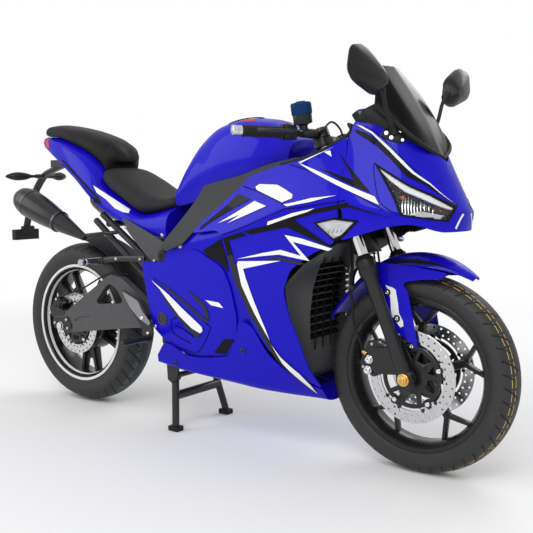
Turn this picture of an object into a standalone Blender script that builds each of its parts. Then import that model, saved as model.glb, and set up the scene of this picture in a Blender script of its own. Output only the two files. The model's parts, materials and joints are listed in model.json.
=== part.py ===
# Sport-styled electric motorcycle, standing on its centre stand.
# Metres, +Z up, +X forward, +Y to the rider's left. Pieces are modelled from the
# rear axle forward, and the parent empty moves the whole bike over its own middle.
import bmesh
import bpy
from math import acos, cos, pi, radians, sin, sqrt, tan
from mathutils import Matrix, Vector

# Driving dimensions
WHEELBASE = 1.4375
BAR_HEIGHT = 1.0
BODY_HALF_WIDTH = 0.225
BAR_REACH_SHARE = 0.6957
BAR_REACH = WHEELBASE * BAR_REACH_SHARE
SEAT_GAP = 0.0003
SHELL_WALL = 0.004
OVERRUN = 0.02
ROUND_SEGMENTS = 12
WHEEL_SEGMENTS = 36
DISC_SEGMENTS = 28
TUBE_SEGMENTS = 8
STAY_SEGMENTS = 6

# Front wheel
FRONT_TYRE_RADIUS = 0.293
FRONT_TYRE_HALF_WIDTH = 0.055
FRONT_RIM_RADIUS = 0.2215
FRONT_RIM_HALF_WIDTH = 0.043
FRONT_HUB_RADIUS = 0.034
RIM_DEPTH = 0.021
SPOKE_COUNT = 5
SPOKE_HALF_DEPTH = 0.012
FRONT_TRUNK_HALF_WIDTH = 0.013
FRONT_ARM_HALF_WIDTH = 0.007
FRONT_FORK_RADIUS = 0.150
FRONT_ARM_SPREAD = radians(15)

# Rear wheel
REAR_TYRE_RADIUS = 0.308
STAND_LIFT = 0.004
REAR_TYRE_HALF_WIDTH = 0.068
REAR_RIM_RADIUS = 0.2215
REAR_RIM_HALF_WIDTH = 0.056
MOTOR_RADIUS = 0.112
MOTOR_HALF_WIDTH = 0.052
REAR_SPOKE_HALF_WIDTH = 0.019
REAR_SPOKE_SPREAD = radians(13)
REAR_AXLE_HEIGHT = REAR_TYRE_RADIUS + STAND_LIFT

# Brakes
DISC_RADIUS = 0.136
DISC_BAND = 0.038
DISC_THICKNESS = 0.0045
FRONT_DISC_OFFSET = 0.066
REAR_DISC_RADIUS = 0.118
REAR_DISC_OFFSET = 0.074
DISC_BORE = 0.021
CARRIER_ARM_HALF_WIDTH = 0.011
CALLIPER_CLEARANCE = 0.005
CALLIPER_LENGTH = 0.085
CALLIPER_HEIGHT = 0.052
CALLIPER_CHEEK = 0.018

# Steering
RAKE = radians(22.5)
FORK_OFFSET = 0.035
FORK_HALF_SPACING = 0.10
AXLE_RADIUS = 0.009
AXLE_CLEARANCE = 0.001
AXLE_OVERHANG = 0.012
AXLE_NUT_RADIUS = 0.015
LEG_RADIUS = 0.0205
LEG_COLLAR_RADIUS = 0.0285
STANCHION_RADIUS = 0.0165
LEG_COLLAR_HEIGHT = 0.045
LEG_LENGTH = 0.365
LEG_FOOT = 0.035
STANCHION_TOP = 0.765
LOWER_YOKE_PLACE = 0.565
TOP_YOKE_PLACE = 0.715
YOKE_THICKNESS = 0.026
YOKE_HALF_DEPTH = 0.03
STEM_RADIUS = 0.014
HEAD_TUBE_RADIUS = 0.029
HEAD_TUBE_CLEARANCE = 0.001
BAR_RADIUS = 0.011
GRIP_RADIUS = 0.0165
GRIP_LENGTH = 0.125
BAR_END_RADIUS = 0.0145
BAR_END_LENGTH = 0.03
BAR_END_SPREAD = 0.335
BAR_CLAMP_RADIUS = 0.026
BAR_CLAMP_HEIGHT = 0.03

# Front mudguard
GUARD_CLEARANCE = 0.036
GUARD_CROWN = 0.026
GUARD_HALF_WIDTH = 0.069
GUARD_WALL = 0.0035
GUARD_FRONT_ANGLE = radians(60)
GUARD_REAR_ANGLE = radians(152)
GUARD_SKIRT = 0.03
GUARD_BOSS_PLACE = 0.326
GUARD_BOSS_RADIUS = 0.011

# Centre stand
STAND_PIVOT_SHARE = (0.545, 0.182)
STAND_HALF_SPREAD = 0.135
STAND_TOP_HALF_SPREAD = 0.10
STAND_TUBE_RADIUS = 0.013
STAND_FOOT_FORWARD = 0.03
STAND_KNEE_SHARE = 0.4
STAND_PIN_RADIUS = 0.010

# Controls
FRONT_CALLIPER_ANGLE = radians(158)
REAR_CALLIPER_ANGLE = radians(148)
SWITCH_BOX_LENGTH = 0.036
LEVER_CLAMP_PLACE = 0.036
LEVER_BODY_LENGTH = 0.05
LEVER_BODY_DEPTH = 0.024
LEVER_LENGTH = 0.15
LEVER_STAND_OFF = 0.045
LEVER_RADIUS = 0.006
CUP_RADIUS = 0.019
CUP_HEIGHT = 0.085

# Mudguard blades beside the fork legs
BLADE_STAND_OFF = 0.014
BLADE_SHARES = (
    (-0.2915, 1.1365),
    (0.1113, 1.0478),
    (-0.0184, 0.8601),
    (0.0499, 0.6041),
    (0.0976, 0.3345),
    (-0.1481, 0.5973),
    (-0.2164, 0.7747),
    (-0.2846, 0.9795),
)
BLADE_STAND_OFF_SHARES = (0.0, 0.0, 0.5, 0.9, 1.0, 1.0, 0.8, 0.4)

# Frame
SPAR_RADIUS = 0.020
SPAR_HALF_SPACING = 0.10
SPAR_SHARES = (
    (0.75, (1.080, 0.830)),
    (1.0, (0.980, 0.775)),
    (1.0, (0.740, 0.640)),
    (1.0, (0.540, 0.520)),
    (0.98, (0.495, 0.395)),
    (0.98, (0.500, 0.340)),
)
CRADLE_RADIUS = 0.013
CRADLE_HALF_SPACING = 0.10
CRADLE_BEND_SHARE = 0.885
CRADLE_SHARES = ((1.020, 0.790), (1.040, 0.400), (1.000, 0.262), (0.560, 0.255), (0.500, 0.345))
STRUT_RADIUS = 0.012
STRUT_HALF_SPACING = 0.118
STRUT_SHARES = (((0.540, 0.520), (0.215, 0.738)), ((0.515, 0.460), (0.180, 0.715)))
CROSS_TUBE_RADIUS = 0.012
CROSS_TUBE_SHARES = ((0.550, 0.545), (0.240, 0.705), (0.448, 0.582), (0.530, 0.300))
STAY_RADIUS = 0.008
FAIRING_STAY_SHARES = ((0.980, 0.775), (1.028, 0.630))
COVER_STAY_SHARES = ((0.660, 0.592),)
BELLY_STAY_SHARES = ((0.740, 0.2585),)
TANK_POST_SHARES = ((0.720, 0.628), (0.980, 0.775))
TANK_POST_SPACING = 0.105
TAIL_POST_SHARES = ((0.240, 0.705),)
TAIL_POST_SPACING = 0.07
DUCT_STAY_SHARE = (1.037, 0.450)
DUCT_STAY_SPACING = 0.087
DUCT_SEAT = 0.0005
NOSE_STAY_RADIUS = 0.010
NOSE_STAY_SHARES = ((1.300, 0.905), (1.375, 0.785))
PIVOT_SHARE = (0.497, 0.392)
PIVOT_RADIUS = 0.020
BATTERY_LOW_SHARE = (0.60, 0.285)
BATTERY_HIGH_SHARE = (0.99, 0.640)

# Swingarm
ARM_INNER = 0.1185
ARM_THICKNESS = 0.028
ARM_END = 0.045
ARM_END_LOW_SHARES = ((-1.0, -0.31), (1.16, -0.47))
ARM_END_HIGH_SHARES = ((1.0, 1.51), (0.33, 0.89), (-1.0, 0.67))
ARM_SHARES = (
    (0.365, 0.338),
    (0.505, 0.355),
    (0.518, 0.392),
    (0.500, 0.428),
    (0.450, 0.442),
    (0.335, 0.515),
    (0.270, 0.524),
)
ARM_HOLE_SHARES = ((0.185, 0.408), (0.345, 0.424), (0.300, 0.480), (0.262, 0.492))
ARM_BRIDGE_SHARE = (0.375, 0.394)

# Rear fittings
MUFFLER_REAR_SHARE = (-0.165, 0.800)
MUFFLER_FRONT_SHARE = (0.197, 0.656)
MUFFLER_SPACING = 0.190
MUFFLER_RADIUS = 0.052
MUFFLER_PROFILE_SHARES = (
    (0.0, 0.55),
    (0.03, 0.80),
    (0.10, 0.97),
    (0.28, 1.0),
    (0.55, 0.80),
    (0.82, 0.45),
    (0.95, 0.28),
    (1.0, 0.22),
)
MUFFLER_STAY_SHARE = (0.300, 0.676)
SIDE_PLATE_SPACING = 0.1535
SIDE_PLATE_WALL = 0.006
SIDE_PLATE_SHARES = (
    (0.345, 0.640),
    (0.335, 0.700),
    (0.520, 0.630),
    (0.560, 0.600),
    (0.570, 0.535),
    (0.525, 0.530),
    (0.455, 0.590),
)
REAR_PEG_ARM_SHARE = (0.330, 0.585)
REAR_PEG_SHARE = (0.250, 0.575)
REAR_PEG_LENGTH = 0.095
RIDER_PEG_SHARE = (0.490, 0.320)
PEG_ROOT_SPACING = 0.175
PEG_RADIUS = 0.0135
PEG_LENGTH = 0.125
HANGER_WALL = 0.006
HANGER_BOSS_SHARE = (0.463, 0.388)
HANGER_BOSS_RADIUS = 0.013
HANGER_SHARES = ((0.360, 0.330), (0.505, 0.300), (0.515, 0.345), (0.450, 0.430), (0.370, 0.470))
SHOCK_HIGH_SHARE = (0.448, 0.582)
GUARD_LUG_WIDTH = 0.03
GUARD_LUG_HEIGHT = 0.02
SHOCK_RADIUS = 0.034
REAR_GUARD_CLEARANCE = 0.030

# Body fittings
NOSE_INWARD = True
NOSE_COLUMNS = 8
NOSE_LEVELS = 6
BELLY_INWARD = True
SCREEN_INWARD = True
DUCT_INWARD = True
HEADLIGHT_INNER = 0.012
LENS_SETBACK = 0.002
HEADLIGHT_LINK_SHARE = (1.440, 0.800)
HEADLIGHT_LINK = 0.06
COVER_SETBACK = 0.010
TRIM_SETBACK = SHELL_WALL + 3 * SEAT_GAP
BELLY_SETBACK = 0.0
STAND_NOTCH = 0.127
STAND_NOTCH_SHARES = ((0.48, 0.150), (0.64, 0.150), (0.64, 0.262), (0.48, 0.262))
BELLY_SAG = 0.012
BELLY_RISE_SHARES = (1.0, 0.7, 0.4, 0.08)
SEAT_SECTION_SHARES = ((0.82, 0.0), (1.0, 0.30), (0.97, 0.62), (0.78, 0.88), (0.42, 0.98), (0.0, 1.0))
SEAT_STATION_SHARES = (
    (0.190, 0.0, 0.905, 0.40),
    (0.215, 0.0, 0.912, 0.52),
    (0.30, 0.0, 0.880, 0.60),
    (0.42, 0.0, 0.822, 0.60),
    (0.48, 0.0, 0.805, 0.52),
    (0.553, 0.0, 0.818, 0.44),
)
PILLION_STATION_SHARES = (
    (-0.180, 0.0, 1.055, 0.22),
    (-0.150, 0.0, 1.078, 0.34),
    (-0.10, 0.0, 1.076, 0.38),
    (0.05, 0.0, 1.053, 0.45),
    (0.18, 0.0, 1.018, 0.45),
    (0.205, 0.925, 1.010, 0.44),
    (0.285, 0.925, 0.985, 0.34),
    (0.315, 0.935, 0.965, 0.22),
)
SCREEN_WALL = 0.003
SCREEN_BOW = 0.012
SCREEN_BASE_SHARES = ((0.0, 1.497), (0.5, 1.474), (0.8, 1.434), (1.0, 1.345))
SCREEN_FOOT_SHARES = ((0.0, 0.916), (0.5, 0.950), (0.8, 0.990), (1.0, 1.060))
SCREEN_TOP_SHARES = ((0.0, 1.335), (0.6, 1.322), (1.0, 1.300))
SCREEN_HEAD_SHARES = ((0.0, 1.184), (0.6, 1.182), (1.0, 1.150))
SCREEN_BASE_HALF_WIDTH = 0.128
SCREEN_TOP_HALF_WIDTH = 0.088
MIRROR_ROOT_SHARE = (1.400, 0.988)
MIRROR_NECK_SHARE = (1.405, 1.120)
MIRROR_NECK_SPACING = 0.205
MIRROR_STALK_RADIUS = 0.006
MIRROR_WIDTH = 0.105
MIRROR_HEIGHT = 0.105
MIRROR_DEPTH = 0.035
MIRROR_HEAD_SHARES = (
    (-0.09, -0.25),
    (0.36, -0.42),
    (1.36, -0.12),
    (1.61, 0.15),
    (1.48, 0.72),
    (0.86, 0.82),
    (0.04, 0.38),
)
MIRROR_FOOT_SHARES = ((1.370, 0.975), (1.425, 0.955), (1.430, 0.972), (1.405, 0.996), (1.375, 1.000))
DUCT_DEPTH = 0.03
DUCT_OUTER_SHARES = (
    ((1.262, 0.675), 0.84),
    ((1.150, 0.612), 0.84),
    ((1.075, 0.545), 0.82),
    ((1.084, 0.450), 0.80),
    ((1.110, 0.360), 0.74),
    ((1.138, 0.245), 0.54),
)
DUCT_INNER_SHARES = (
    ((1.165, 0.665), 0.40),
    ((1.140, 0.600), 0.40),
    ((1.120, 0.530), 0.44),
    ((1.112, 0.450), 0.46),
    ((1.110, 0.360), 0.44),
    ((1.105, 0.235), 0.36),
)
SIGNAL_PROUD = 0.008
SIGNAL_SHARES = ((1.205, 0.737), (1.275, 0.752), (1.350, 0.745), (1.300, 0.700), (1.270, 0.688))
PLATE_ARM_SHARES = ((-0.130, 0.924), (-0.260, 0.880), (-0.340, 0.780), (-0.392, 0.640))
PLATE_ARM_RADIUS = 0.014
PLATE_THICKNESS = 0.028
PLATE_WIDTH = 0.12
PLATE_HEIGHT = 0.045
PLATE_MOUNT_SHARE = (-0.141, 0.9295)
PLATE_MOUNT_LENGTH = 0.08
PLATE_MOUNT_HEIGHT = 0.03
REAR_SIGNAL_ROOT_SHARE = (-0.255, 0.880)
REAR_SIGNAL_TIP_SHARE = (-0.310, 0.880)
REAR_SIGNAL_SPREAD = 0.150
REAR_SIGNAL_RADIUS = 0.022
TAIL_LAMP_SHARE = (-0.2023, 1.012)
LAMP_DEPTH = 0.014
LAMP_WIDTH = 0.085
LAMP_HEIGHT = 0.035
DASH_SHARE = (1.265, 1.020)
DASH_STAY_SHARE = (1.300, 0.9162)
DASH_DEPTH = 0.022
DASH_WIDTH = 0.14
DASH_HEIGHT = 0.08


def spot(share):
    """A place on the side view, from its shares of bar reach and bar height."""
    return share[0] * BAR_REACH, share[1] * BAR_HEIGHT


REAR_END = PLATE_THICKNESS / 2 - spot(PLATE_ARM_SHARES[-1])[0]
FRONT_END = WHEELBASE + FRONT_TYRE_RADIUS
CENTRE_X = (FRONT_END - REAR_END) / 2

# Body outlines, as shares of bar reach and of bar height
CREASE_SHARES = ((0.40, 0.60), (0.866, 0.692), (1.245, 0.800), (1.575, 0.735))
FLANK_SHARES = (
    (-0.60, 0.36),
    (-0.53, 0.60),
    (-0.47, 0.72),
    (-0.38, 0.81),
    (-0.25, 0.90),
    (-0.10, 0.97),
    (0.0, 1.0),
    (0.03, 0.955),
    (0.10, 0.85),
    (0.18, 0.77),
    (0.28, 0.69),
    (0.40, 0.61),
)
WAIST_SHARES = ((0.40, 0.80), (0.60, 0.86), (0.86, 0.94), (1.10, 1.0), (1.60, 1.0))
NOSE_TIP_SHARE = (1.572, 0.765)
NOSE_SLANT = 0.457
NOSE_UNDERCUT = 0.10
NOSE_LENGTH_SHARE = 0.27
SIDE_FAIRING_SHARES = (
    (0.862, 0.688),
    (0.880, 0.590),
    (0.906, 0.507),
    (0.950, 0.420),
    (1.006, 0.340),
    (1.100, 0.264),
    (1.165, 0.226),
    (1.143, 0.290),
    (1.122, 0.380),
    (1.096, 0.450),
    (1.083, 0.531),
    (1.110, 0.592),
    (1.180, 0.640),
    (1.285, 0.690),
    (1.285, 0.985),
    (1.235, 0.955),
    (1.166, 0.925),
    (1.065, 0.905),
    (0.930, 0.870),
    (0.858, 0.853),
    (0.912, 0.800),
)
NOSE_LOW_SHARES = ((0.0, 0.712), (0.25, 0.712), (0.55, 0.735), (1.0, 0.690))
NOSE_TOP_SHARES = ((0.0, 0.905), (0.35, 0.945), (0.60, 0.975), (0.80, 1.020), (1.0, 1.054))
NOSE_REAR_SHARES = ((0.0, 1.286), (0.80, 1.286), (1.0, 1.315))
HEADLIGHT_SHARES = (
    (1.369, 0.901),
    (1.462, 0.841),
    (1.508, 0.817),
    (1.557, 0.786),
    (1.559, 0.768),
    (1.551, 0.742),
    (1.459, 0.761),
    (1.437, 0.802),
)
COVER_SHARES = (
    (0.463, 0.585),
    (0.475, 0.500),
    (0.483, 0.440),
    (0.497, 0.355),
    (0.541, 0.312),
    (0.700, 0.330),
    (0.800, 0.333),
    (0.868, 0.372),
    (0.885, 0.430),
    (0.868, 0.520),
    (0.842, 0.585),
    (0.720, 0.640),
    (0.640, 0.625),
    (0.560, 0.585),
)
BELLY_TOP_SHARES = (
    (0.514, 0.243),
    (0.571, 0.300),
    (0.700, 0.316),
    (0.800, 0.320),
    (0.868, 0.350),
    (0.903, 0.420),
    (0.945, 0.410),
    (1.002, 0.326),
    (1.098, 0.252),
    (1.160, 0.222),
)
BELLY_FLOOR_SHARES = ((0.514, 0.236), (0.60, 0.224), (0.873, 0.208), (1.16, 0.190))
TRIM_SHARES = (
    (1.120, 0.925),
    (1.000, 0.905),
    (0.900, 0.876),
    (0.775, 0.846),
    (0.700, 0.780),
    (0.563, 0.628),
    (0.590, 0.622),
    (0.700, 0.715),
    (0.800, 0.790),
    (0.848, 0.845),
    (0.925, 0.858),
    (1.060, 0.893),
    (1.120, 0.909),
)
TANK_STATION_SHARES = (0.560, 0.600, 0.660, 0.740, 0.830, 0.930, 1.000, 1.055)
TANK_TOP_SHARES = (
    (0.560, 0.850),
    (0.600, 0.925),
    (0.660, 0.998),
    (0.740, 1.045),
    (0.830, 1.060),
    (0.930, 1.050),
    (1.000, 1.024),
    (1.055, 0.985),
)
TANK_LOW_SHARES = ((0.560, 0.770), (0.660, 0.790), (0.930, 0.860), (1.055, 0.885))
TANK_WIDTH_SHARES = ((0.560, 0.46), (0.660, 0.50), (0.780, 0.60), (0.930, 0.66), (1.055, 0.60))
TANK_SECTION_SHARES = ((0.90, 0.0), (1.0, 0.30), (0.97, 0.55), (0.84, 0.78), (0.55, 0.94), (0.0, 1.0))
TAIL_STATION_SHARES = (-0.195, -0.10, 0.05, 0.18, 0.195, 0.30, 0.42, 0.556)
TAIL_TOP_SHARES = (
    (-0.195, 1.034),
    (-0.10, 1.028),
    (0.05, 0.985),
    (0.18, 0.905),
    (0.195, 0.862),
    (0.30, 0.800),
    (0.42, 0.745),
    (0.556, 0.768),
)
TAIL_LOW_SHARES = (
    (-0.195, 0.990),
    (-0.10, 0.945),
    (0.05, 0.860),
    (0.18, 0.772),
    (0.30, 0.718),
    (0.42, 0.678),
    (0.556, 0.648),
)
TAIL_WIDTH_SHARES = ((-0.195, 0.20), (-0.10, 0.36), (0.05, 0.52), (0.20, 0.62), (0.556, 0.66))
TAIL_SECTION_SHARES = ((0.62, 0.0), (0.96, 0.12), (1.0, 0.45), (0.90, 0.80), (0.62, 1.0))


def between(table, value):
    """Straight-line reading of a table of (place, share) pairs."""
    if value <= table[0][0]:
        return table[0][1]
    for (low, first), (high, second) in zip(table, table[1:]):
        if value <= high:
            return first + (second - first) * (value - low) / (high - low)
    return table[-1][1]


def crease_height(x):
    return between(CREASE_SHARES, x / BAR_REACH) * BAR_HEIGHT


def nose_edge(z):
    """How far forward the nose's leading edge lies at a height."""
    tip_x, tip_z = spot(NOSE_TIP_SHARE)
    slant = NOSE_SLANT if z > tip_z else -NOSE_UNDERCUT
    return tip_x - slant * (z - tip_z)


def flank(x, z):
    """Half-width of the bodywork without the rounding of the nose."""
    share = between(FLANK_SHARES, (z - crease_height(x)) / BAR_HEIGHT)
    return BODY_HALF_WIDTH * share * between(WAIST_SHARES, x / BAR_REACH)


def body_half_width(x, z):
    behind = (nose_edge(z) - x) / (NOSE_LENGTH_SHARE * BAR_REACH)
    behind = min(max(behind, 0.0), 1.0)
    return flank(x, z) * sqrt(1 - (1 - behind) ** 2)


# Materials
def paint(name, colour, roughness, metallic=0.0, alpha=1.0):
    found = bpy.data.materials.get(name)
    if found:
        return found
    made = bpy.data.materials.new(name)
    made.use_nodes = True
    shader = made.node_tree.nodes["Principled BSDF"]
    shader.inputs["Base Color"].default_value = (*colour, 1)
    shader.inputs["Roughness"].default_value = roughness
    shader.inputs["Metallic"].default_value = metallic
    shader.inputs["Alpha"].default_value = alpha
    made.diffuse_color = (*colour, 1)
    return made


def blue():
    return paint("blue_paint", (0.02, 0.02, 0.62), 0.18)


def black():
    return paint("black_plastic", (0.02, 0.02, 0.022), 0.45)


def grey():
    return paint("grey_satin", (0.09, 0.09, 0.10), 0.40, 0.3)


def silver():
    return paint("aluminium", (0.75, 0.75, 0.76), 0.25, 1.0)


def rubber():
    return paint("rubber", (0.025, 0.025, 0.026), 0.75)


def vinyl():
    return paint("seat_vinyl", (0.05, 0.05, 0.055), 0.6)


def clear():
    return paint("clear_lens", (0.85, 0.87, 0.90), 0.05)


def red():
    return paint("red_lens", (0.6, 0.02, 0.02), 0.15)


def smoke():
    return paint("smoked_screen", (0.01, 0.01, 0.012), 0.05)


# Mesh helpers
def mesh_from(form):
    bmesh.ops.recalc_face_normals(form, faces=form.faces)
    mesh = bpy.data.meshes.new("form")
    form.to_mesh(mesh)
    form.free()
    return mesh


def loft(rings):
    """A closed solid through rings of points, with a flat face on each end."""
    form = bmesh.new()
    loops = [[form.verts.new(point) for point in ring] for ring in rings]
    for first, second in zip(loops, loops[1:]):
        for index in range(len(first)):
            after = (index + 1) % len(first)
            form.faces.new((first[index], first[after], second[after], second[index]))
    form.faces.new(loops[0])
    form.faces.new(loops[-1])
    bmesh.ops.triangulate(form, faces=[face for face in form.faces if len(face.verts) == 4])
    return mesh_from(form)


def ring_of(profile, segments, half_turn=0.0):
    """A profile of (radius, along) points turned about the Y axis into a closed ring."""
    form = bmesh.new()
    loops = []
    for step in range(segments):
        turn = 2 * pi * step / segments + half_turn
        loops.append([form.verts.new((r * cos(turn), y, r * sin(turn))) for r, y in profile])
    for step in range(segments):
        first, second = loops[step], loops[(step + 1) % segments]
        for index in range(len(profile)):
            after = (index + 1) % len(profile)
            form.faces.new((first[index], first[after], second[after], second[index]))
    return mesh_from(form)


def circle(centre, along, radius, segments, turn=0.0):
    """Points round a centre, square to a direction."""
    along = Vector(along).normalized()
    helper = Vector((0, 1, 0)) if abs(along.y) < 0.9 else Vector((1, 0, 0))
    side = along.cross(helper).normalized()
    up = side.cross(along)
    steps = [2 * pi * step / segments + turn for step in range(segments)]
    return [Vector(centre) + radius * (side * cos(a) + up * sin(a)) for a in steps]


def rod(start, end, radius, segments=10, end_radius=None):
    along = Vector(end) - Vector(start)
    last = radius if end_radius is None else end_radius
    return loft([circle(start, along, radius, segments), circle(end, along, last, segments)])


def turned(start, along, profile, segments=ROUND_SEGMENTS):
    """A solid of revolution: (distance, radius) pairs from a start along a direction."""
    way = Vector(along).normalized()
    rings = [circle(Vector(start) + way * far, way, radius, segments) for far, radius in profile]
    return loft(rings)


def sweep(points, radius, segments=10):
    """A round tube through points, mitred at each bend."""
    points = [Vector(point) for point in points]
    ways = [(b - a).normalized() for a, b in zip(points, points[1:])]
    rings = []
    for index, point in enumerate(points):
        before = ways[max(index - 1, 0)]
        after = ways[min(index, len(ways) - 1)]
        rings.append(circle(point, before + after, radius, segments))
    return loft(rings)


def plate(outline, low_y, high_y):
    """An outline of (x, z) points given a thickness along Y."""
    return loft([[(x, y, z) for x, z in outline] for y in (low_y, high_y)])


def block(centre, size):
    x, y, z = (part / 2 for part in size)
    corners = ((-x, -y), (x, -y), (x, y), (-x, y))
    rings = [[Vector(centre) + Vector((a, b, level)) for a, b in corners] for level in (-z, z)]
    return loft(rings)


def mirrored(mesh):
    twin = mesh.copy()
    twin.transform(Matrix.Scale(-1, 4, (0, 1, 0)))
    twin.flip_normals()
    return twin


def rotated(mesh, angle, centre=(0, 0, 0)):
    twin = mesh.copy()
    centre = Vector(centre)
    turn = Matrix.Translation(centre) @ Matrix.Rotation(angle, 4, "Y") @ Matrix.Translation(-centre)
    twin.transform(turn)
    return twin


def moved(mesh, shift):
    twin = mesh.copy()
    twin.transform(Matrix.Translation(Vector(shift)))
    return twin


def combine(base, others, operation="UNION"):
    """Exact Boolean of one mesh with others, as a new mesh."""
    body = bpy.data.objects.new("body", base)
    bpy.context.scene.collection.objects.link(body)
    tools = [bpy.data.objects.new("tool", mesh) for mesh in others]
    for index, tool in enumerate(tools):
        bpy.context.scene.collection.objects.link(tool)
        change = body.modifiers.new(f"step{index}", "BOOLEAN")
        change.operation = operation
        change.solver = "EXACT"
        change.object = tool
    bpy.context.view_layer.update()
    graph = bpy.context.evaluated_depsgraph_get()
    mesh = bpy.data.meshes.new_from_object(body.evaluated_get(graph))
    for item in [body, *tools]:
        bpy.data.objects.remove(item)
    return mesh


def shell(rows, wall, inward=True):
    """A thin closed shell over a grid of points, thickened by a Solidify modifier."""
    form = bmesh.new()
    grid = [[form.verts.new(point) for point in row] for row in rows]
    for first, second in zip(grid, grid[1:]):
        for index in range(len(first) - 1):
            corners = (first[index], first[index + 1], second[index + 1], second[index])
            form.faces.new(corners)
    mesh = bpy.data.meshes.new("sheet")
    form.to_mesh(mesh)
    form.free()
    sheet = bpy.data.objects.new("sheet", mesh)
    bpy.context.scene.collection.objects.link(sheet)
    thicken = sheet.modifiers.new("wall", "SOLIDIFY")
    thicken.thickness = wall
    thicken.offset = -1 if inward else 1
    thicken.use_even_offset = True
    bpy.context.view_layer.update()
    graph = bpy.context.evaluated_depsgraph_get()
    made = bpy.data.meshes.new_from_object(sheet.evaluated_get(graph))
    bpy.data.objects.remove(sheet)
    form = bmesh.new()
    form.from_mesh(made)
    bmesh.ops.triangulate(form, faces=form.faces)
    return mesh_from(form)


def panel(outline, half_width, wall, pitch):
    """A curved body panel on the right side: an outline on the side view, stood off the
    centre plane by a half-width function and given its wall inwards."""
    flat = bmesh.new()
    flat.faces.new([flat.verts.new((x, 0, z)) for x, z in outline])
    for axis in (0, 2):
        low = min(vertex.co[axis] for vertex in flat.verts)
        high = max(vertex.co[axis] for vertex in flat.verts)
        count = max(1, round((high - low) / pitch))
        for step in range(1, count):
            point = Vector((0, 0, 0))
            point[axis] = low + (high - low) * step / count
            normal = Vector((0, 0, 0))
            normal[axis] = 1
            everything = flat.verts[:] + flat.edges[:] + flat.faces[:]
            bmesh.ops.bisect_plane(flat, geom=everything, plane_co=point, plane_no=normal, dist=1e-5)
    bmesh.ops.triangulate(flat, faces=flat.faces)
    form = bmesh.new()
    outer, inner = {}, {}
    for vertex in flat.verts:
        x, _, z = vertex.co
        width = half_width(x, z)
        outer[vertex] = form.verts.new((x, -width, z))
        inner[vertex] = form.verts.new((x, wall - width, z))
    for face in flat.faces:
        form.faces.new([outer[vertex] for vertex in face.verts])
        form.faces.new([inner[vertex] for vertex in reversed(face.verts)])
    for edge in flat.edges:
        if len(edge.link_faces) == 1:
            a, b = edge.verts
            form.faces.new((outer[a], outer[b], inner[b]))
            form.faces.new((outer[a], inner[b], inner[a]))
    flat.free()
    return mesh_from(form)


# Parent empties: the whole bike, and one on each joint's axis
PARENTS = {}


def empty(name, place, parent=None):
    mark = bpy.data.objects.new(f"{name}_axis", None)
    bpy.context.scene.collection.objects.link(mark)
    mark.empty_display_size = STAND_TUBE_RADIUS
    base = PARENTS[parent][1] if parent else Matrix.Identity(4)
    if parent:
        mark.parent = PARENTS[parent][0]
    mark.matrix_local = base.inverted() @ place
    PARENTS[name] = (mark, place)


def add(name, mesh, material, parent="bike"):
    """Puts a mesh modelled in bike coordinates under a parent empty."""
    mark, place = PARENTS[parent]
    mesh = mesh.copy()
    mesh.transform(place.inverted())
    mesh.name = name
    mesh.materials.clear()
    mesh.materials.append(material)
    mesh.shade_smooth()
    mesh.set_sharp_from_angle(angle=radians(32))
    made = bpy.data.objects.new(name, mesh)
    bpy.context.scene.collection.objects.link(made)
    made.parent = mark
    return made


def both_sides(name, mesh, material, parent="bike"):
    add(f"{name}_r", mesh, material, parent)
    add(f"{name}_l", mirrored(mesh), material, parent)


# Steering geometry
UP = Vector((-sin(RAKE), 0, cos(RAKE)))
FORE = Vector((cos(RAKE), 0, sin(RAKE)))
SIDE = Vector((0, 1, 0))
FRONT_AXLE = Vector((WHEELBASE, 0, FRONT_TYRE_RADIUS))
REAR_AXLE = Vector((0, 0, REAR_AXLE_HEIGHT))
STEER_FOOT = FRONT_AXLE - FORE * FORK_OFFSET


def steer(along, fore=0.0, side=0.0):
    """A place given along the steering axis, ahead of it and to the left of it."""
    return STEER_FOOT + UP * along + FORE * fore + SIDE * side


def place_parents():
    whole = Matrix.Translation((-CENTRE_X, 0, 0))
    empty("bike", Matrix.Identity(4))
    PARENTS["bike"][0].matrix_local = whole
    tilt = Matrix.Rotation(-RAKE, 4, "Y")
    empty("steering", Matrix.Translation(steer(LOWER_YOKE_PLACE)) @ tilt, "bike")
    empty("front_wheel", Matrix.Translation(FRONT_AXLE), "steering")
    empty("rear_wheel", Matrix.Translation(REAR_AXLE), "bike")
    pivot_x, pivot_z = spot(STAND_PIVOT_SHARE)
    empty("centre_stand", Matrix.Translation((pivot_x, 0, pivot_z)), "bike")


# Wheels
def tyre_profile(radius, half_width, rim_radius, rim_half_width):
    """Crown as an arc, side walls drawn in to the rim, and the bead seat inside."""
    height = radius - rim_radius
    crown = []
    for step in range(-4, 5):
        angle = step / 4 * radians(78)
        drop = height * 0.52 * (1 - cos(angle))
        crown.append((radius - drop, half_width * sin(angle) / sin(radians(78))))
    bead = rim_radius + SEAT_GAP
    wall = rim_radius + height * 0.3
    return (
        [(bead, -rim_half_width), (wall, -half_width * 0.97)]
        + crown
        + [(wall, half_width * 0.97), (bead, rim_half_width)]
    )


def rim_profile(radius, half_width):
    inner = radius - RIM_DEPTH
    step = radius - RIM_DEPTH * 0.6
    return [
        (radius, -half_width),
        (radius, half_width),
        (step, half_width),
        (inner, half_width * 0.6),
        (inner, -half_width * 0.6),
        (step, -half_width),
    ]


def spoke(start_radius, end_radius, start_angle, end_angle, half_width, half_depth):
    """One straight arm in the wheel's plane, between two polar places."""
    start = Vector((start_radius * cos(start_angle), start_radius * sin(start_angle)))
    end = Vector((end_radius * cos(end_angle), end_radius * sin(end_angle)))
    way = (end - start).normalized()
    across = Vector((-way.y, way.x)) * half_width
    outline = [start - across, end - across * 0.8, end + across * 0.8, start + across]
    return plate([(point.x, point.y) for point in outline], -half_depth, half_depth)


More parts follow.
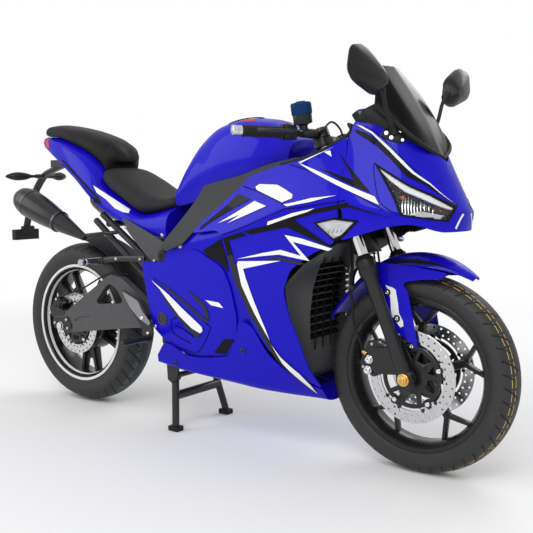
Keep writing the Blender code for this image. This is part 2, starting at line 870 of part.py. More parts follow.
def hub(radius, half_width, bore):
    return ring_of(
        [(bore, -half_width), (bore, half_width), (radius, half_width), (radius, -half_width)],
        ROUND_SEGMENTS,
    )


def front_rim():
    barrel = ring_of(rim_profile(FRONT_RIM_RADIUS, FRONT_RIM_HALF_WIDTH), WHEEL_SEGMENTS)
    reach = FRONT_RIM_RADIUS - RIM_DEPTH * 0.5
    half_width = FRONT_DISC_OFFSET - DISC_THICKNESS / 2 - SEAT_GAP
    parts = [hub(FRONT_HUB_RADIUS, half_width, AXLE_RADIUS + AXLE_CLEARANCE)]
    for index in range(SPOKE_COUNT):
        angle = 2 * pi * index / SPOKE_COUNT + radians(18)
        root = FRONT_HUB_RADIUS * 0.7
        trunk = FRONT_FORK_RADIUS + FRONT_ARM_HALF_WIDTH
        parts.append(spoke(root, trunk, angle, angle, FRONT_TRUNK_HALF_WIDTH, SPOKE_HALF_DEPTH))
        for side in (-1, 1):
            end = angle + side * FRONT_ARM_SPREAD
            arm = spoke(
                FRONT_FORK_RADIUS, reach, angle, end, FRONT_ARM_HALF_WIDTH, SPOKE_HALF_DEPTH * 0.9
            )
            parts.append(arm)
    return moved(combine(barrel, parts), FRONT_AXLE)


def rear_rim():
    barrel = ring_of(rim_profile(REAR_RIM_RADIUS, REAR_RIM_HALF_WIDTH), WHEEL_SEGMENTS)
    reach = REAR_RIM_RADIUS - RIM_DEPTH * 0.5
    motor = ring_of(
        [
            (AXLE_RADIUS + AXLE_CLEARANCE, -MOTOR_HALF_WIDTH),
            (AXLE_RADIUS + AXLE_CLEARANCE, MOTOR_HALF_WIDTH),
            (MOTOR_RADIUS * 0.45, MOTOR_HALF_WIDTH),
            (MOTOR_RADIUS * 0.9, MOTOR_HALF_WIDTH * 0.8),
            (MOTOR_RADIUS, MOTOR_HALF_WIDTH * 0.6),
            (MOTOR_RADIUS, -MOTOR_HALF_WIDTH * 0.6),
            (MOTOR_RADIUS * 0.9, -MOTOR_HALF_WIDTH * 0.8),
            (MOTOR_RADIUS * 0.45, -MOTOR_HALF_WIDTH),
        ],
        WHEEL_SEGMENTS,
    )
    half_width = REAR_DISC_OFFSET - DISC_THICKNESS / 2 - SEAT_GAP
    parts = [motor, hub(MOTOR_RADIUS * 0.3, half_width, AXLE_RADIUS + AXLE_CLEARANCE)]
    for index in range(SPOKE_COUNT):
        angle = 2 * pi * index / SPOKE_COUNT + radians(54)
        for side in (-1, 1):
            start = angle + side * REAR_SPOKE_SPREAD
            end = angle + side * REAR_SPOKE_SPREAD * 0.9
            root = MOTOR_RADIUS * 0.9
            arm = spoke(root, reach, start, end, REAR_SPOKE_HALF_WIDTH * 0.6, SPOKE_HALF_DEPTH * 1.5)
            parts.append(arm)
    return moved(combine(barrel, parts), REAR_AXLE)


def brake_disc(radius, offset, bore, centre):
    """A flat ring on a five-armed carrier, on the right side."""
    half = DISC_THICKNESS / 2
    inner = radius - DISC_BAND
    band = ring_of([(inner, -half), (inner, half), (radius, half), (radius, -half)], DISC_SEGMENTS)
    parts = [hub(bore + 0.018, half, bore)]
    for index in range(SPOKE_COUNT):
        angle = 2 * pi * index / SPOKE_COUNT + radians(18)
        arm = spoke(bore + 0.008, inner + 0.006, angle, angle, CARRIER_ARM_HALF_WIDTH, half * 0.8)
        parts.append(arm)
    return moved(combine(band, parts), centre + SIDE * -offset)


def add_wheels():
    front = tyre_profile(
        FRONT_TYRE_RADIUS, FRONT_TYRE_HALF_WIDTH, FRONT_RIM_RADIUS, FRONT_RIM_HALF_WIDTH
    )
    add("front_tyre", moved(ring_of(front, WHEEL_SEGMENTS), FRONT_AXLE), rubber(), "front_wheel")
    add("front_rim", front_rim(), black(), "front_wheel")
    disc = brake_disc(DISC_RADIUS, FRONT_DISC_OFFSET, DISC_BORE, FRONT_AXLE)
    both_sides("front_disc", disc, silver(), "front_wheel")
    rear = tyre_profile(REAR_TYRE_RADIUS, REAR_TYRE_HALF_WIDTH, REAR_RIM_RADIUS, REAR_RIM_HALF_WIDTH)
    add("rear_tyre", moved(ring_of(rear, WHEEL_SEGMENTS), REAR_AXLE), rubber(), "rear_wheel")
    add("rear_rim", rear_rim(), black(), "rear_wheel")
    disc = brake_disc(REAR_DISC_RADIUS, REAR_DISC_OFFSET, DISC_BORE, REAR_AXLE)
    add("rear_disc", disc, silver(), "rear_wheel")


# Front fork, yokes and bars
def steered(mesh):
    """Turns a mesh from (ahead, left, along the axis) into bike coordinates."""
    twin = mesh.copy()
    twin.transform(Matrix.Translation(STEER_FOOT) @ Matrix.Rotation(-RAKE, 4, "Y"))
    return twin


def slab(outline, low, high):
    """An outline of (x, y) points given a thickness along Z."""
    return loft([[(x, y, z) for x, y in outline] for z in (low, high)])


def symmetric(outline):
    return [*outline, *[(x, -y) for x, y in reversed(outline)]]


def fork_leg():
    start = steer(0, FORK_OFFSET, -FORK_HALF_SPACING)
    shoulder = LEG_LENGTH - LEG_COLLAR_HEIGHT
    profile = [
        (-LEG_FOOT, LEG_RADIUS * 0.8),
        (-LEG_FOOT * 0.85, LEG_RADIUS * 0.95),
        (shoulder * 0.93, LEG_RADIUS),
        (shoulder, LEG_COLLAR_RADIUS),
        (LEG_LENGTH - SHELL_WALL, LEG_COLLAR_RADIUS),
        (LEG_LENGTH, LEG_COLLAR_RADIUS * 0.9),
        (LEG_LENGTH + SHELL_WALL, STANCHION_RADIUS),
        (STANCHION_TOP, STANCHION_RADIUS),
    ]
    leg = turned(start, UP, profile)
    outer = -FORK_HALF_SPACING - LEG_RADIUS
    clamp = rod(
        FRONT_AXLE + SIDE * (outer + SHELL_WALL),
        FRONT_AXLE + SIDE * -(FORK_HALF_SPACING - LEG_RADIUS * 0.9),
        LEG_RADIUS * 1.2,
        ROUND_SEGMENTS,
    )
    face = calliper_outer_face()
    lug_start = calliper_centre(FRONT_AXLE, DISC_RADIUS, FRONT_CALLIPER_ANGLE)
    lug = [
        (lug_start.x - CALLIPER_LENGTH * 0.2, lug_start.z + CALLIPER_HEIGHT * 0.62),
        (lug_start.x + CALLIPER_LENGTH * 0.15, lug_start.z - CALLIPER_HEIGHT * 0.85),
        (FRONT_AXLE.x - LEG_RADIUS * 0.3, FRONT_AXLE.z + LEG_RADIUS * 0.6),
        (start.x + UP.x * LEG_FOOT * 2.6, start.z + UP.z * LEG_FOOT * 2.6),
    ]
    bracket = plate(lug, -face - SEAT_GAP - CALLIPER_CHEEK * 0.55, -face - SEAT_GAP)
    bore = rod(
        FRONT_AXLE + SIDE * (outer - OVERRUN),
        FRONT_AXLE + SIDE * (OVERRUN - FORK_HALF_SPACING + LEG_RADIUS),
        AXLE_RADIUS + SEAT_GAP,
        ROUND_SEGMENTS,
    )
    return combine(combine(leg, [clamp, bracket]), [bore], "DIFFERENCE")


def front_axle():
    end = FORK_HALF_SPACING + LEG_RADIUS + AXLE_OVERHANG
    pin = rod(FRONT_AXLE - SIDE * end, FRONT_AXLE + SIDE * end, AXLE_RADIUS, ROUND_SEGMENTS)
    inner = FORK_HALF_SPACING + LEG_RADIUS + SEAT_GAP
    nuts = []
    for side in (-1, 1):
        start = FRONT_AXLE + SIDE * side * inner
        nuts.append(turned(start, SIDE * side, [(0, AXLE_NUT_RADIUS), (AXLE_OVERHANG * 0.7, AXLE_NUT_RADIUS)], 6))
    return combine(pin, nuts)


def yoke_outline():
    back = -YOKE_HALF_DEPTH
    ahead = FORK_OFFSET + YOKE_HALF_DEPTH * 0.85
    wide = FORK_HALF_SPACING + YOKE_HALF_DEPTH
    return symmetric(
        [
            (back, HEAD_TUBE_RADIUS * 0.8),
            (FORK_OFFSET - YOKE_HALF_DEPTH, FORK_HALF_SPACING * 0.8),
            (FORK_OFFSET - YOKE_HALF_DEPTH * 0.6, wide * 0.97),
            (FORK_OFFSET, wide),
            (FORK_OFFSET + YOKE_HALF_DEPTH * 0.6, wide * 0.97),
            (ahead, FORK_HALF_SPACING * 0.8),
            (ahead * 0.8, HEAD_TUBE_RADIUS * 0.5),
        ]
    )


def triple_clamp():
    low = LOWER_YOKE_PLACE
    top = TOP_YOKE_PLACE
    lower = slab(yoke_outline(), low, low + YOKE_THICKNESS)
    upper = slab(yoke_outline(), top, top + YOKE_THICKNESS)
    stem = rod((0, 0, low + SHELL_WALL), (0, 0, top + SHELL_WALL), STEM_RADIUS, ROUND_SEGMENTS)
    bores = []
    for side in (-1, 1):
        place = (FORK_OFFSET, side * FORK_HALF_SPACING)
        start = (*place, low - OVERRUN)
        end = (*place, top + YOKE_THICKNESS + OVERRUN)
        bores.append(rod(start, end, STANCHION_RADIUS + SEAT_GAP, ROUND_SEGMENTS))
    return steered(combine(combine(lower, [upper, stem]), bores, "DIFFERENCE"))


def bar_line():
    """Start of the right bar on its clamp, and its end."""
    level = TOP_YOKE_PLACE + YOKE_THICKNESS + SEAT_GAP + BAR_CLAMP_HEIGHT / 2
    start = steer(level, FORK_OFFSET, -FORK_HALF_SPACING - STANCHION_RADIUS * 1.2)
    end = Vector((BAR_REACH, -BAR_END_SPREAD, BAR_HEIGHT))
    return start, end


def handlebar():
    start, end = bar_line()
    way = (end - start).normalized()
    low = TOP_YOKE_PLACE + YOKE_THICKNESS + SEAT_GAP
    ring = rod(
        (FORK_OFFSET, -FORK_HALF_SPACING, low),
        (FORK_OFFSET, -FORK_HALF_SPACING, low + BAR_CLAMP_HEIGHT),
        BAR_CLAMP_RADIUS,
        ROUND_SEGMENTS,
    )
    bore = rod(
        (FORK_OFFSET, -FORK_HALF_SPACING, low - OVERRUN),
        (FORK_OFFSET, -FORK_HALF_SPACING, low + BAR_CLAMP_HEIGHT + OVERRUN),
        STANCHION_RADIUS + SEAT_GAP,
        ROUND_SEGMENTS,
    )
    tube = rod(start, end - way * BAR_END_LENGTH, BAR_RADIUS, 12)
    grip_end = end - way * BAR_END_LENGTH
    grip_start = grip_end - way * GRIP_LENGTH
    box_start = grip_start - way * SWITCH_BOX_LENGTH
    shape = [
        (0, GRIP_RADIUS * 1.25),
        (SWITCH_BOX_LENGTH * 0.1, GRIP_RADIUS * 1.5),
        (SWITCH_BOX_LENGTH * 0.9, GRIP_RADIUS * 1.5),
        (SWITCH_BOX_LENGTH, GRIP_RADIUS * 1.25),
        (SWITCH_BOX_LENGTH, GRIP_RADIUS),
        (SWITCH_BOX_LENGTH + GRIP_LENGTH, GRIP_RADIUS),
        (SWITCH_BOX_LENGTH + GRIP_LENGTH, BAR_END_RADIUS),
        (SWITCH_BOX_LENGTH + GRIP_LENGTH + BAR_END_LENGTH, BAR_END_RADIUS),
    ]
    hand = turned(box_start, way, shape, 16)
    return combine(combine(steered(ring), [tube, hand]), [steered(bore)], "DIFFERENCE")


def brake_control():
    """Master cylinder clamped on the bar, with its cup and its lever."""
    start, end = bar_line()
    way = (end - start).normalized()
    ahead = way.cross(Vector((0, 0, 1))).normalized() * -1
    clamp = start + way * LEVER_CLAMP_PLACE
    body_centre = clamp + ahead * (BAR_RADIUS + SEAT_GAP + LEVER_BODY_DEPTH / 2)
    body = rod(
        body_centre - way * LEVER_BODY_LENGTH / 2,
        body_centre + way * LEVER_BODY_LENGTH / 2,
        LEVER_BODY_DEPTH / 2,
        12,
    )
    cup_foot = body_centre + Vector((0, 0, LEVER_BODY_DEPTH * 0.3)) - way * LEVER_BODY_LENGTH * 0.2
    cup = turned(
        cup_foot,
        (0, 0, 1),
        [
            (0, CUP_RADIUS * 0.6),
            (CUP_HEIGHT * 0.35, CUP_RADIUS * 0.6),
            (CUP_HEIGHT * 0.4, CUP_RADIUS * 0.9),
            (CUP_HEIGHT * 0.95, CUP_RADIUS),
            (CUP_HEIGHT, CUP_RADIUS * 0.92),
        ],
        16,
    )
    root = body_centre + way * LEVER_BODY_LENGTH * 0.35
    lever = sweep(
        [
            root,
            root + way * LEVER_LENGTH * 0.2 + ahead * LEVER_STAND_OFF * 0.8,
            root + way * LEVER_LENGTH * 0.6 + ahead * LEVER_STAND_OFF,
            root + way * LEVER_LENGTH + ahead * LEVER_STAND_OFF * 0.7,
        ],
        LEVER_RADIUS,
        8,
    )
    return combine(body, [cup, lever])


def calliper_centre(axle, radius, angle):
    reach = radius - CALLIPER_HEIGHT * 0.3
    return axle + Vector((reach * cos(angle), 0, reach * sin(angle)))


def calliper_outer_face():
    return FRONT_DISC_OFFSET + DISC_THICKNESS / 2 + CALLIPER_CLEARANCE + CALLIPER_CHEEK


def calliper(axle, radius, offset, angle):
    """Two cheeks and a bridge that reach over the rim of a disc."""
    centre = calliper_centre(axle, radius, angle)
    outward = Vector((cos(angle), 0, sin(angle)))
    tangent = Vector((-sin(angle), 0, cos(angle)))
    slot = DISC_THICKNESS / 2 + CALLIPER_CLEARANCE
    cheek_shares = ((-0.5, -0.35), (-0.42, -0.5), (0.42, -0.5), (0.5, -0.35), (0.5, 0.3), (0.35, 0.5),
                    (-0.35, 0.5), (-0.5, 0.3))
    bridge_low = radius + CALLIPER_CLEARANCE - (centre - axle).length
    bridge_shares = ((-0.40, 0.0), (0.40, 0.0), (0.35, 1.0), (-0.35, 1.0))
    cheek = []
    for along, out in cheek_shares:
        place = centre + tangent * along * CALLIPER_LENGTH + outward * out * CALLIPER_HEIGHT
        cheek.append((place.x, place.z))
    bridge = []
    for along, out in bridge_shares:
        height = bridge_low + out * (CALLIPER_HEIGHT * 0.62 - bridge_low)
        place = centre + tangent * along * CALLIPER_LENGTH + outward * height
        bridge.append((place.x, place.z))
    outer = plate(cheek, -offset - slot - CALLIPER_CHEEK, -offset - slot)
    inner = plate(cheek, -offset + slot, -offset + slot + CALLIPER_CHEEK * 0.7)
    middle = plate(bridge, -offset - slot - CALLIPER_CHEEK * 0.6, -offset + slot + CALLIPER_CHEEK * 0.4)
    return combine(outer, [inner, middle])


def guard_point(angle_share, across):
    """A place on the mudguard: share along its arc from the tip, and across from -1 to 1."""
    angle = GUARD_FRONT_ANGLE + (GUARD_REAR_ANGLE - GUARD_FRONT_ANGLE) * angle_share
    crown = GUARD_CROWN * sin(pi * min(angle_share * 1.15 + 0.1, 1.0))
    width = GUARD_HALF_WIDTH * min(1.0, 0.30 + angle_share * 3.2)
    top = FRONT_TYRE_RADIUS + GUARD_CLEARANCE + crown
    bow = cos(across * radians(78))
    skirt = GUARD_SKIRT * (1 - bow) * min(1.0, 0.35 + angle_share * 2.2)
    height = top - skirt - crown * (1 - bow) * 0.6
    place = FRONT_AXLE + Vector((height * cos(angle), 0, height * sin(angle)))
    return place + SIDE * width * sin(across * radians(78)) / sin(radians(78))


def front_mudguard():
    rows = []
    for step in range(12):
        rows.append([guard_point(step / 11, side / 3) for side in range(-3, 4)])
    cover = shell(rows, GUARD_WALL)
    blades = []
    inner = GUARD_HALF_WIDTH - GUARD_WALL * 1.5
    for side in (-1, 1):
        outline = near_axle(FRONT_AXLE, BLADE_SHARES, FRONT_TYRE_RADIUS)
        rings = []
        for depth in (0, 1):
            ring = []
            for share, (x, z) in zip(BLADE_STAND_OFF_SHARES, outline):
                y = inner + share * BLADE_STAND_OFF + depth * GUARD_WALL * 1.4
                ring.append((x, side * y, z))
            rings.append(ring)
        blades.append(loft(rings))
    leg = FRONT_AXLE + UP * GUARD_BOSS_PLACE
    reach = FORK_HALF_SPACING - LEG_COLLAR_RADIUS - SEAT_GAP
    bosses = []
    for side in (-1, 1):
        root = leg + SIDE * side * (GUARD_HALF_WIDTH - GUARD_BOSS_RADIUS)
        bosses.append(rod(root, leg + SIDE * side * reach, GUARD_BOSS_RADIUS, TUBE_SEGMENTS))
    return combine(cover, blades + bosses)


def add_steering():
    both_sides("fork_leg", fork_leg(), black(), "steering")
    add("triple_clamp", triple_clamp(), black(), "steering")
    add("front_axle", front_axle(), silver(), "steering")
    both_sides("handlebar", handlebar(), black(), "steering")
    both_sides("brake_control", brake_control(), black(), "steering")
    front = calliper(FRONT_AXLE, DISC_RADIUS, FRONT_DISC_OFFSET, FRONT_CALLIPER_ANGLE)
    both_sides("front_calliper", front, black(), "steering")
    add("front_mudguard", front_mudguard(), blue(), "steering")


# Frame, battery and running gear
def at(share, y):
    x, z = spot(share)
    return Vector((x, y, z))


def main_frame():
    low = LOWER_YOKE_PLACE + YOKE_THICKNESS + HEAD_TUBE_CLEARANCE
    high = TOP_YOKE_PLACE - HEAD_TUBE_CLEARANCE
    head = rod(steer(low), steer(high), HEAD_TUBE_RADIUS, ROUND_SEGMENTS)
    bore = rod(
        steer(low - OVERRUN), steer(high + OVERRUN), STEM_RADIUS + HEAD_TUBE_CLEARANCE, ROUND_SEGMENTS
    )
    middle = (low + high) / 2
    tubes = []
    for side in (-1, 1):
        root = steer(middle, -HEAD_TUBE_RADIUS * 0.4, side * HEAD_TUBE_RADIUS * 0.5)
        spar = [root] + [at(share, side * SPAR_HALF_SPACING * wide) for wide, share in SPAR_SHARES]
        tubes.append(sweep(spar, SPAR_RADIUS, TUBE_SEGMENTS))
        cradle = [at(share, side * CRADLE_HALF_SPACING) for share in CRADLE_SHARES]
        tubes.append(sweep(cradle, CRADLE_RADIUS, STAY_SEGMENTS))
        for start, end in STRUT_SHARES:
            y = side * STRUT_HALF_SPACING
            tubes.append(rod(at(start, y), at(end, y), STRUT_RADIUS, STAY_SEGMENTS))
    halves = (SIDE_PLATE_SPACING - SEAT_GAP, STRUT_HALF_SPACING, STRUT_HALF_SPACING, CRADLE_HALF_SPACING)
    for share, half in zip(CROSS_TUBE_SHARES, halves):
        tubes.append(rod(at(share, -half), at(share, half), CROSS_TUBE_RADIUS, TUBE_SEGMENTS))
    tubes += body_stays()
    pivot = rod(
        at(PIVOT_SHARE, SEAT_GAP - ARM_INNER), at(PIVOT_SHARE, ARM_INNER - SEAT_GAP), PIVOT_RADIUS, 14
    )
    return combine(combine(head, tubes + [pivot]), [bore], "DIFFERENCE")


def body_stays():
    """Stubs that carry the panels, each ending just inside its panel's skin."""
    stays = []
    groups = (
        (FAIRING_STAY_SHARES, body_half_width),
        (COVER_STAY_SHARES, cover_half_width),
        (BELLY_STAY_SHARES, body_half_width),
    )
    for shares, half_width in groups:
        for share in shares:
            x, z = spot(share)
            tight = min(half_width(x, z - STAY_RADIUS), half_width(x, z + STAY_RADIUS))
            reach = tight - SHELL_WALL - 2 * SEAT_GAP
            for side in (-1, 1):
                start = (x, side * SPAR_HALF_SPACING, z)
                stays.append(rod(start, (x, side * reach, z), STAY_RADIUS, STAY_SEGMENTS))
    posts = (
        (TANK_POST_SHARES, TANK_LOW_SHARES, -STAY_RADIUS, TANK_POST_SPACING),
        (TAIL_POST_SHARES, TAIL_LOW_SHARES, STAY_RADIUS, TAIL_POST_SPACING),
    )
    for shares, table, lean, spacing in posts:
        for share in shares:
            x, z = spot(share)
            top = between(table, (x + lean) / BAR_REACH) * BAR_HEIGHT - SEAT_GAP
            for y in (-spacing, spacing):
                stays.append(rod((x, y, z), (x, y, top), STAY_RADIUS, STAY_SEGMENTS))
    root = steer((LOWER_YOKE_PLACE + TOP_YOKE_PLACE + YOKE_THICKNESS) / 2, HEAD_TUBE_RADIUS * 0.8)
    tip = at(HEADLIGHT_LINK_SHARE, 0) - Vector((HEADLIGHT_LINK / 2 + SEAT_GAP, 0, HEADLIGHT_LINK / 4))
    route = [root, *[at(share, 0) for share in NOSE_STAY_SHARES], tip]
    stays.append(sweep(route, NOSE_STAY_RADIUS, TUBE_SEGMENTS))
    for side in (-1, 1):
        start = at(DUCT_STAY_SHARE, side * DUCT_STAY_SPACING)
        end = Vector((duct_back(start.z), start.y, start.z))
        stays.append(rod(start, end, STAY_RADIUS, STAY_SEGMENTS))
    return stays


def duct_back(z):
    """How far back the duct's rear wall lies at a height, less the gap kept to it."""
    rows = [(share[1], share[0]) for share, _ in reversed(DUCT_INNER_SHARES)]
    return between(rows, z / BAR_HEIGHT) * BAR_REACH - DUCT_DEPTH - DUCT_SEAT


def battery_block():
    low_x, low_z = spot(BATTERY_LOW_SHARE)
    high_x, high_z = spot(BATTERY_HIGH_SHARE)
    half = SPAR_HALF_SPACING - SPAR_RADIUS - SEAT_GAP
    centre = ((low_x + high_x) / 2, 0, (low_z + high_z) / 2)
    return block(centre, (high_x - low_x, 2 * half, high_z - low_z))


def rear_guard_angles():
    return [radians(10) + radians(80) * step / 9 for step in range(10)]


def guard_surface(z):
    """How far forward the rear mudguard's crown lies at a height."""
    radius = REAR_TYRE_RADIUS + REAR_GUARD_CLEARANCE
    crown = [(REAR_AXLE.z + radius * sin(angle), radius * cos(angle)) for angle in rear_guard_angles()]
    return between(crown, z)


def near_axle(axle, shares, size):
    """Side-view places round an axle, as shares of one size."""
    return [(axle.x + x * size, axle.z + z * size) for x, z in shares]


def swingarm():
    outline = near_axle(REAR_AXLE, ARM_END_LOW_SHARES, ARM_END)
    outline += [spot(share) for share in ARM_SHARES]
    outline += near_axle(REAR_AXLE, ARM_END_HIGH_SHARES, ARM_END)
    hole = [spot(share) for share in ARM_HOLE_SHARES]
    arm = plate(outline, -ARM_INNER - ARM_THICKNESS, -ARM_INNER)
    cutter = plate(hole, -ARM_INNER - ARM_THICKNESS - OVERRUN, OVERRUN - ARM_INNER)
    right = combine(arm, [cutter], "DIFFERENCE")
    bridge = rod(at(ARM_BRIDGE_SHARE, -ARM_INNER - SHELL_WALL), at(ARM_BRIDGE_SHARE, ARM_INNER + SHELL_WALL), PIVOT_RADIUS, 12)
    bridge_x, bridge_z = spot(ARM_BRIDGE_SHARE)
    guard_x = guard_surface(bridge_z - GUARD_LUG_HEIGHT / 2) + SEAT_GAP
    lug = block(
        ((guard_x + bridge_x) / 2, 0, bridge_z), (bridge_x - guard_x, GUARD_LUG_WIDTH, GUARD_LUG_HEIGHT)
    )
    reach = ARM_INNER + ARM_THICKNESS + AXLE_OVERHANG
    axle = rod(REAR_AXLE - SIDE * reach, REAR_AXLE + SIDE * reach, AXLE_RADIUS, ROUND_SEGMENTS)
    return combine(right, [mirrored(right), bridge, lug, axle])


def rear_calliper():
    body = calliper(REAR_AXLE, REAR_DISC_RADIUS, REAR_DISC_OFFSET, REAR_CALLIPER_ANGLE)
    centre = calliper_centre(REAR_AXLE, REAR_DISC_RADIUS, REAR_CALLIPER_ANGLE)
    outer = REAR_DISC_OFFSET + DISC_THICKNESS / 2 + CALLIPER_CLEARANCE + CALLIPER_CHEEK * 0.5
    outline = [
        (centre.x - CALLIPER_LENGTH * 0.2, centre.z + CALLIPER_HEIGHT * 0.3),
        (centre.x - CALLIPER_LENGTH * 0.1, centre.z - CALLIPER_HEIGHT * 0.5),
        (REAR_AXLE.x - CALLIPER_LENGTH * 0.1, REAR_AXLE.z - CALLIPER_HEIGHT * 0.1),
        (REAR_AXLE.x + CALLIPER_LENGTH * 0.5, REAR_AXLE.z + CALLIPER_HEIGHT * 0.75),
    ]
    bore = rod(
        REAR_AXLE - SIDE * (ARM_INNER + OVERRUN),
        REAR_AXLE - SIDE * (outer - OVERRUN),
        AXLE_RADIUS + SEAT_GAP,
        ROUND_SEGMENTS,
    )
    bracket = plate(outline, SEAT_GAP - ARM_INNER, -outer)
    return combine(combine(body, [bracket]), [bore], "DIFFERENCE")


def centre_stand():
    pivot_x, pivot_z = spot(STAND_PIVOT_SHARE)
    foot_x = pivot_x + STAND_FOOT_FORWARD
    legs = []
    for side in (-1, 1):
        top = Vector((pivot_x, side * STAND_TOP_HALF_SPREAD, pivot_z))
        knee = top.lerp(Vector((foot_x, top.y, 0)), STAND_KNEE_SHARE)
        foot = Vector((foot_x, side * STAND_HALF_SPREAD, STAND_TUBE_RADIUS * 1.2))
        legs.append(sweep([top, knee, foot], STAND_TUBE_RADIUS, TUBE_SEGMENTS))
        low = Vector((foot_x, side * STAND_HALF_SPREAD, STAND_TUBE_RADIUS * 0.7))
        legs.append(block(low, (STAND_TUBE_RADIUS * 3.4, STAND_TUBE_RADIUS * 2.6, STAND_TUBE_RADIUS * 1.4)))
    reach = STAND_TOP_HALF_SPREAD + STAND_TUBE_RADIUS
    bar = rod((pivot_x, -reach, pivot_z), (pivot_x, reach, pivot_z), STAND_TUBE_RADIUS * 1.25, 12)
    middle = Vector((pivot_x + STAND_FOOT_FORWARD * STAND_KNEE_SHARE, 0, pivot_z * (1 - STAND_KNEE_SHARE)))
    spread = STAND_TOP_HALF_SPREAD
    brace = rod(middle - SIDE * spread, middle + SIDE * spread, STAND_TUBE_RADIUS * 0.8, TUBE_SEGMENTS)
    bore = rod(
        (pivot_x, -reach - OVERRUN, pivot_z),
        (pivot_x, reach + OVERRUN, pivot_z),
        STAND_PIN_RADIUS + AXLE_CLEARANCE,
        12,
    )
    return combine(combine(bar, [brace, *legs]), [bore], "DIFFERENCE")


def stand_carrier():
    """Pin of the stand with the two plates that hang it from the cradle."""
    pivot_x, pivot_z = spot(STAND_PIVOT_SHARE)
    reach = STAND_TOP_HALF_SPREAD + STAND_TUBE_RADIUS + AXLE_CLEARANCE * 2
    wide = STAND_TUBE_RADIUS * 1.7
    pin = rod(
        (pivot_x, -reach - SHELL_WALL, pivot_z),
        (pivot_x, reach + SHELL_WALL, pivot_z),
        STAND_PIN_RADIUS,
        12,
    )
    top = spot(CRADLE_SHARES[-2])[1] - CRADLE_RADIUS * CRADLE_BEND_SHARE - SEAT_GAP
    ears = []
    for side in (-1, 1):
        y = sorted((side * reach, side * (reach + SHELL_WALL * 1.5)))
        outline = [
            (pivot_x - wide, top),
            (pivot_x - wide * 0.8, pivot_z - wide * 0.5),
            (pivot_x, pivot_z - wide),
            (pivot_x + wide * 0.8, pivot_z - wide * 0.5),
            (pivot_x + wide * 2.0, top),
        ]
        ears.append(plate(outline, *y))
    bridge = block(
        (pivot_x + wide * 0.5, 0, top - SHELL_WALL), (wide * 3, 2 * reach + SHELL_WALL, 2 * SHELL_WALL)
    )
    return combine(pin, [*ears, bridge])


def muffler():
    start = at(MUFFLER_REAR_SHARE, -MUFFLER_SPACING)
    end = at(MUFFLER_FRONT_SHARE, -MUFFLER_SPACING)
    length = (end - start).length
    profile = [(far * length, wide * MUFFLER_RADIUS) for far, wide in MUFFLER_PROFILE_SHARES]
    can = turned(start, end - start, profile)
    stay_end = at(MUFFLER_STAY_SHARE, -STRUT_HALF_SPACING - STRUT_RADIUS * cos(pi / STAY_SEGMENTS) - SEAT_GAP)
    knee = stay_end - SIDE * STRUT_RADIUS
    stay = sweep([end + (start - end) * 0.04, knee, stay_end], STRUT_RADIUS * 0.6, TUBE_SEGMENTS)
    return combine(can, [stay])


def peg_bracket():
    """Frame side plate with the arm and peg of the passenger's foot rest."""
    outline = [spot(share) for share in SIDE_PLATE_SHARES]
    side = plate(outline, -SIDE_PLATE_SPACING - SIDE_PLATE_WALL, -SIDE_PLATE_SPACING)
    middle = -SIDE_PLATE_SPACING - SIDE_PLATE_WALL / 2
    knee = at(REAR_PEG_SHARE, middle - SIDE_PLATE_WALL * 2)
    arm = sweep([at(SIDE_PLATE_SHARES[-1], middle), at(REAR_PEG_ARM_SHARE, middle), knee], STRUT_RADIUS * 0.9, 8)
    peg = rod(knee, knee - SIDE * REAR_PEG_LENGTH, PEG_RADIUS * 0.9, 12)
    return combine(side, [arm, peg])


def rider_peg():
    """Foot rest on a hanger plate behind the lower cover."""
    root = at(RIDER_PEG_SHARE, -PEG_ROOT_SPACING)
    outer = SIDE * -PEG_LENGTH
    peg = rod(root, root + outer, PEG_RADIUS, 14)
    hanger = [spot(share) for share in HANGER_SHARES]
    seat = -(ARM_INNER + ARM_THICKNESS + SEAT_GAP)
    boss = rod(
        at(HANGER_BOSS_SHARE, seat), at(HANGER_BOSS_SHARE, -PEG_ROOT_SPACING), HANGER_BOSS_RADIUS, 12
    )
    return combine(plate(hanger, -PEG_ROOT_SPACING, HANGER_WALL - PEG_ROOT_SPACING), [peg, boss])


def rear_shock():
    start = at(ARM_BRIDGE_SHARE, 0)
    end = at(SHOCK_HIGH_SHARE, 0)
    way = (end - start).normalized()
    start += way * (PIVOT_RADIUS + SEAT_GAP)
    end -= way * (CROSS_TUBE_RADIUS + SEAT_GAP)
    length = (end - start).length
    coils = [(0.0, 0.55), (0.10, 0.55), (0.12, 1.0)]
    coils += [(0.86, 1.0), (0.90, 0.5), (1.0, 0.5)]
    return turned(start, end - start, [(far * length, wide * SHOCK_RADIUS) for far, wide in coils])


def rear_mudguard():
    rows = []
    for angle in rear_guard_angles():
        row = []
        for side in range(-3, 4):
            lean = side / 3
            height = REAR_TYRE_RADIUS + REAR_GUARD_CLEARANCE * (1 - 0.35 * lean * lean)
            place = REAR_AXLE + Vector((height * cos(angle), 0, height * sin(angle)))
            row.append(place + SIDE * lean * REAR_TYRE_HALF_WIDTH * 1.1)
        rows.append(row)
    return shell(rows, GUARD_WALL)


def add_frame():
    add("main_frame", main_frame(), black())
    add("battery_block", battery_block(), black())
    add("swingarm", swingarm(), grey())
    add("rear_calliper", rear_calliper(), black())
    add("stand_carrier", stand_carrier(), black())
    add("centre_stand", centre_stand(), black(), "centre_stand")
    both_sides("muffler", muffler(), black())
    both_sides("peg_bracket", peg_bracket(), grey())
    both_sides("rider_peg", rider_peg(), black())
    add("rear_shock", rear_shock(), black())
    add("rear_mudguard", rear_mudguard(), black())


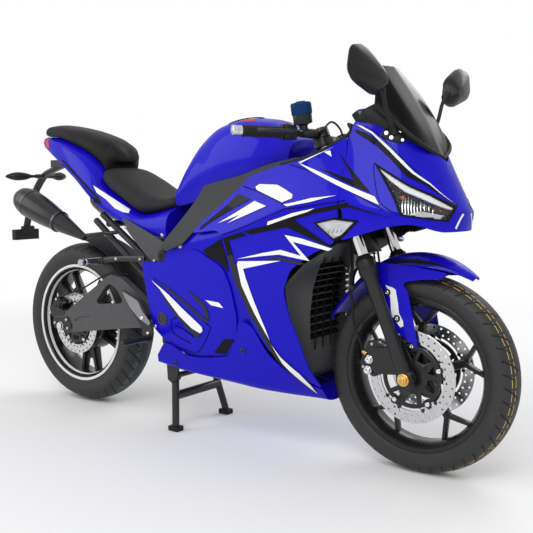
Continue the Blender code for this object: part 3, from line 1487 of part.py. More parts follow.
# Bodywork
def nose_point(across, rise):
    """A place on the nose: across from 0 at the tip to 1 at its rear edge."""
    low = between(NOSE_LOW_SHARES, across) * BAR_HEIGHT
    high = between(NOSE_TOP_SHARES, across) * BAR_HEIGHT
    z = low + (high - low) * rise
    rear = between(NOSE_REAR_SHARES, rise) * BAR_REACH
    length = NOSE_LENGTH_SHARE * BAR_REACH
    edge = nose_edge(z)
    last = acos(1 - min((edge - rear) / length, 1.0))
    x = edge - length * (1 - cos(last * across))
    return x, body_half_width(x, z) if across else 0.0, z


def nose_rows(columns, rows, setback=0.0):
    grid = []
    for level in range(rows + 1):
        row = []
        for column in range(-columns, columns + 1):
            x, y, z = nose_point(abs(column) / columns, level / rows)
            side = -1 if column < 0 else 1
            row.append(Vector((x, side * y, z)))
        grid.append(row)
    return grid


def headlight_prism(grow, low_y, high_y):
    return plate(grown_outline(HEADLIGHT_SHARES, grow), low_y, high_y)


def nose_cowl():
    body = shell(nose_rows(NOSE_COLUMNS, NOSE_LEVELS), SHELL_WALL, inward=NOSE_INWARD)
    far = BODY_HALF_WIDTH + OVERRUN
    near = HEADLIGHT_INNER
    hole = signal_hole()
    cutters = [headlight_prism(0, -far, -near), headlight_prism(0, near, far), hole, mirrored(hole)]
    return combine(body, cutters, "DIFFERENCE")


def nose_solid(setback):
    """The nose filled in and set back a little, to shape what shows in its openings."""
    rings = []
    for level in range(NOSE_LEVELS + 1):
        ring = []
        for column in range(-NOSE_COLUMNS, NOSE_COLUMNS + 1):
            x, y, z = nose_point(abs(column) / NOSE_COLUMNS, level / NOSE_LEVELS)
            side = -1 if column < 0 else 1
            ring.append(Vector((x - setback, side * max(y - setback, 0.0), z)))
        rings.append(ring)
    return loft(rings)


def headlight():
    far = BODY_HALF_WIDTH + OVERRUN
    near = HEADLIGHT_INNER * 0.5
    body = nose_solid(LENS_SETBACK)
    halves = []
    for side in (-1, 1):
        low, high = sorted((side * near, side * far))
        prism = headlight_prism(-SEAT_GAP * 1.5, low, high)
        halves.append(combine(body, [prism], "INTERSECT"))
    low_x, low_z = spot(HEADLIGHT_LINK_SHARE)
    link = block((low_x, 0, low_z), (HEADLIGHT_LINK, HEADLIGHT_LINK * 2.4, HEADLIGHT_LINK))
    return combine(halves[0], [halves[1], link])


def grown_outline(shares, grow):
    """An outline with each of its edges moved out by a distance."""
    points = [Vector(spot(share)) for share in shares]
    pairs = list(zip(points, points[1:] + points[:1]))
    turn = 1 if sum(a.x * b.y - b.x * a.y for a, b in pairs) > 0 else -1
    ways = [(b - a).normalized() for a, b in pairs]
    sides = [Vector((way.y, -way.x)) * turn for way in ways]
    grown = []
    for index, point in enumerate(points):
        both = sides[index - 1] + sides[index]
        grown.append(tuple(point + both * (grow * 2 / both.length_squared)))
    return grown


def signal_hole():
    far = BODY_HALF_WIDTH + OVERRUN
    return plate(grown_outline(SIGNAL_SHARES, 0), -far, -BODY_HALF_WIDTH * 0.6)


def side_fairing():
    skin = panel([spot(share) for share in SIDE_FAIRING_SHARES], body_half_width, SHELL_WALL, 0.07)
    return combine(skin, [signal_hole()], "DIFFERENCE")


def cover_half_width(x, z):
    return body_half_width(x, z) - COVER_SETBACK


def lower_cover():
    return panel([spot(share) for share in COVER_SHARES], cover_half_width, SHELL_WALL, 0.07)


def trim_half_width(x, z):
    return body_half_width(x, z) - TRIM_SETBACK


def knee_trim():
    return panel([spot(share) for share in TRIM_SHARES], trim_half_width, SHELL_WALL, 0.08)


def belly_pan():
    rows = []
    stations = [0.514, 0.571, 0.70, 0.80, 0.868, 0.903, 0.945, 1.002, 1.098, 1.160]
    for station in stations:
        x = station * BAR_REACH
        top = between(BELLY_TOP_SHARES, station) * BAR_HEIGHT
        floor = between(BELLY_FLOOR_SHARES, station) * BAR_HEIGHT
        right = []
        for rise in BELLY_RISE_SHARES:
            z = floor + (top - floor) * rise
            right.append((body_half_width(x, z) - BELLY_SETBACK, z))
        width = right[-1][0]
        under = [(width * 0.85, floor - BELLY_SAG * 0.5), (width * 0.45, floor - BELLY_SAG)]
        side = right + under
        row = [Vector((x, -y, z)) for y, z in side]
        row += [Vector((x, y, z)) for y, z in reversed(side)]
        rows.append(row)
    notch = plate([spot(share) for share in STAND_NOTCH_SHARES], -STAND_NOTCH, STAND_NOTCH)
    return combine(shell(rows, SHELL_WALL, inward=BELLY_INWARD), [notch], "DIFFERENCE")


def ring_at(x, low, high, width, section):
    """A closed ring across the bike, from a section of (width share, height share)."""
    right = [(width * wide, low + (high - low) * up) for wide, up in section]
    points = [(x, -y, z) for y, z in right]
    points += [(x, y, z) for y, z in reversed(right) if y > 0]
    return points


def tank_cover():
    rings = []
    for station in TANK_STATION_SHARES:
        low = between(TANK_LOW_SHARES, station) * BAR_HEIGHT
        high = between(TANK_TOP_SHARES, station) * BAR_HEIGHT
        width = between(TANK_WIDTH_SHARES, station) * BODY_HALF_WIDTH
        rings.append(ring_at(station * BAR_REACH, low, high, width, TANK_SECTION_SHARES))
    return loft(rings)


def tail_cowl():
    rings = []
    for station in TAIL_STATION_SHARES:
        low = between(TAIL_LOW_SHARES, station) * BAR_HEIGHT
        high = between(TAIL_TOP_SHARES, station) * BAR_HEIGHT
        width = between(TAIL_WIDTH_SHARES, station) * BODY_HALF_WIDTH
        rings.append(ring_at(station * BAR_REACH, low, high, width, TAIL_SECTION_SHARES))
    return loft(rings)


def cushion(stations, section):
    """A seat pad that rests on the tail wherever the tail lies under it."""
    rings = []
    for place, low, high, width in stations:
        if place <= TAIL_STATION_SHARES[-1]:
            low = max(low, between(TAIL_TOP_SHARES, place) + SEAT_GAP / BAR_HEIGHT)
        rings.append(
            ring_at(
                place * BAR_REACH, low * BAR_HEIGHT, high * BAR_HEIGHT, width * BODY_HALF_WIDTH, section
            )
        )
    return loft(rings)


def windscreen():
    rows = []
    for rise_step in range(5):
        rise = rise_step / 4
        row = []
        for side in range(-4, 5):
            across = abs(side) / 4
            base = spot((between(SCREEN_BASE_SHARES, across), between(SCREEN_FOOT_SHARES, across)))
            top = spot((between(SCREEN_TOP_SHARES, across), between(SCREEN_HEAD_SHARES, across)))
            x = base[0] + (top[0] - base[0]) * rise + SCREEN_BOW * sin(pi * rise)
            z = base[1] + (top[1] - base[1]) * rise
            half = SCREEN_BASE_HALF_WIDTH + (SCREEN_TOP_HALF_WIDTH - SCREEN_BASE_HALF_WIDTH) * rise
            y = half * sin(across * pi / 2 * 0.9) / sin(pi / 2 * 0.9)
            row.append(Vector((x, y if side > 0 else -y, z)))
        rows.append(row)
    return shell(rows, SCREEN_WALL, inward=SCREEN_INWARD)


def mirror_foot_width(x, z):
    return body_half_width(x, z) + SHELL_WALL + SEAT_GAP


def mirror():
    x, z = spot(MIRROR_ROOT_SHARE)
    root = Vector((x, -mirror_foot_width(x, z) - MIRROR_STALK_RADIUS * 0.3, z))
    neck = at(MIRROR_NECK_SHARE, -MIRROR_NECK_SPACING)
    stalk = sweep([root, root + (neck - root) * 0.5 - SIDE * SHELL_WALL, neck], MIRROR_STALK_RADIUS, 8)
    outline = []
    for out, up in MIRROR_HEAD_SHARES:
        outline.append((out * MIRROR_WIDTH, up * MIRROR_HEIGHT))
    rings = []
    for ahead, scale in ((-0.3, 0.94), (0.0, 1.0), (0.55, 0.72), (1.0, 0.25)):
        ring = []
        for out, up in outline:
            ring.append(
                (neck.x + ahead * MIRROR_DEPTH, neck.y - out * scale - MIRROR_WIDTH * 0.15 * ahead, neck.z + up * scale)
            )
        rings.append(ring)
    foot = panel([spot(share) for share in MIRROR_FOOT_SHARES], mirror_foot_width, SHELL_WALL, SHELL_WALL * 4)
    return combine(loft(rings), [stalk, foot])


def radiator_duct():
    """Inner cheeks and black centre behind the front wheel, as one moulded U."""
    rows = []
    for (outer, spread), (inner, close) in zip(DUCT_OUTER_SHARES, DUCT_INNER_SHARES):
        out = at(outer, -spread * BODY_HALF_WIDTH)
        mid = at(inner, -close * BODY_HALF_WIDTH)
        back = Vector((mid.x - DUCT_DEPTH, mid.y * 0.9, mid.z))
        row = [out, (out + mid) / 2 - Vector((DUCT_DEPTH * 0.3, 0, 0)), mid, back]
        row += [Vector((point.x, -point.y, point.z)) for point in reversed(row)]
        rows.append(row)
    return shell(rows, SHELL_WALL, inward=DUCT_INWARD)


def signal_half_width(x, z):
    return body_half_width(x, z) + SIGNAL_PROUD


def front_signal():
    outline = grown_outline(SIGNAL_SHARES, -SEAT_GAP * 1.5)
    return panel(outline, signal_half_width, SIGNAL_PROUD + SHELL_WALL, SIGNAL_PROUD * 3)


def plate_bracket():
    arm = sweep([at(share, 0) for share in PLATE_ARM_SHARES], PLATE_ARM_RADIUS, 8)
    foot = at(PLATE_ARM_SHARES[-1], 0)
    parts = [block(foot, (PLATE_THICKNESS, PLATE_WIDTH, PLATE_HEIGHT))]
    hub_place = at(REAR_SIGNAL_ROOT_SHARE, 0)
    for side in (-1, 1):
        tip = at(REAR_SIGNAL_TIP_SHARE, side * REAR_SIGNAL_SPREAD)
        way = tip - hub_place
        length = way.length
        profile = [(0, 0.3), (0.3, 0.35), (0.45, 0.8), (0.65, 1.0), (0.85, 0.75), (1.0, 0.2)]
        parts.append(turned(hub_place, way, [(a * length, b * REAR_SIGNAL_RADIUS) for a, b in profile], 10))
    tail_x, tail_z = spot(PLATE_MOUNT_SHARE)
    parts.append(block((tail_x, 0, tail_z), (PLATE_MOUNT_LENGTH, PLATE_WIDTH * 0.5, PLATE_MOUNT_HEIGHT)))
    return combine(arm, parts)


def tail_lamp():
    x, z = spot(TAIL_LAMP_SHARE)
    return block((x, 0, z), (LAMP_DEPTH, LAMP_WIDTH, LAMP_HEIGHT))


def dashboard():
    x, z = spot(DASH_SHARE)
    tilt = rotated(block((x, 0, z), (DASH_DEPTH, DASH_WIDTH, DASH_HEIGHT)), radians(-35), (x, 0, z))
    stay = rod(at(DASH_SHARE, 0), at(DASH_STAY_SHARE, 0), STRUT_RADIUS * 0.7, 8)
    return combine(tilt, [stay])


def add_bodywork():
    add("nose_cowl", nose_cowl(), blue())
    add("headlight", headlight(), clear())
    both_sides("side_fairing", side_fairing(), blue())
    both_sides("lower_cover", lower_cover(), blue())
    both_sides("knee_trim", knee_trim(), grey())
    add("belly_pan", belly_pan(), blue())
    add("tank_cover", tank_cover(), blue())
    add("tail_cowl", tail_cowl(), blue())
    add("rider_seat", cushion(SEAT_STATION_SHARES, SEAT_SECTION_SHARES), vinyl())
    add("pillion_seat", cushion(PILLION_STATION_SHARES, SEAT_SECTION_SHARES), vinyl())
    add("windscreen", windscreen(), smoke())
    both_sides("mirror", mirror(), black())
    add("radiator_duct", radiator_duct(), grey())
    both_sides("front_signal", front_signal(), clear())
    add("plate_bracket", plate_bracket(), black())
    add("tail_lamp", tail_lamp(), red())
    add("dashboard", dashboard(), black())


def clear_scene():
    for item in list(bpy.data.objects):
        bpy.data.objects.remove(item)


def build():
    clear_scene()
    place_parents()
    add_wheels()
    add_steering()
    add_frame()
    add_bodywork()


build()
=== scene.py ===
import bmesh
import bpy
import json
from math import acos, cos, pi, radians, sin, sqrt
from mathutils import Matrix, Vector
from mathutils.bvhtree import BVHTree


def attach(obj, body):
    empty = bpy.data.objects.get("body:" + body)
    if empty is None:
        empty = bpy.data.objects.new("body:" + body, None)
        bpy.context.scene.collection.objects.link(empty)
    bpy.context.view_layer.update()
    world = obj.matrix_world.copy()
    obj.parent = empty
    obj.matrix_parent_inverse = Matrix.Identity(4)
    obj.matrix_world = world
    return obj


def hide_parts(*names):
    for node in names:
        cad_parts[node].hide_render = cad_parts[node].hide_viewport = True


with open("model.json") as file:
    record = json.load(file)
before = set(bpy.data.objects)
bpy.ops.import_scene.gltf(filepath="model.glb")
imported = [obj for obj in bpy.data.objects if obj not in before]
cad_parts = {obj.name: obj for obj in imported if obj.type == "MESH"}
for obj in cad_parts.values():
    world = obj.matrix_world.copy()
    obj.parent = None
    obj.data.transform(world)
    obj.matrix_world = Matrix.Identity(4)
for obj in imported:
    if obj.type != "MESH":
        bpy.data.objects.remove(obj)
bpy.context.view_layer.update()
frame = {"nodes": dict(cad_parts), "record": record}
nodes = frame["nodes"]
middleX = 0.662236525  # shapes below are in metres ahead of the rear axle; this is the bike's middle
print("frame loaded:", len(nodes), "nodes")


def pairs(*values):
    return list(zip(values[::2], values[1::2]))


def mm(*values):  # pairs of lengths in millimetres, as metres
    return [(a / 1000, b / 1000) for a, b in pairs(*values)]


def vec(*parts):
    return Vector(parts)


# a wire is a shader socket that can be used in sums
class Wire:
    def __init__(self, sheet, socket):
        self.sheet = sheet
        self.socket = socket

    def math(self, operation, *others, clamp=False):
        return self.sheet.node("ShaderNodeMath", {"operation": operation, "use_clamp": clamp},
                               dict(enumerate((self, *others))))

    def __add__(self, other):
        return self.math("ADD", other)

    def __sub__(self, other):
        return self.math("SUBTRACT", other)

    def __mul__(self, other):
        return self.math("MULTIPLY", other)

    def __truediv__(self, other):
        return self.math("DIVIDE", other)

    def __rsub__(self, other):
        return self * -1 + other

    def __abs__(self):
        return self.math("ABSOLUTE")

    __radd__ = __add__
    __rmul__ = __mul__

    def over(self, level):
        return self.math("GREATER_THAN", level)

    def under(self, level):
        return self.math("LESS_THAN", level)

    def part(self):
        return self.math("FRACT")

    def least(self, other):
        return self.math("MINIMUM", other)

    def rise(self, low, high):  # 0 below low, 1 above high, smooth between
        return self.sheet.node("ShaderNodeMapRange", {"interpolation_type": "SMOOTHSTEP"},
                               {0: self, 1: low, 2: high, 3: 0.0, 4: 1.0})

    def band(self, low, high):
        return self.over(low) * self.under(high)


class Sheet:
    def __init__(self, name, colour, rough=0.5, metal=0.0, **fixed):
        self.material = bpy.data.materials.new(name)
        self.material.use_nodes = True
        self.tree = self.material.node_tree
        self.shader = self.tree.nodes["Principled BSDF"]
        self.known = {}
        self.feed("Base Color", colour).feed("Roughness", rough).feed("Metallic", metal)
        for key, value in fixed.items():
            self.feed(key.replace("_", " "), value)
        self.material.diffuse_color = (*(colour if isinstance(colour, tuple) else (0.5, 0.5, 0.5)), 1)

    def node(self, kind, settings=None, values=None, out=0):
        made = self.tree.nodes.new(kind)
        for key, value in (settings or {}).items():
            setattr(made, key, value)
        for key, value in (values or {}).items():
            self.put(made.inputs[key], value)
        return Wire(self, made.outputs[out])

    def put(self, socket, value):
        if isinstance(value, Wire):
            self.tree.links.new(value.socket, socket)
        elif isinstance(value, tuple) and socket.type == "RGBA":
            socket.default_value = (*value[:3], 1)
        elif value is not None:
            socket.default_value = value

    def feed(self, name, value):
        self.put(self.shader.inputs[name], value)
        return self

    def place(self):  # metres in the bike's own frame, at rest
        if "place" not in self.known:
            self.known["place"] = self.node("ShaderNodeTexCoord", out="Object")
        return self.known["place"]

    def along(self, name):  # X, Y or Z
        if name not in self.known:
            self.known[name] = self.node("ShaderNodeSeparateXYZ", {}, {0: self.place()}, name)
        return self.known[name]

    def noise(self, scale, detail=3.0):
        return self.node("ShaderNodeTexNoise", {}, {"Vector": self.place(), "Scale": scale,
                                                   "Detail": detail, "Roughness": 0.5})

    def cells(self, scale, feature="F1"):
        return self.node("ShaderNodeTexVoronoi", {"feature": feature},
                         {"Vector": self.place(), "Scale": scale}, "Distance")

    def blend(self, mask, first, second):  # first where the mask is 0
        made = self.tree.nodes.new("ShaderNodeMix")
        made.data_type = "RGBA"
        for index, value in ((0, mask), (6, first), (7, second)):
            self.put(made.inputs[index], value)
        return Wire(self, made.outputs[2])

    def bump(self, height, depth, strength=1.0):
        return self.feed("Normal", self.node("ShaderNodeBump", {}, {"Height": height, "Distance": depth,
                                                                   "Strength": strength}))


tones = {
    "blue": (0.008, 0.003, 0.5),
    "white": (0.84, 0.85, 0.88),
    "black": (0.01, 0.01, 0.011),
    "satin": (0.017, 0.017, 0.018),
    "grey": (0.07, 0.071, 0.075),
    "stripeGrey": (0.034, 0.034, 0.036),
    "steel": (0.62, 0.62, 0.63),
    "gold": (0.8, 0.52, 0.16),
}
finishes = {}


def finish(name, maker, *values):
    if name not in finishes:
        finishes[name] = maker(name, *values)
    return finishes[name].material


def glossPaint(name, colour, flake=0.0):  # metallic base under a clear coat
    sheet = Sheet(name, colour, 0.36, flake, Coat_Weight=0.22, Coat_Roughness=0.03)
    sheet.feed("Specular IOR Level", 0.06)
    haze = sheet.noise(5.0, 2.0)
    deep = tuple(part * 0.8 for part in colour)
    sheet.feed("Base Color", sheet.blend(haze, deep, colour))
    return sheet.bump(sheet.noise(260.0, 1.0), 0.00002, 0.3)


def moulded(name, colour=tones["satin"], rough=0.48, grain=700.0):  # grained plastic
    sheet = Sheet(name, colour)
    sheet.feed("Specular IOR Level", 0.18)
    sheet.feed("Roughness", sheet.noise(12.0, 3.0) * 0.16 + (rough - 0.08))
    cloud = sheet.noise(6.0, 2.0)
    sheet.feed("Base Color", sheet.blend(cloud, tuple(part * 0.75 for part in colour),
            tuple(part * 1.2 for part in colour)))
    return sheet.bump(sheet.cells(grain), 0.00015, 0.35)


def coated(name, colour=tones["satin"], rough=0.34, metal=0.0):  # powder coat over metal
    sheet = Sheet(name, colour, rough, metal, Coat_Weight=0.15, Coat_Roughness=0.15)
    sheet.feed("Specular IOR Level", 0.3)
    cloud = sheet.noise(40.0, 4.0)
    sheet.feed("Roughness", cloud * 0.18 + (rough - 0.09))
    sheet.feed("Base Color", sheet.blend(cloud, tuple(part * 0.8 for part in colour),
            tuple(part * 1.15 for part in colour)))
    return sheet.bump(sheet.noise(1300.0, 1.0), 0.0001, 0.4)


def bareMetal(name, colour=tones["steel"], rough=0.28):  # machined or plated metal
    sheet = Sheet(name, colour, rough, 1.0)
    cloud = sheet.noise(30.0, 5.0)
    sheet.feed("Base Color", sheet.blend(cloud, tuple(part * 0.8 for part in colour), colour))
    sheet.feed("Roughness", cloud * 0.2 + (rough - 0.1))
    return sheet.bump(sheet.noise(700.0, 2.0), 0.00008, 0.3)


def film(name, colour, rough=0.3):  # printed vinyl stripe
    sheet = Sheet(name, colour, rough, 0.0, Coat_Weight=0.05, Coat_Roughness=0.05)
    sheet.feed("Specular IOR Level", 0.03)
    haze = sheet.noise(9.0, 2.0)
    sheet.feed("Base Color", sheet.blend(haze, tuple(part * 0.9 for part in colour), colour))
    return sheet.bump(sheet.noise(300.0, 1.0), 0.00002, 0.2)


def smoked(name, colour=(0.004, 0.004, 0.005)):
    sheet = Sheet(name, colour, 0.16, 0.0, Coat_Weight=0.03, Coat_Roughness=0.03)
    sheet.feed("Specular IOR Level", 0.05)
    sheet.feed("Base Color", sheet.blend(sheet.noise(4.0, 1.0), colour, tuple(part * 1.8 for part in colour)))
    return sheet.bump(sheet.noise(120.0, 1.0), 0.00002, 0.2)


def lens(name, colour, alpha=0.25):
    sheet = Sheet(name, colour, 0.05, 0.0, Coat_Weight=0.25, Coat_Roughness=0.02)
    sheet.feed("Specular IOR Level", 0.12)
    sheet.feed("Alpha", sheet.noise(3.0, 1.0) * 0.02 + alpha)
    return sheet.bump(sheet.noise(90.0, 1.0), 0.00003, 0.3)


def leather(name, colour, rough=0.5, scale=420.0):
    sheet = Sheet(name, colour, rough)
    sheet.feed("Specular IOR Level", 0.14)
    grain = sheet.cells(scale, "DISTANCE_TO_EDGE")
    cloud = sheet.noise(18.0, 4.0)
    sheet.feed("Base Color", sheet.blend(cloud, tuple(part * 0.7 for part in colour),
            tuple(part * 1.25 for part in colour)))
    sheet.feed("Roughness", cloud * 0.22 + (rough - 0.11))
    return sheet.bump(grain.rise(0.0, 0.18), 0.00035, 0.5)


def dotted(name, colour=(0.026, 0.027, 0.029)):  # grip texture of small studs on the knee trim
    sheet = Sheet(name, colour, 0.5)
    sheet.feed("Specular IOR Level", 0.25)
    x, z = sheet.along("X") * 160.0, sheet.along("Z") * 160.0
    u, v = (x + z).part() - 0.5, (x - z).part() - 0.5
    stud = 1 - (u * u + v * v).rise(0.01, 0.07)
    flat = sheet.along("Z").rise(0.8, 0.835)  # the upper end of the trim is plain
    stud = stud * (1 - flat)
    sheet.feed("Base Color", sheet.blend(stud, colour, (0.06, 0.061, 0.064)))
    return sheet.bump(stud, 0.0006, 0.7)


blue = lambda: finish("bluePaint", glossPaint, tones["blue"])
satin = lambda: finish("satinBlack", coated)
plastic = lambda: finish("blackPlastic", moulded)
greyCoat = lambda: finish("greyCoat", coated, tones["grey"], 0.36, 0.35)
steel = lambda: finish("brightSteel", bareMetal)
chrome = lambda: finish("chrome", bareMetal, (0.78, 0.78, 0.79), 0.14)
gold = lambda: finish("goldPlate", bareMetal, tones["gold"], 0.22)
rubber = lambda: finish("softRubber", moulded, (0.014, 0.014, 0.015), 0.6)
gloss = lambda: finish("glossBlack", film, tones["black"], 0.12)
tailRed = lambda: finish("tailRed", lens, (0.62, 0.012, 0.016), 0.92)
blackFilm = lambda: finish("blackFilm", film, tones["black"], 0.25)
greyFilm = lambda: finish("greyFilm", film, tones["stripeGrey"], 0.45)
whiteFilm = lambda: finish("whiteFilm", film, tones["white"], 0.3)
lampSilver = lambda: finish("lampSilver", bareMetal, (0.86, 0.87, 0.89), 0.18)


def nearBlack(name, level, rough):
    return finish(name, coated, (level / 1000, level / 1000, (level + 1) / 1000), rough)


cadFinish = {
    "aluminium": steel, "rubber": rubber, "blue_paint": blue, "black_metal": satin,
    "black_plastic": plastic, "grey_satin": greyCoat, "battery_case": plastic,
    "seat_vinyl": lambda: finish("seatLeather", leather, (0.022, 0.022, 0.024)),
    "clear_lens": lambda: finish("clearLens", lens, (0.8, 0.82, 0.85), 0.35),
    "red_lens": lambda: finish("redLens", film, (0.45, 0.012, 0.012), 0.12),
    "smoked_screen": lambda: finish("smokedScreen", smoked),
}
for entry in frame["record"]["subparts"]:
    shown = nodes[entry["node"]]
    shown.data.materials.clear()
    shown.data.materials.append(cadFinish[entry["material_slot"]]())
print("finishes:", len(finishes))


# shapes are plain lists of points and faces until they are put into the scene
class Shape:
    def __init__(self, points=(), faces=()):
        self.points = [Vector(point) for point in points]
        self.faces = [tuple(face) for face in faces]

    def __add__(self, other):
        start = len(self.points)
        return Shape(self.points + other.points,
                     self.faces + [tuple(index + start for index in face) for face in other.faces])

    def turned(self, angle, centre):  # about the crosswise line through the centre
        turn = Matrix.Rotation(angle, 3, "Y")
        return Shape([turn @ (point - Vector(centre)) + Vector(centre) for point in self.points], self.faces)

    def flipped(self):  # over to the other side of the bike
        return Shape([(point.x, -point.y, point.z) for point in self.points],
                [face[::-1] for face in self.faces])


def loft(rings, closed=True, capped=True):
    count = len(rings[0])
    faces = []
    for row in range(len(rings) - 1):
        for step in range(count if closed else count - 1):
            after = (step + 1) % count
            low, high = row * count, (row + 1) * count
            faces.append((low + step, low + after, high + after, high + step))
    if capped:
        faces += [tuple(range(count)), tuple(range((len(rings) - 1) * count, len(rings) * count))]
    return Shape([point for ring in rings for point in ring], faces)


def openSheet(rows):
    return loft(rows, closed=False, capped=False)


def frameOf(along):
    along = Vector(along).normalized()
    helper = vec(0, 1, 0) if abs(along.y) < 0.9 else vec(1, 0, 0)
    side = along.cross(helper).normalized()
    return along, side, side.cross(along)


def circle(centre, along, radius, segments=24):
    along, side, up = frameOf(along)
    angles = [2 * pi * step / segments for step in range(segments)]
    return [Vector(centre) + side * (radius * cos(a)) + up * (radius * sin(a)) for a in angles]


def lathe(start, along, profile, segments=32):  # profile: (distance, radius)
    way = Vector(along).normalized()
    return loft([circle(Vector(start) + way * far, way, max(radius, 1e-5), segments)
            for far, radius in profile])


def rod(start, end, radius, segments=20):
    way = Vector(end) - Vector(start)
    return lathe(start, way, [(0, radius), (way.length, radius)], segments)


def smoothLine(points, steps=6):
    points = [Vector(point) for point in points]
    made = []
    for index in range(len(points) - 1):
        a, b, c, d = (points[min(max(index + shift, 0), len(points) - 1)] for shift in (-1, 0, 1, 2))
        for step in range(steps):
            t = step / steps
            made.append(0.5 * (2 * b + (c - a) * t + (2 * a - 5 * b + 4 * c - d) * t * t
                    + (3 * b - a - 3 * c + d) * t ** 3))
    return made + [points[-1]]


def tube(points, radius, segments=12, steps=6, flat=1.0):
    line = smoothLine(points, steps) if steps > 1 else [Vector(point) for point in points]
    radii = radius if isinstance(radius, list) else [radius] * len(points)
    rings, side = [], None
    for index, point in enumerate(line):
        way = (line[min(index + 1, len(line) - 1)] - line[max(index - 1, 0)]).normalized()
        side = frameOf(way)[1] if side is None else (side - way * side.dot(way)).normalized()
        up = way.cross(side)
        place = index / (len(line) - 1) * (len(radii) - 1)
        low = min(int(place), len(radii) - 2)
        wide = radii[low] + (radii[low + 1] - radii[low]) * (place - low)
        rings.append([point + side * (wide * cos(2 * pi * step / segments))
                + up * (wide * flat * sin(2 * pi * step / segments)) for step in range(segments)])
    return loft(rings)


def ringAbout(profile, centre, segments=96, closed=True):  # profile: (radius, across), turned about the axle
    loops = []
    for step in range(segments):
        turn = 2 * pi * step / segments
        loops.append([Vector(centre) + vec(r * cos(turn), y, r * sin(turn)) for r, y in profile])
    return loft(loops + [loops[0]], closed=closed, capped=False)


def plate(outline, low, high):  # (x, z) outline given a thickness across the bike
    return loft([[(x, y, z) for x, z in outline] for y in (low, high)])


def block(centre, size, turn=0.0):
    x, y, z = (part / 2 for part in size)
    corners = ((-x, -y), (x, -y), (x, y), (-x, y))
    made = loft([[Vector(centre) + vec(a, b, level) for a, b in corners] for level in (-z, z)])
    return made.turned(turn, centre) if turn else made


def bolt(place, along, radius=0.005, height=0.004, sides=24):
    profile = [(0, radius), (height * 0.7, radius), (height, radius * 0.82), (height, radius * 0.45),
               (height * 0.45, radius * 0.4)]
    return lathe(place, along, profile, sides)


def rounded(outline, cuts=2, share=0.22):  # corners cut twice, so that they read as curves
    points = [Vector(point) for point in outline]
    for _ in range(cuts):
        made = []
        for index, point in enumerate(points):
            after = points[(index + 1) % len(points)]
            made += [point.lerp(after, share), point.lerp(after, 1 - share)]
        points = made
    return [tuple(point) for point in points]


def formOf(shape):
    form = bmesh.new()
    corners = [form.verts.new((point.x - middleX, point.y, point.z)) for point in shape.points]
    for face in shape.faces:
        if len(set(face)) == len(face) and not form.faces.get([corners[index] for index in face]):
            form.faces.new([corners[index] for index in face])
    return form


def added(name, form):  # a bmesh becomes an object of the scene
    mesh = bpy.data.meshes.new(name)
    form.to_mesh(mesh)
    form.free()
    made = bpy.data.objects.new(name, mesh)
    bpy.context.scene.collection.objects.link(made)
    return made


def put(name, shape, material, body="bike", replaces=(), wall=0.0, bevel=0.0, cuts=2, sharp=38, limit=30,
        cutters=()):
    form = formOf(shape)
    bmesh.ops.remove_doubles(form, verts=form.verts, dist=1e-5)
    bmesh.ops.recalc_face_normals(form, faces=form.faces)
    middle = vec(0.0, 0.0, 0.6)  # open sheets face away from the middle of the bike
    away = sum(face.normal.dot(face.calc_center_median() - middle) * face.calc_area() for face in form.faces)
    if wall and away < 0:
        bmesh.ops.reverse_faces(form, faces=form.faces)
    made = added(name, form)
    if wall:
        thick = made.modifiers.new("wall", "SOLIDIFY")
        thick.thickness = abs(wall)
        thick.offset = -1 if wall > 0 else 1
    if cutters:
        made = cutAway(made, cutters)
    made.data.shade_smooth()
    made.data.set_sharp_from_angle(angle=radians(sharp))
    if bevel:
        edge = made.modifiers.new("edge", "BEVEL")
        edge.width = bevel
        edge.segments = cuts
        edge.limit_method = "ANGLE"
        edge.angle_limit = radians(limit)
        edge.harden_normals = True
    made.data.materials.clear()
    made.data.materials.append(material)
    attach(made, body)
    if replaces:
        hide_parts(*replaces)
    return made


def cutAway(body, shapes):
    tools = []
    for shape in shapes:
        form = formOf(shape)
        bmesh.ops.recalc_face_normals(form, faces=form.faces)
        tool = added("cutter", form)
        tools.append(tool)
        change = body.modifiers.new("cut", "BOOLEAN")
        change.operation = "DIFFERENCE"
        change.solver = "EXACT"
        change.object = tool
    settle(body)
    for tool in tools:
        bpy.data.objects.remove(tool)
    return body


def settle(body):  # apply every modifier
    bpy.context.view_layer.update()
    graph = bpy.context.evaluated_depsgraph_get()
    mesh = bpy.data.meshes.new_from_object(body.evaluated_get(graph))
    body.modifiers.clear()
    body.data = mesh
    return body


def both(name, shape, material, body="bike", replaces=(), cutters=(), **more):
    put(name + "Right", shape, material, body, [f"{node}_r" for node in replaces], cutters=cutters, **more)
    put(name + "Left", shape.flipped(), material, body, [f"{node}_l" for node in replaces],
        cutters=[cutter.flipped() for cutter in cutters], **more)


# the bodywork's common skin: half-width as a smooth function of the side view
def smoothTable(table):
    xs, ys = [p[0] for p in table], [p[1] for p in table]
    gaps = [b - a for a, b in zip(xs, xs[1:])]
    rises = [(b - a) / gap for a, b, gap in zip(ys, ys[1:], gaps)]
    slopes = [rises[0]] + [0 if a * b <= 0 else 2 * a * b / (a + b) for a, b in zip(rises,
            rises[1:])] + [rises[-1]]

    def read(value):
        if value <= xs[0]:
            return ys[0]
        for index, gap in enumerate(gaps):
            if value <= xs[index + 1]:
                t = (value - xs[index]) / gap
                return (ys[index] * (1 + 2 * t) * (1 - t) ** 2 + ys[index + 1] * t * t * (3 - 2 * t)
                        + gap * (slopes[index] * t * (1 - t) ** 2 - slopes[index + 1] * t * t * (1 - t)))
        return ys[-1]
    return read


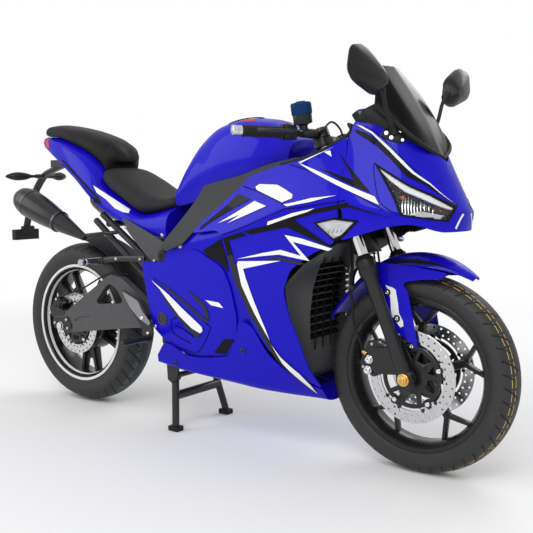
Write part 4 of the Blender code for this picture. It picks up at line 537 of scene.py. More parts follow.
skin = {
    "halfWidth": 0.225,
    "crease": smoothTable([(0.4, 0.6), (0.866, 0.692), (1.245, 0.8), (1.575, 0.735)]),
    "flank": smoothTable([(-0.6, 0.36), (-0.53, 0.6), (-0.47, 0.72), (-0.38, 0.81), (-0.25, 0.9), (-0.1, 0.97),
            (0.0, 1.0), (0.03, 0.955), (0.1, 0.85), (0.18, 0.77), (0.28, 0.69), (0.4, 0.61)]),
    "waist": smoothTable([(0.4, 0.8), (0.6, 0.86), (0.86, 0.94), (1.1, 1.0), (1.6, 1.0)]),
    "tip": (1.572, 0.765),
    "slant": 0.457,
    "undercut": 0.1,
    "noseLength": 0.27,
}


def noseEdge(z):
    tipX, tipZ = skin["tip"]
    return tipX - (skin["slant"] if z > tipZ else -skin["undercut"]) * (z - tipZ)


def bodyWidth(x, z):
    behind = min(max((noseEdge(z) - x) / skin["noseLength"], 0.0), 1.0)
    flank = skin["halfWidth"] * skin["flank"](z - skin["crease"](x)) * skin["waist"](x)
    return flank * sqrt(1 - (1 - behind) ** 2)


def raised(width, lift):
    return lambda x, z: width(x, z) + lift


coverWidth = raised(bodyWidth, -0.01)
trimWidth = raised(bodyWidth, -0.005)
infillWidth = raised(bodyWidth, -0.0165)


def skinSheet(outline, width, pitch=0.012):  # right side, as an open sheet
    form = bmesh.new()
    form.faces.new([form.verts.new((x, 0, z)) for x, z in outline])
    for axis in (0, 2):
        low = min(vertex.co[axis] for vertex in form.verts)
        high = max(vertex.co[axis] for vertex in form.verts)
        count = max(1, round((high - low) / pitch))
        for step in range(1, count):
            point, normal = Vector(), Vector()
            point[axis] = low + (high - low) * step / count
            normal[axis] = 1
            bmesh.ops.bisect_plane(form, geom=form.verts[:] + form.edges[:] + form.faces[:], plane_co=point,
                                   plane_no=normal, dist=1e-5)
    bmesh.ops.triangulate(form, faces=[face for face in form.faces if len(face.verts) > 4])
    form.verts.index_update()
    points = [(vertex.co.x, -width(vertex.co.x, vertex.co.z), vertex.co.z) for vertex in form.verts]
    faces = [tuple(vertex.index for vertex in face.verts) for face in form.faces]
    form.free()
    return Shape(points, faces)


# places read off the photograph, as pixels of its 533 px frame, are laid on the skin
camera = {
    "eye": (2.53616555, -2.21889172, 0.85291115),
    "right": (0.79979491, 0.60024768, -0.00555172),
    "up": (-0.05555803, 0.08323043, 0.9949804),
    "ahead": (-0.59769675, 0.79547182, -0.09991585),
    "focal": 843.965,
    "centre": 266.5,
}


def pixelRay(px, py):
    across = (px - camera["centre"]) / camera["focal"]
    down = (py - camera["centre"]) / camera["focal"]
    return Vector(camera["ahead"]) + Vector(camera["right"]) * across - Vector(camera["up"]) * down


def atSide(px, py, y):  # where a pixel's ray meets a plane across the bike
    way, eye = pixelRay(px, py), Vector(camera["eye"])
    return eye + way * ((y - eye.y) / way.y)


def planePoints(pixels, y):
    return [(place.x, place.z) for place in (atSide(px, py, y) for px, py in pixels)]


def onSkin(px, py, width=bodyWidth):
    low, high = None, None
    for step in range(121):
        y = -0.25 + step * 0.002
        place = atSide(px, py, y)
        if -y <= width(place.x, place.z):
            high = y
            break
        low = y
    if low is None or high is None:
        return None
    for _ in range(20):
        middle = (low + high) / 2
        place = atSide(px, py, middle)
        low, high = (low, middle) if -middle <= width(place.x, place.z) else (middle, high)
    place = atSide(px, py, (low + high) / 2)
    return place.x, place.z


def outlineOnSkin(pixels, width=bodyWidth):
    places = [onSkin(px, py, width) for px, py in pixels]
    return [place for place in places if place]


# side panels; outlines in metres on the side view
panels = {
    "sideFairing": mm(715, 690, 765, 696, 820, 703, 862, 688, 880, 590, 906, 507, 950, 420, 1006, 340,
            1100, 264, 1165, 226, 1143, 290, 1122, 380, 1096, 450, 1083, 531, 1110, 592, 1180, 640, 1285, 690,
            1285, 985, 1235, 955, 1166, 925, 1065, 905, 930, 870, 905, 842, 864, 812, 817, 776, 745, 724),
    "infill": mm(612, 640, 700, 690, 745, 735, 830, 790, 905, 800, 930, 700, 925, 520, 965, 400, 930, 360,
            870, 400, 860, 500, 830, 560, 720, 610, 640, 600, 560, 575, 585, 625),
    "lowerCover": mm(463, 585, 475, 500, 483, 440, 500, 355, 555, 312, 672.5, 268, 830, 290, 874, 348, 885, 430,
            868, 520, 842, 585, 720, 640, 640, 625, 560, 585),
    "kneeTrim": mm(1120, 925, 1000, 905, 900, 876, 775, 850, 734, 842, 702, 795, 639, 726, 566, 647, 572, 630,
            610, 631, 670, 652, 702, 683, 739, 719, 817, 772, 864, 809, 904, 838, 925, 858, 1060, 893,
            1120, 909),
    "signal": mm(1205, 737, 1275, 752, 1350, 745, 1300, 700, 1270, 688),
    "headlight": mm(1369, 901, 1462, 841, 1508, 817, 1557, 786, 1559, 768, 1551, 742, 1459, 761, 1437, 802),
    "wall": 0.004,
    "edge": 0.0013,
}


def softCorners(outline, share=0.14):
    return rounded(outline, 2, share)


def grown(outline, grow):  # each edge moved out
    points = [Vector(point) for point in outline]
    edges = list(zip(points, points[1:] + points[:1]))
    turn = 1 if sum(a.x * b.y - b.x * a.y for a, b in edges) > 0 else -1
    sides = []
    for a, b in edges:
        way = (b - a).normalized()
        sides.append(vec(way.y, -way.x) * turn)
    made = []
    for index, point in enumerate(points):
        across = sides[index - 1] + sides[index]
        made.append(tuple(point + across * (grow * 2 / across.length_squared)))
    return made


def buildPanels():
    wall = {"wall": panels["wall"], "bevel": panels["edge"], "limit": 45, "sharp": 50}
    signal = plate(grown(panels["signal"], 0.0004), -0.26, -0.12)
    both("sideFairing", skinSheet(softCorners(panels["sideFairing"]), bodyWidth, 0.008), blue(),
         replaces=["side_fairing"], cutters=[signal], **wall)
    both("lowerCover", skinSheet(softCorners(panels["lowerCover"]), coverWidth, 0.008), blue(),
         replaces=["lower_cover"], **wall)
    both("kneeTrim", skinSheet(softCorners(panels["kneeTrim"], 0.1), trimWidth, 0.01),
         finish("studdedTrim", dotted), replaces=["knee_trim"], **wall)
    both("infillPanel", skinSheet(softCorners(panels["infill"]), infillWidth, 0.01), blue(), **wall)
    inside = softCorners(grown(panels["sideFairing"], -0.004))
    both("fairingLining", skinSheet(inside, raised(bodyWidth, -0.008), 0.016), plastic(), cutters=[signal],
            wall=0.001)
    line = [(x, 0.0015 - bodyWidth(x, z), z + 0.002) for x, z in mm(1060, 903, 1166, 925, 1235, 955, 1283, 985,
            1284, 1010)]
    both("fairingLip", tube(line, 0.0042, 10, 6), plastic())


noseTables = {
    "low": smoothTable([(0.0, 0.712), (0.25, 0.712), (0.55, 0.735), (1.0, 0.69)]),
    "high": smoothTable([(0.0, 0.905), (0.35, 0.945), (0.6, 0.975), (0.8, 1.02), (1.0, 1.054)]),
    "rear": smoothTable([(0.0, 1.286), (0.8, 1.286), (1.0, 1.315)]),
}


def nosePoint(across, rise, lift=0.0):
    low, high = noseTables["low"](across), noseTables["high"](across)
    z = low + (high - low) * rise
    front = noseEdge(z)
    last = acos(1 - min((front - noseTables["rear"](rise)) / skin["noseLength"], 1.0))
    x = front - skin["noseLength"] * (1 - cos(last * across))
    return x, (bodyWidth(x, z) if across else 0.0) + (lift if across else 0), z


def noseRows(columns, levels, inset=0.0):
    rows = []
    for level in range(levels + 1):
        row = []
        for column in range(-columns, columns + 1):
            x, y, z = nosePoint(abs(column) / columns, level / levels)
            side = -1 if column < 0 else 1
            row.append(vec(x - inset, side * max(y - inset, 0.0), z))
        rows.append(row)
    return rows


def buildNose():
    cowl = openSheet(noseRows(26, 22))
    hole = plate(panels["headlight"], -0.26, -0.012)
    signal = plate(grown(panels["signal"], 0.0004), -0.26, -0.12)
    put("noseCowl", cowl, blue(), replaces=["nose_cowl"], wall=0.004, bevel=panels["edge"], limit=45, sharp=50,
        cutters=[hole, hole.flipped(), signal, signal.flipped()])
    around = plate(grown(panels["headlight"], 0.005), -0.26, -0.012)
    put("noseLining", openSheet(noseRows(20, 14, 0.008)), plastic(), wall=0.001,
        cutters=[around, around.flipped(), signal, signal.flipped()])


tank = {
    "stations": (0.56, 1.055),
    "top": smoothTable(mm(560, 850, 600, 925, 660, 998, 740, 1045, 830, 1060, 930, 1050, 1000, 1024,
            1055, 985)),
    "low": smoothTable(mm(560, 770, 660, 790, 930, 860, 1055, 885)),
    "width": smoothTable([(0.56, 0.46), (0.66, 0.5), (0.78, 0.6), (0.93, 0.66), (1.055, 0.6)]),
    "section": [(0.9, 0.0), (1.0, 0.3), (0.97, 0.55), (0.84, 0.78), (0.55, 0.94), (0.0, 1.0)],
}
tail = {
    "stations": (-0.195, 0.556),
    "top": smoothTable(mm(-195, 1034, -100, 1028, 50, 985, 180, 905, 195, 862, 300, 800, 420, 745, 556, 768)),
    "low": smoothTable(mm(-195, 990, -100, 945, 50, 860, 180, 772, 300, 718, 420, 678, 556, 648)),
    "width": smoothTable([(-0.195, 0.2), (-0.1, 0.36), (0.05, 0.52), (0.2, 0.62), (0.556, 0.66)]),
    "section": [(0.62, 0.0), (0.96, 0.12), (1.0, 0.45), (0.9, 0.8), (0.62, 1.0)],
}


def ringAt(x, low, high, half, section):
    right = [vec(half * wide, low + (high - low) * up) for wide, up in section]
    line = [p.to_2d() for p in smoothLine([(*p, 0) for p in right], 5)]
    ring = [(x, -p.x, p.y) for p in line]
    return ring + [(x, p.x, p.y) for p in reversed(line) if p.x > 1e-6]


def hull(spec, count):
    start, end = spec["stations"]
    rings = []
    for step in range(count + 1):
        x = start + (end - start) * step / count
        rings.append(ringAt(x, spec["low"](x), spec["top"](x), spec["width"](x) * skin["halfWidth"],
                spec["section"]))
    return loft(rings)


def buildTank():
    put("tankCover", hull(tank, 40), blue(), replaces=["tank_cover"], sharp=55, bevel=0.004, limit=60)
    # the round rim of the charging lid on top of the tank
    top = tank["top"]
    rim = [(0.79 + 0.055 * cos(a) * 1.25, 0.055 * sin(a)) for a in (2 * pi * n / 40 for n in range(40))]
    drop = lambda x, y: top(x) - 0.065 * (abs(y) / 0.14) ** 2.2 + 0.0012
    ring = [[vec(x, y, drop(x, y)) for x, y in rim],
            [vec(0.79 + (x - 0.79) * 0.93, y * 0.93, drop(x, y * 0.93) + 0.0025) for x, y in rim],
            [vec(0.79 + (x - 0.79) * 0.86, y * 0.86, drop(x, y * 0.86)) for x, y in rim]]
    put("tankLidRing", loft(ring, capped=False), gloss(), wall=0.001)


def buildTail():
    put("tailCowl", hull(tail, 48), blue(), replaces=["tail_cowl"], sharp=48, bevel=0.002, limit=48)


screen = {
    "foot": smoothTable([(0.0, 1.497), (0.5, 1.474), (0.8, 1.434), (1.0, 1.345)]),
    "footZ": smoothTable([(0.0, 0.916), (0.5, 0.95), (0.8, 0.99), (1.0, 1.06)]),
    "head": smoothTable([(0.0, 1.335), (0.6, 1.322), (1.0, 1.3)]),
    "headZ": smoothTable([(0.0, 1.184), (0.6, 1.182), (1.0, 1.15)]),
}


def screenPoint(rise, side, lift=0.0):
    across = abs(side)
    foot, head = screen["foot"](across), screen["head"](across)
    footZ, headZ = screen["footZ"](across), screen["headZ"](across)
    x = foot + (head - foot) * rise + 0.012 * sin(pi * rise)
    z = footZ + (headZ - footZ) * rise
    half = 0.128 + (0.088 - 0.128) * rise
    y = half * sin(across * pi / 2 * 0.9) / sin(pi / 2 * 0.9)
    return vec(x + lift, y if side > 0 else -y, z)


def buildScreen():
    rows = [[screenPoint(level / 20, column / 12) for column in range(-12, 13)] for level in range(21)]
    put("windscreen", openSheet(rows), finish("smokedScreen", smoked),
        replaces=["windscreen"], wall=0.003, sharp=60, bevel=0.0009, limit=50)
    for side in (-1, 1):  # rubber edge along each flank of the screen
        line = [screenPoint(level / 10, side, 0.0005) for level in range(11)]
        put(f"screenEdge{side + 2}", tube(line, 0.0022, 8, 2), rubber())
    foot = [screenPoint(0.0, column / 10, 0.001) for column in range(-10, 11)]
    put("screenSeal", tube(foot, 0.0062, 12, 2), rubber())


mirrorHead = {
    "root": (1.4, 0.988), "neck": (1.405, 1.12), "spacing": 0.205, "width": 0.105, "height": 0.105,
            "depth": 0.035,
    "outline": [(-0.09, -0.25), (0.36, -0.42), (1.36, -0.12), (1.61, 0.15), (1.48, 0.72), (0.86, 0.82),
            (0.04, 0.38)],
}


def mirrorRing(ahead, scale, neck):
    spec = mirrorHead
    flat = [(out * spec["width"], up * spec["height"]) for out, up in spec["outline"]]
    flat = rounded(flat, 2, 0.16)
    return [(neck.x + ahead * spec["depth"], neck.y - out * scale - spec["width"] * 0.15 * ahead, neck.z
            + up * scale) for out, up in flat]


def buildMirrorBrackets():  # black plate between the nose and the corner of the screen
    rows = []
    for step in range(11):
        share = step / 10
        low, high = (nosePoint(0.7 + 0.3 * share, rise, 0.0028) for rise in (0.985 - 0.075 * share, 1.0))
        top = screenPoint(0.02 + 0.1 * share, -(0.74 + 0.26 * share), 0.0045)
        rows.append([vec(low[0], -low[1], low[2]), vec(high[0], -high[1], high[2]), top])
    both("mirrorBracket", openSheet(rows), plastic(), wall=0.002, sharp=60)


def buildMirrors():
    spec = mirrorHead
    buildMirrorBrackets()
    neck = vec(spec["neck"][0], -spec["spacing"], spec["neck"][1])
    rootX, rootZ = spec["root"]
    root = vec(rootX, -bodyWidth(rootX, rootZ) - 0.005, rootZ)
    rings = [mirrorRing(a, s, neck) for a, s in ((-0.3, 0.9), (-0.26, 0.93), (-0.18, 0.97), (0.02, 1),
            (0.3, 0.9), (0.55, 0.72), (0.8, 0.48), (0.97, 0.27), (1, 0.2))]
    head = loft(rings)
    stalk = tube([root, root.lerp(neck, 0.35) - vec(0, 0.01, 0), root.lerp(neck, 0.75), neck
            + vec(0.008, 0, 0.0)], [0.01, 0.0058, 0.0056, 0.0085], 14, 6)
    boot = lathe(root - vec(0, -0.004, 0.002), neck - root, mm(0, 13, 12, 12.5, 30, 7.5, 36, 6), 20)
    body = head + stalk + boot
    footLine = softCorners(mm(1370, 975, 1425, 955, 1430, 972, 1405, 996, 1375, 1000), 0.2)
    foot = skinSheet(footLine, raised(bodyWidth, 0.0045), 0.01)
    both("mirror", body, finish("mirrorShell", moulded, (0.016, 0.016, 0.017), 0.32, 900.0),
            replaces=["mirror"], sharp=28, bevel=0.0012, limit=28)
    both("mirrorFoot", foot, plastic(), wall=0.0042)
    both("mirrorGlass", loft([mirrorRing(-0.315, 0.84, neck), mirrorRing(-0.3, 0.85, neck)]),
         finish("mirrorGlass", bareMetal, (0.7, 0.72, 0.74), 0.06))
    bolts = Shape()
    for x, z, radius in ((1.384, 0.985, 0.0065), (1.398, 0.972, 0.0065), (1.424, 0.965, 0.005)):
        bolts += bolt((x, -bodyWidth(x, z) - 0.0045, z), (0.35, -1, 0.25), radius, 0.004)
    both("mirrorBolts", bolts, steel())


lamp = {
    "cover": 0.0012, "bowl": 0.03, "tray": 0.017, "strip": 0.004,
    "stripLine": pairs(375.7, 165.0, 402.5, 183.0, 429.3, 194.4, 460.0, 211.4, 447.5, 208.5, 420.4, 197.6,
            405.5, 191.6, 390.0, 180.2, 378.4, 168.6),
    "trayLine": pairs(402.0, 212.5, 409.0, 215.0, 420.4, 210.6, 447.5, 216.0, 449.0, 221.0, 429.3, 219.0,
            403.0, 216.0),
    "endLine": pairs(434.0, 203.0, 452.0, 211.5, 447.0, 215.5, 434.0, 211.0),
    "fins": ((402.5, 199.0, 212.5), (405.5, 198.0, 214.0), (408.5, 197.5, 214.5), (411.5, 199.5, 214.5),
            (414.5, 201.5, 214.0), (417.5, 203.5, 213.0), (420.8, 201.0, 211.5), (424.4, 203.0, 211.5),
            (429.0, 204.5, 212.0), (433.0, 208.5, 214.0)),
}


def nosePatch(pixels, inset):  # a patch inside the lamp, drawn from the photograph's places
    width = noseWidthInset(inset)
    return skinSheet(outlineOnSkin(pixels, width), width, 0.006)


def buildLights():
    outline = panels["headlight"]
    both("headlightBowl", skinNosePatch(grown(outline, 0.004), lamp["bowl"]), gloss(), wall=0.002)
    both("headlightWall", loft([loopOnNose(outline, 0.0), loopOnNose(outline, lamp["bowl"])], capped=False),
            gloss(), wall=-0.0015)
    both("headlightBezel", loft([loopOnNose(grown(outline, 0.0008), -0.0008),
            loopOnNose(grown(outline, -0.0035), 0.0006)], capped=False), gloss(), wall=-0.001)
    both("headlightStrip", nosePatch(lamp["stripLine"], lamp["strip"]),
            finish("lampStrip", film, (0.86, 0.87, 0.9), 0.15), wall=0.006)
    both("headlightTray", nosePatch(lamp["trayLine"], lamp["tray"]), lampSilver(), wall=0.002)
    both("headlightEnd", nosePatch(lamp["endLine"], lamp["tray"]), finish("lampEnd", film, (0.06, 0.018, 0.012),
            0.3), wall=0.002)
    width = noseWidthInset(lamp["tray"])
    fins, dishes = Shape(), Shape()
    for px, high, low in lamp["fins"]:
        ends = [onSkin(px, py, width) for py in (high, low)]
        a, b = (vec(x, -width(x, z), z) for x, z in ends)
        fins += tube([a, a.lerp(b, 0.5) - vec(0, 0.002, 0), b], [0.001, 0.0024, 0.0014], 8, 3)
        fins += rod(a.lerp(b, 0.4) + vec(-0.004, 0, 0), a.lerp(b, 0.4) + vec(0.006, -0.001, 0.001), 0.0009, 6)
    both("headlightFins", fins, lampSilver())
    for x, z, radius in ((1.462, 0.785, 0.0135), (1.5, 0.778, 0.0115), (1.53, 0.768, 0.0085)):
        dishes += lathe((x - 0.014, -width(x, z) + 0.012, z), (0.45, -1, 0.05),
                [(0.0, 0.003), (0.004, radius * 0.5), (0.01, radius * 0.85), (0.016, radius),
                (0.0165, radius * 0.94), (0.01, radius * 0.78), (0.005, radius * 0.42)], 28)
    both("headlightDishes", dishes, chrome())
    # painted glint: a small amber film block in the lamp
    x, z = onSkin(402.8, 197.8, width)
    both("headlightAmber", block((x, -width(x, z) - 0.001, z), (0.01, 0.008, 0.01), 0.4),
            finish("amberLens", film, (0.62, 0.16, 0.03), 0.15), bevel=0.002)
    put("headlightCoverRight", skinNosePatch(grown(outline, -0.0015), lamp["cover"]),
            finish("lampCover", lens, (0.3, 0.31, 0.34), 0.05), replaces=["headlight"], wall=0.0015)
    put("headlightCoverLeft", skinNosePatch(grown(outline, -0.0015), lamp["cover"]).flipped(),
            finish("lampCover", lens, (0.3, 0.31, 0.34), 0.05), wall=0.0015)


def noseWidthInset(inset):
    def width(x, z):
        return max(bodyWidth(x + inset * 0.6, z) - inset * 0.8, 0.0)
    return width


def skinNosePatch(outline, inset):
    return skinSheet(outline, noseWidthInset(inset), 0.006)


def loopOnNose(outline, inset):
    width = noseWidthInset(inset)
    return [(x, -width(x, z), z) for x, z in dense(outline, 8)]


def buildSignals():
    signal = panels["signal"]
    frameLine, inner = grown(signal, -0.0006), grown(signal, -0.005)
    loop = lambda line, lift: [(x, -bodyWidth(x, z) - lift, z) for x, z in dense(line, 6)]
    both("signalPan", skinSheet(grown(signal, 0.002), raised(bodyWidth, -0.012), 0.012), gloss(), wall=0.002)
    both("signalRim", loft([loop(frameLine, -0.006), loop(frameLine, 0.0045), loop(inner, 0.0055)],
            capped=False), gloss(), wall=-0.0008)
    both("signalMirror", skinSheet(inner, raised(bodyWidth, -0.005), 0.01),
         lampSilver(), wall=0.002)
    bars = Shape()
    for share in (0.0, 0.25, 0.5, 0.75):
        x = 1.262 + share * 0.052
        bars += block((x, -bodyWidth(x, 0.722) - 0.001, 0.722), (0.0018, 0.008, 0.036 - share * 0.02), 0.5)
    line = [(x, -bodyWidth(x, z) - 0.002, z) for x, z in mm(1240, 733, 1275, 740, 1318, 737)]
    both("signalBulb", bars + tube(line, 0.0016, 8, 4), finish("lampGrey", bareMetal, (0.4, 0.41, 0.43), 0.25))
    both("signalLens", skinSheet(inner, raised(bodyWidth, 0.0052), 0.01),
         finish("clearLens", lens, (0.8, 0.82, 0.85), 0.3), replaces=["front_signal"], wall=0.001)


def dense(outline, steps):
    made = []
    for (ax, az), (bx, bz) in zip(outline, outline[1:] + outline[:1]):
        made += [(ax + (bx - ax) * n / steps, az + (bz - az) * n / steps) for n in range(steps)]
    return made


duct = {
    "outer": [((1.262, 0.675), 0.84), ((1.15, 0.612), 0.84), ((1.075, 0.545), 0.82), ((1.084, 0.45), 0.8),
            ((1.11, 0.36), 0.74), ((1.138, 0.245), 0.54)],
    "inner": [((1.165, 0.665), 0.4), ((1.14, 0.6), 0.4), ((1.12, 0.53), 0.44), ((1.112, 0.45), 0.46),
            ((1.11, 0.36), 0.44), ((1.105, 0.235), 0.36)],
    "fins": 11,
}


def ductRow(share):
    place = share * 5
    low = min(int(place), 4)
    mix = place - low

    def read(table):
        (a, wideA), (b, wideB) = table[low], table[low + 1]
        return vec(a[0] + (b[0] - a[0]) * mix, -(wideA + (wideB - wideA) * mix) * skin["halfWidth"], a[1]
                + (b[1] - a[1]) * mix)
    outer, inner = read(duct["outer"]), read(duct["inner"])
    back = vec(inner.x - 0.03, inner.y * 0.9, inner.z)
    lip = outer + vec(0.004, 0.004, 0)
    return [outer, lip, outer.lerp(inner, 0.35) - vec(0.009, 0, 0), outer.lerp(inner, 0.75) - vec(0.007, 0, 0),
            inner, back]


def buildDuct():
    rows = []
    for level in range(31):
        row = ductRow(level / 30)
        rows.append(row + [vec(p.x, -p.y, p.z) for p in reversed(row)])
    put("ductShell", openSheet(rows), finish("ductGrey", moulded, (0.062, 0.063, 0.066), 0.42, 900.0),
        replaces=["radiator_duct"], wall=0.004, sharp=40)
    grille, frameParts = Shape(), Shape()
    for index in range(duct["fins"]):
        share = 0.22 + 0.55 * index / (duct["fins"] - 1)
        row = ductRow(share)
        half = abs(row[-1].y) - 0.004
        x, z = row[-1].x + 0.01, row[-1].z
        grille += block((x, 0, z), (0.02, 2 * half, 0.0035), 0.55)
    for y in (-0.045, 0.0, 0.045):
        frameParts += tube([(ductRow(share)[-1].x + 0.012, y, ductRow(share)[-1].z)
                for share in (0.15, 0.35, 0.6, 0.85)], 0.003, 6, 3)
    put("ductGrille", grille, gloss())
    put("ductGrilleBars", frameParts, plastic())
    silver = Shape()
    for index in range(10):  # bright cooling fins on the inner side of the far cheek
        z = 0.42 + index * 0.019
        silver += block((1.112, 0.088, z), (0.032, 0.02, 0.006), -0.35)
    put("coolingFins", silver, steel(), bevel=0.0008)


belly = {
    "top": smoothTable(mm(514, 262, 560, 309, 672.5, 276, 830, 296, 878, 354, 903, 420, 945, 410, 1002, 326,
            1098, 252, 1160, 222)),
    "floor": smoothTable(mm(514, 236, 600, 224, 873, 208, 1160, 190)),
    "notch": mm(480, 150, 640, 150, 640, 262, 480, 262),
}


def buildBelly():
    rows = []
    for step in range(61):
        x = 0.514 + (1.16 - 0.514) * step / 60
        top, floor = belly["top"](x), belly["floor"](x)
        right = [(bodyWidth(x, floor + (top - floor) * rise), floor + (top - floor) * rise)
                 for rise in [1.0 - 0.92 * n / 12 for n in range(13)]]
        wide = right[-1][0]
        turn = smoothLine([(*right[-2], 0), (*right[-1], 0), (wide * 0.9, floor - 0.004, 0),
                (wide * 0.72, floor - 0.009, 0), (wide * 0.45, floor - 0.012, 0), (0, floor - 0.012, 0)], 3)
        side = right[:-2] + [(p.x, p.y) for p in turn if p.x > 1e-4]
        rows.append([vec(x, -y, z) for y, z in side] + [vec(x, y, z) for y, z in reversed(side)])
    notch = plate(belly["notch"], -0.127, 0.127)
    put("bellyPan", openSheet(rows), blue(), replaces=["belly_pan"], wall=0.004,
        cutters=[notch], sharp=50, bevel=panels["edge"], limit=45)


# stripes: pixels of the photograph on the right side, the same on the left
def scaled(x0, y0, scale, *values):
    return [(x0 + x / scale, y0 + y / scale) for x, y in pairs(*values)]


upper = lambda *values: scaled(200, 150, 10.814, *values)
noseSide = lambda *values: scaled(290, 95, 8.476, *values)
lowerSide = lambda *values: scaled(205, 225, 8.957, *values)
coverSide = lambda *values: scaled(140, 225, 8.964, *values)
stripes = [
    ("paleSpear", "white", "body", upper(595, 550, 720, 605, 300, 790, 440, 695, 330, 740, 200, 790)),
    ("paleBrush", "white", "body", upper(605, 395, 650, 368, 840, 375, 920, 420, 1005, 480, 1000, 520, 890, 565,
            620, 432)),
    ("greyWedge", "stripeGrey", "body", upper(410, 475, 550, 530, 370, 625, 290, 600)),
    ("blackWedge", "black", "body", upper(290, 600, 370, 625, 100, 790, 0, 865, 0, 835)),
    ("shoulderLine", "white", "body", upper(905, 587, 1000, 570, 1200, 520, 1480, 490, 1350, 518, 1200, 560,
            945, 608)),
    ("shoulderBand", "white", "body", upper(735, 775, 860, 735, 1000, 682, 1240, 630, 1170, 668, 960, 733,
            730, 815)),
    ("blackBand", "black", "body", upper(465, 880, 760, 805, 960, 735, 1180, 668, 1260, 636, 1568, 572,
            1600, 560, 1600, 600, 1568, 610, 1250, 680, 1020, 752, 1060, 790, 1440, 1058, 1350, 1030, 940, 835,
            540, 915)),
    ("blackTail", "black", "body", noseSide(40, 1012, 180, 985, 490, 925, 870, 1045, 490, 950, 180, 1010,
            40, 1046)),
    ("cornerBlack", "black", "body", lowerSide(165, 118, 320, 65, 372, 95, 215, 140, 250, 270, 203, 275)),
    ("longGrey", "stripeGrey", "body", lowerSide(203, 275, 250, 270, 330, 530, 440, 790, 560, 1000, 650, 1145,
            800, 1285, 1005, 1505, 985, 1500, 850, 1400, 640, 1205, 520, 1005, 395, 790, 265, 500)),
    ("zigZag", "white", "body", lowerSide(290, 303, 520, 250, 680, 222, 862, 276, 715, 88, 860, 118, 1143, 213,
            1108, 232, 788, 150, 940, 322, 830, 300, 668, 264, 530, 276)),
    ("greySlip", "stripeGrey", "body", lowerSide(520, 300, 665, 285, 900, 345, 850, 358, 660, 312)),
    ("whiteCorner", "white", "body", lowerSide(300, 324, 680, 320, 345, 392, 370, 480, 430, 650, 540, 920,
            582, 1030, 540, 960, 440, 780, 330, 540, 290, 350)),
    ("whiteFoot", "white", "body", lowerSide(600, 1070, 680, 1180, 850, 1330, 950, 1430, 1015, 1511, 900, 1422,
            700, 1240, 640, 1140)),
    ("flankLine", "white", "body", noseSide(72, 572, 240, 645, 400, 722, 720, 860, 758, 930, 560, 840, 400, 763,
            180, 645)),
    ("flankTop", "white", "body", noseSide(72, 572, 200, 515, 380, 437, 200, 524, 100, 574)),
    ("flankTooth", "white", "body", noseSide(290, 482, 345, 470, 356, 522)),
    ("blackVee", "black", "body", noseSide(408, 478, 500, 600, 690, 832, 560, 780, 240, 612, 545, 722)),
    ("browLine", "white", "body", noseSide(562, 248, 610, 262, 700, 310, 850, 445, 980, 575, 1050, 648,
            1190, 745, 1400, 918, 1190, 760, 1040, 665, 960, 592, 840, 468, 700, 330, 600, 272)),
    ("browBlack", "black", "body", noseSide(550, 290, 640, 316, 760, 390, 880, 505, 1000, 640, 1150, 728,
            1345, 885, 1140, 757, 990, 690, 860, 545, 740, 430, 560, 316)),
    ("sideVent", "black", "infill", pairs(203.0, 250.5, 221.2, 238.6, 226.8, 258.2, 229.0, 272.3, 219.8, 262.5,
            208.6, 256.8)),
    ("noseVent", "black", "body", pairs(454.6, 179.6, 456.8, 179.6, 460.6, 190.0, 459.6, 191.6, 455.2, 186.4)),
    ("chinLine", "white", "body", noseSide(1466, 1005, 1482, 1012, 1416, 1138, 1402, 1130)),
    ("coverSlash", "white", "cover", coverSide(105, 490, 190, 560, 260, 620, 400, 760, 560, 912, 568, 950,
            545, 970, 470, 925, 360, 815, 240, 655, 185, 575)),
    ("coverUnder", "stripeGrey", "cover", coverSide(195, 600, 260, 672, 400, 830, 545, 985, 520, 1015, 430, 930,
            320, 800, 205, 640)),
    ("coverLine", "stripeGrey", "cover", coverSide(130, 475, 300, 590, 450, 722, 625, 868, 590, 872, 440, 745,
            290, 615)),
    ("coverVee", "stripeGrey", "cover", coverSide(420, 580, 540, 665, 600, 740, 628, 860, 590, 830, 572, 745,
            520, 690)),
    ("coverCheck", "white", "cover", coverSide(590, 672, 710, 695, 752, 745, 640, 718)),
    ("coverMouth", "black", "cover", coverSide(755, 1025, 845, 1025, 775, 1155, 665, 1145)),
]


def buildStripes():
    widths = {"body": bodyWidth, "cover": coverWidth, "infill": infillWidth}
    films = {"white": whiteFilm, "black": blackFilm, "stripeGrey": greyFilm}
    crossing = ("whiteFoot", "coverSlash", "coverUnder")  # these lie over other stripes
    for name, tone, base, pixels in stripes:
        outline = outlineOnSkin(pixels, widths[base])
        if len(outline) < 3:
            continue
        lift = 0.0018 + 0.0018 * (name in crossing) + 0.0006 * (tone == "white")
        sheet = skinSheet(outline, raised(widths[base], lift), 0.006)
        both("stripe" + name[0].upper() + name[1:], sheet, films[tone]())


# painted shade: thin tubes in a darker blue than the paint, laid along the creases and seams of the bodywork
def creaseShadeLine(name, pixels, base="cover", width=0.0016, steps=3):
    surface = {"body": bodyWidth, "cover": coverWidth}[base]
    places = outlineOnSkin(pixels, surface)
    line = [(x, -surface(x, z) - 0.0004, z) for x, z in places]
    both(name, tube(line, width, 6, steps), finish("seamBlue", film, (0.004, 0.003, 0.14), 0.4))
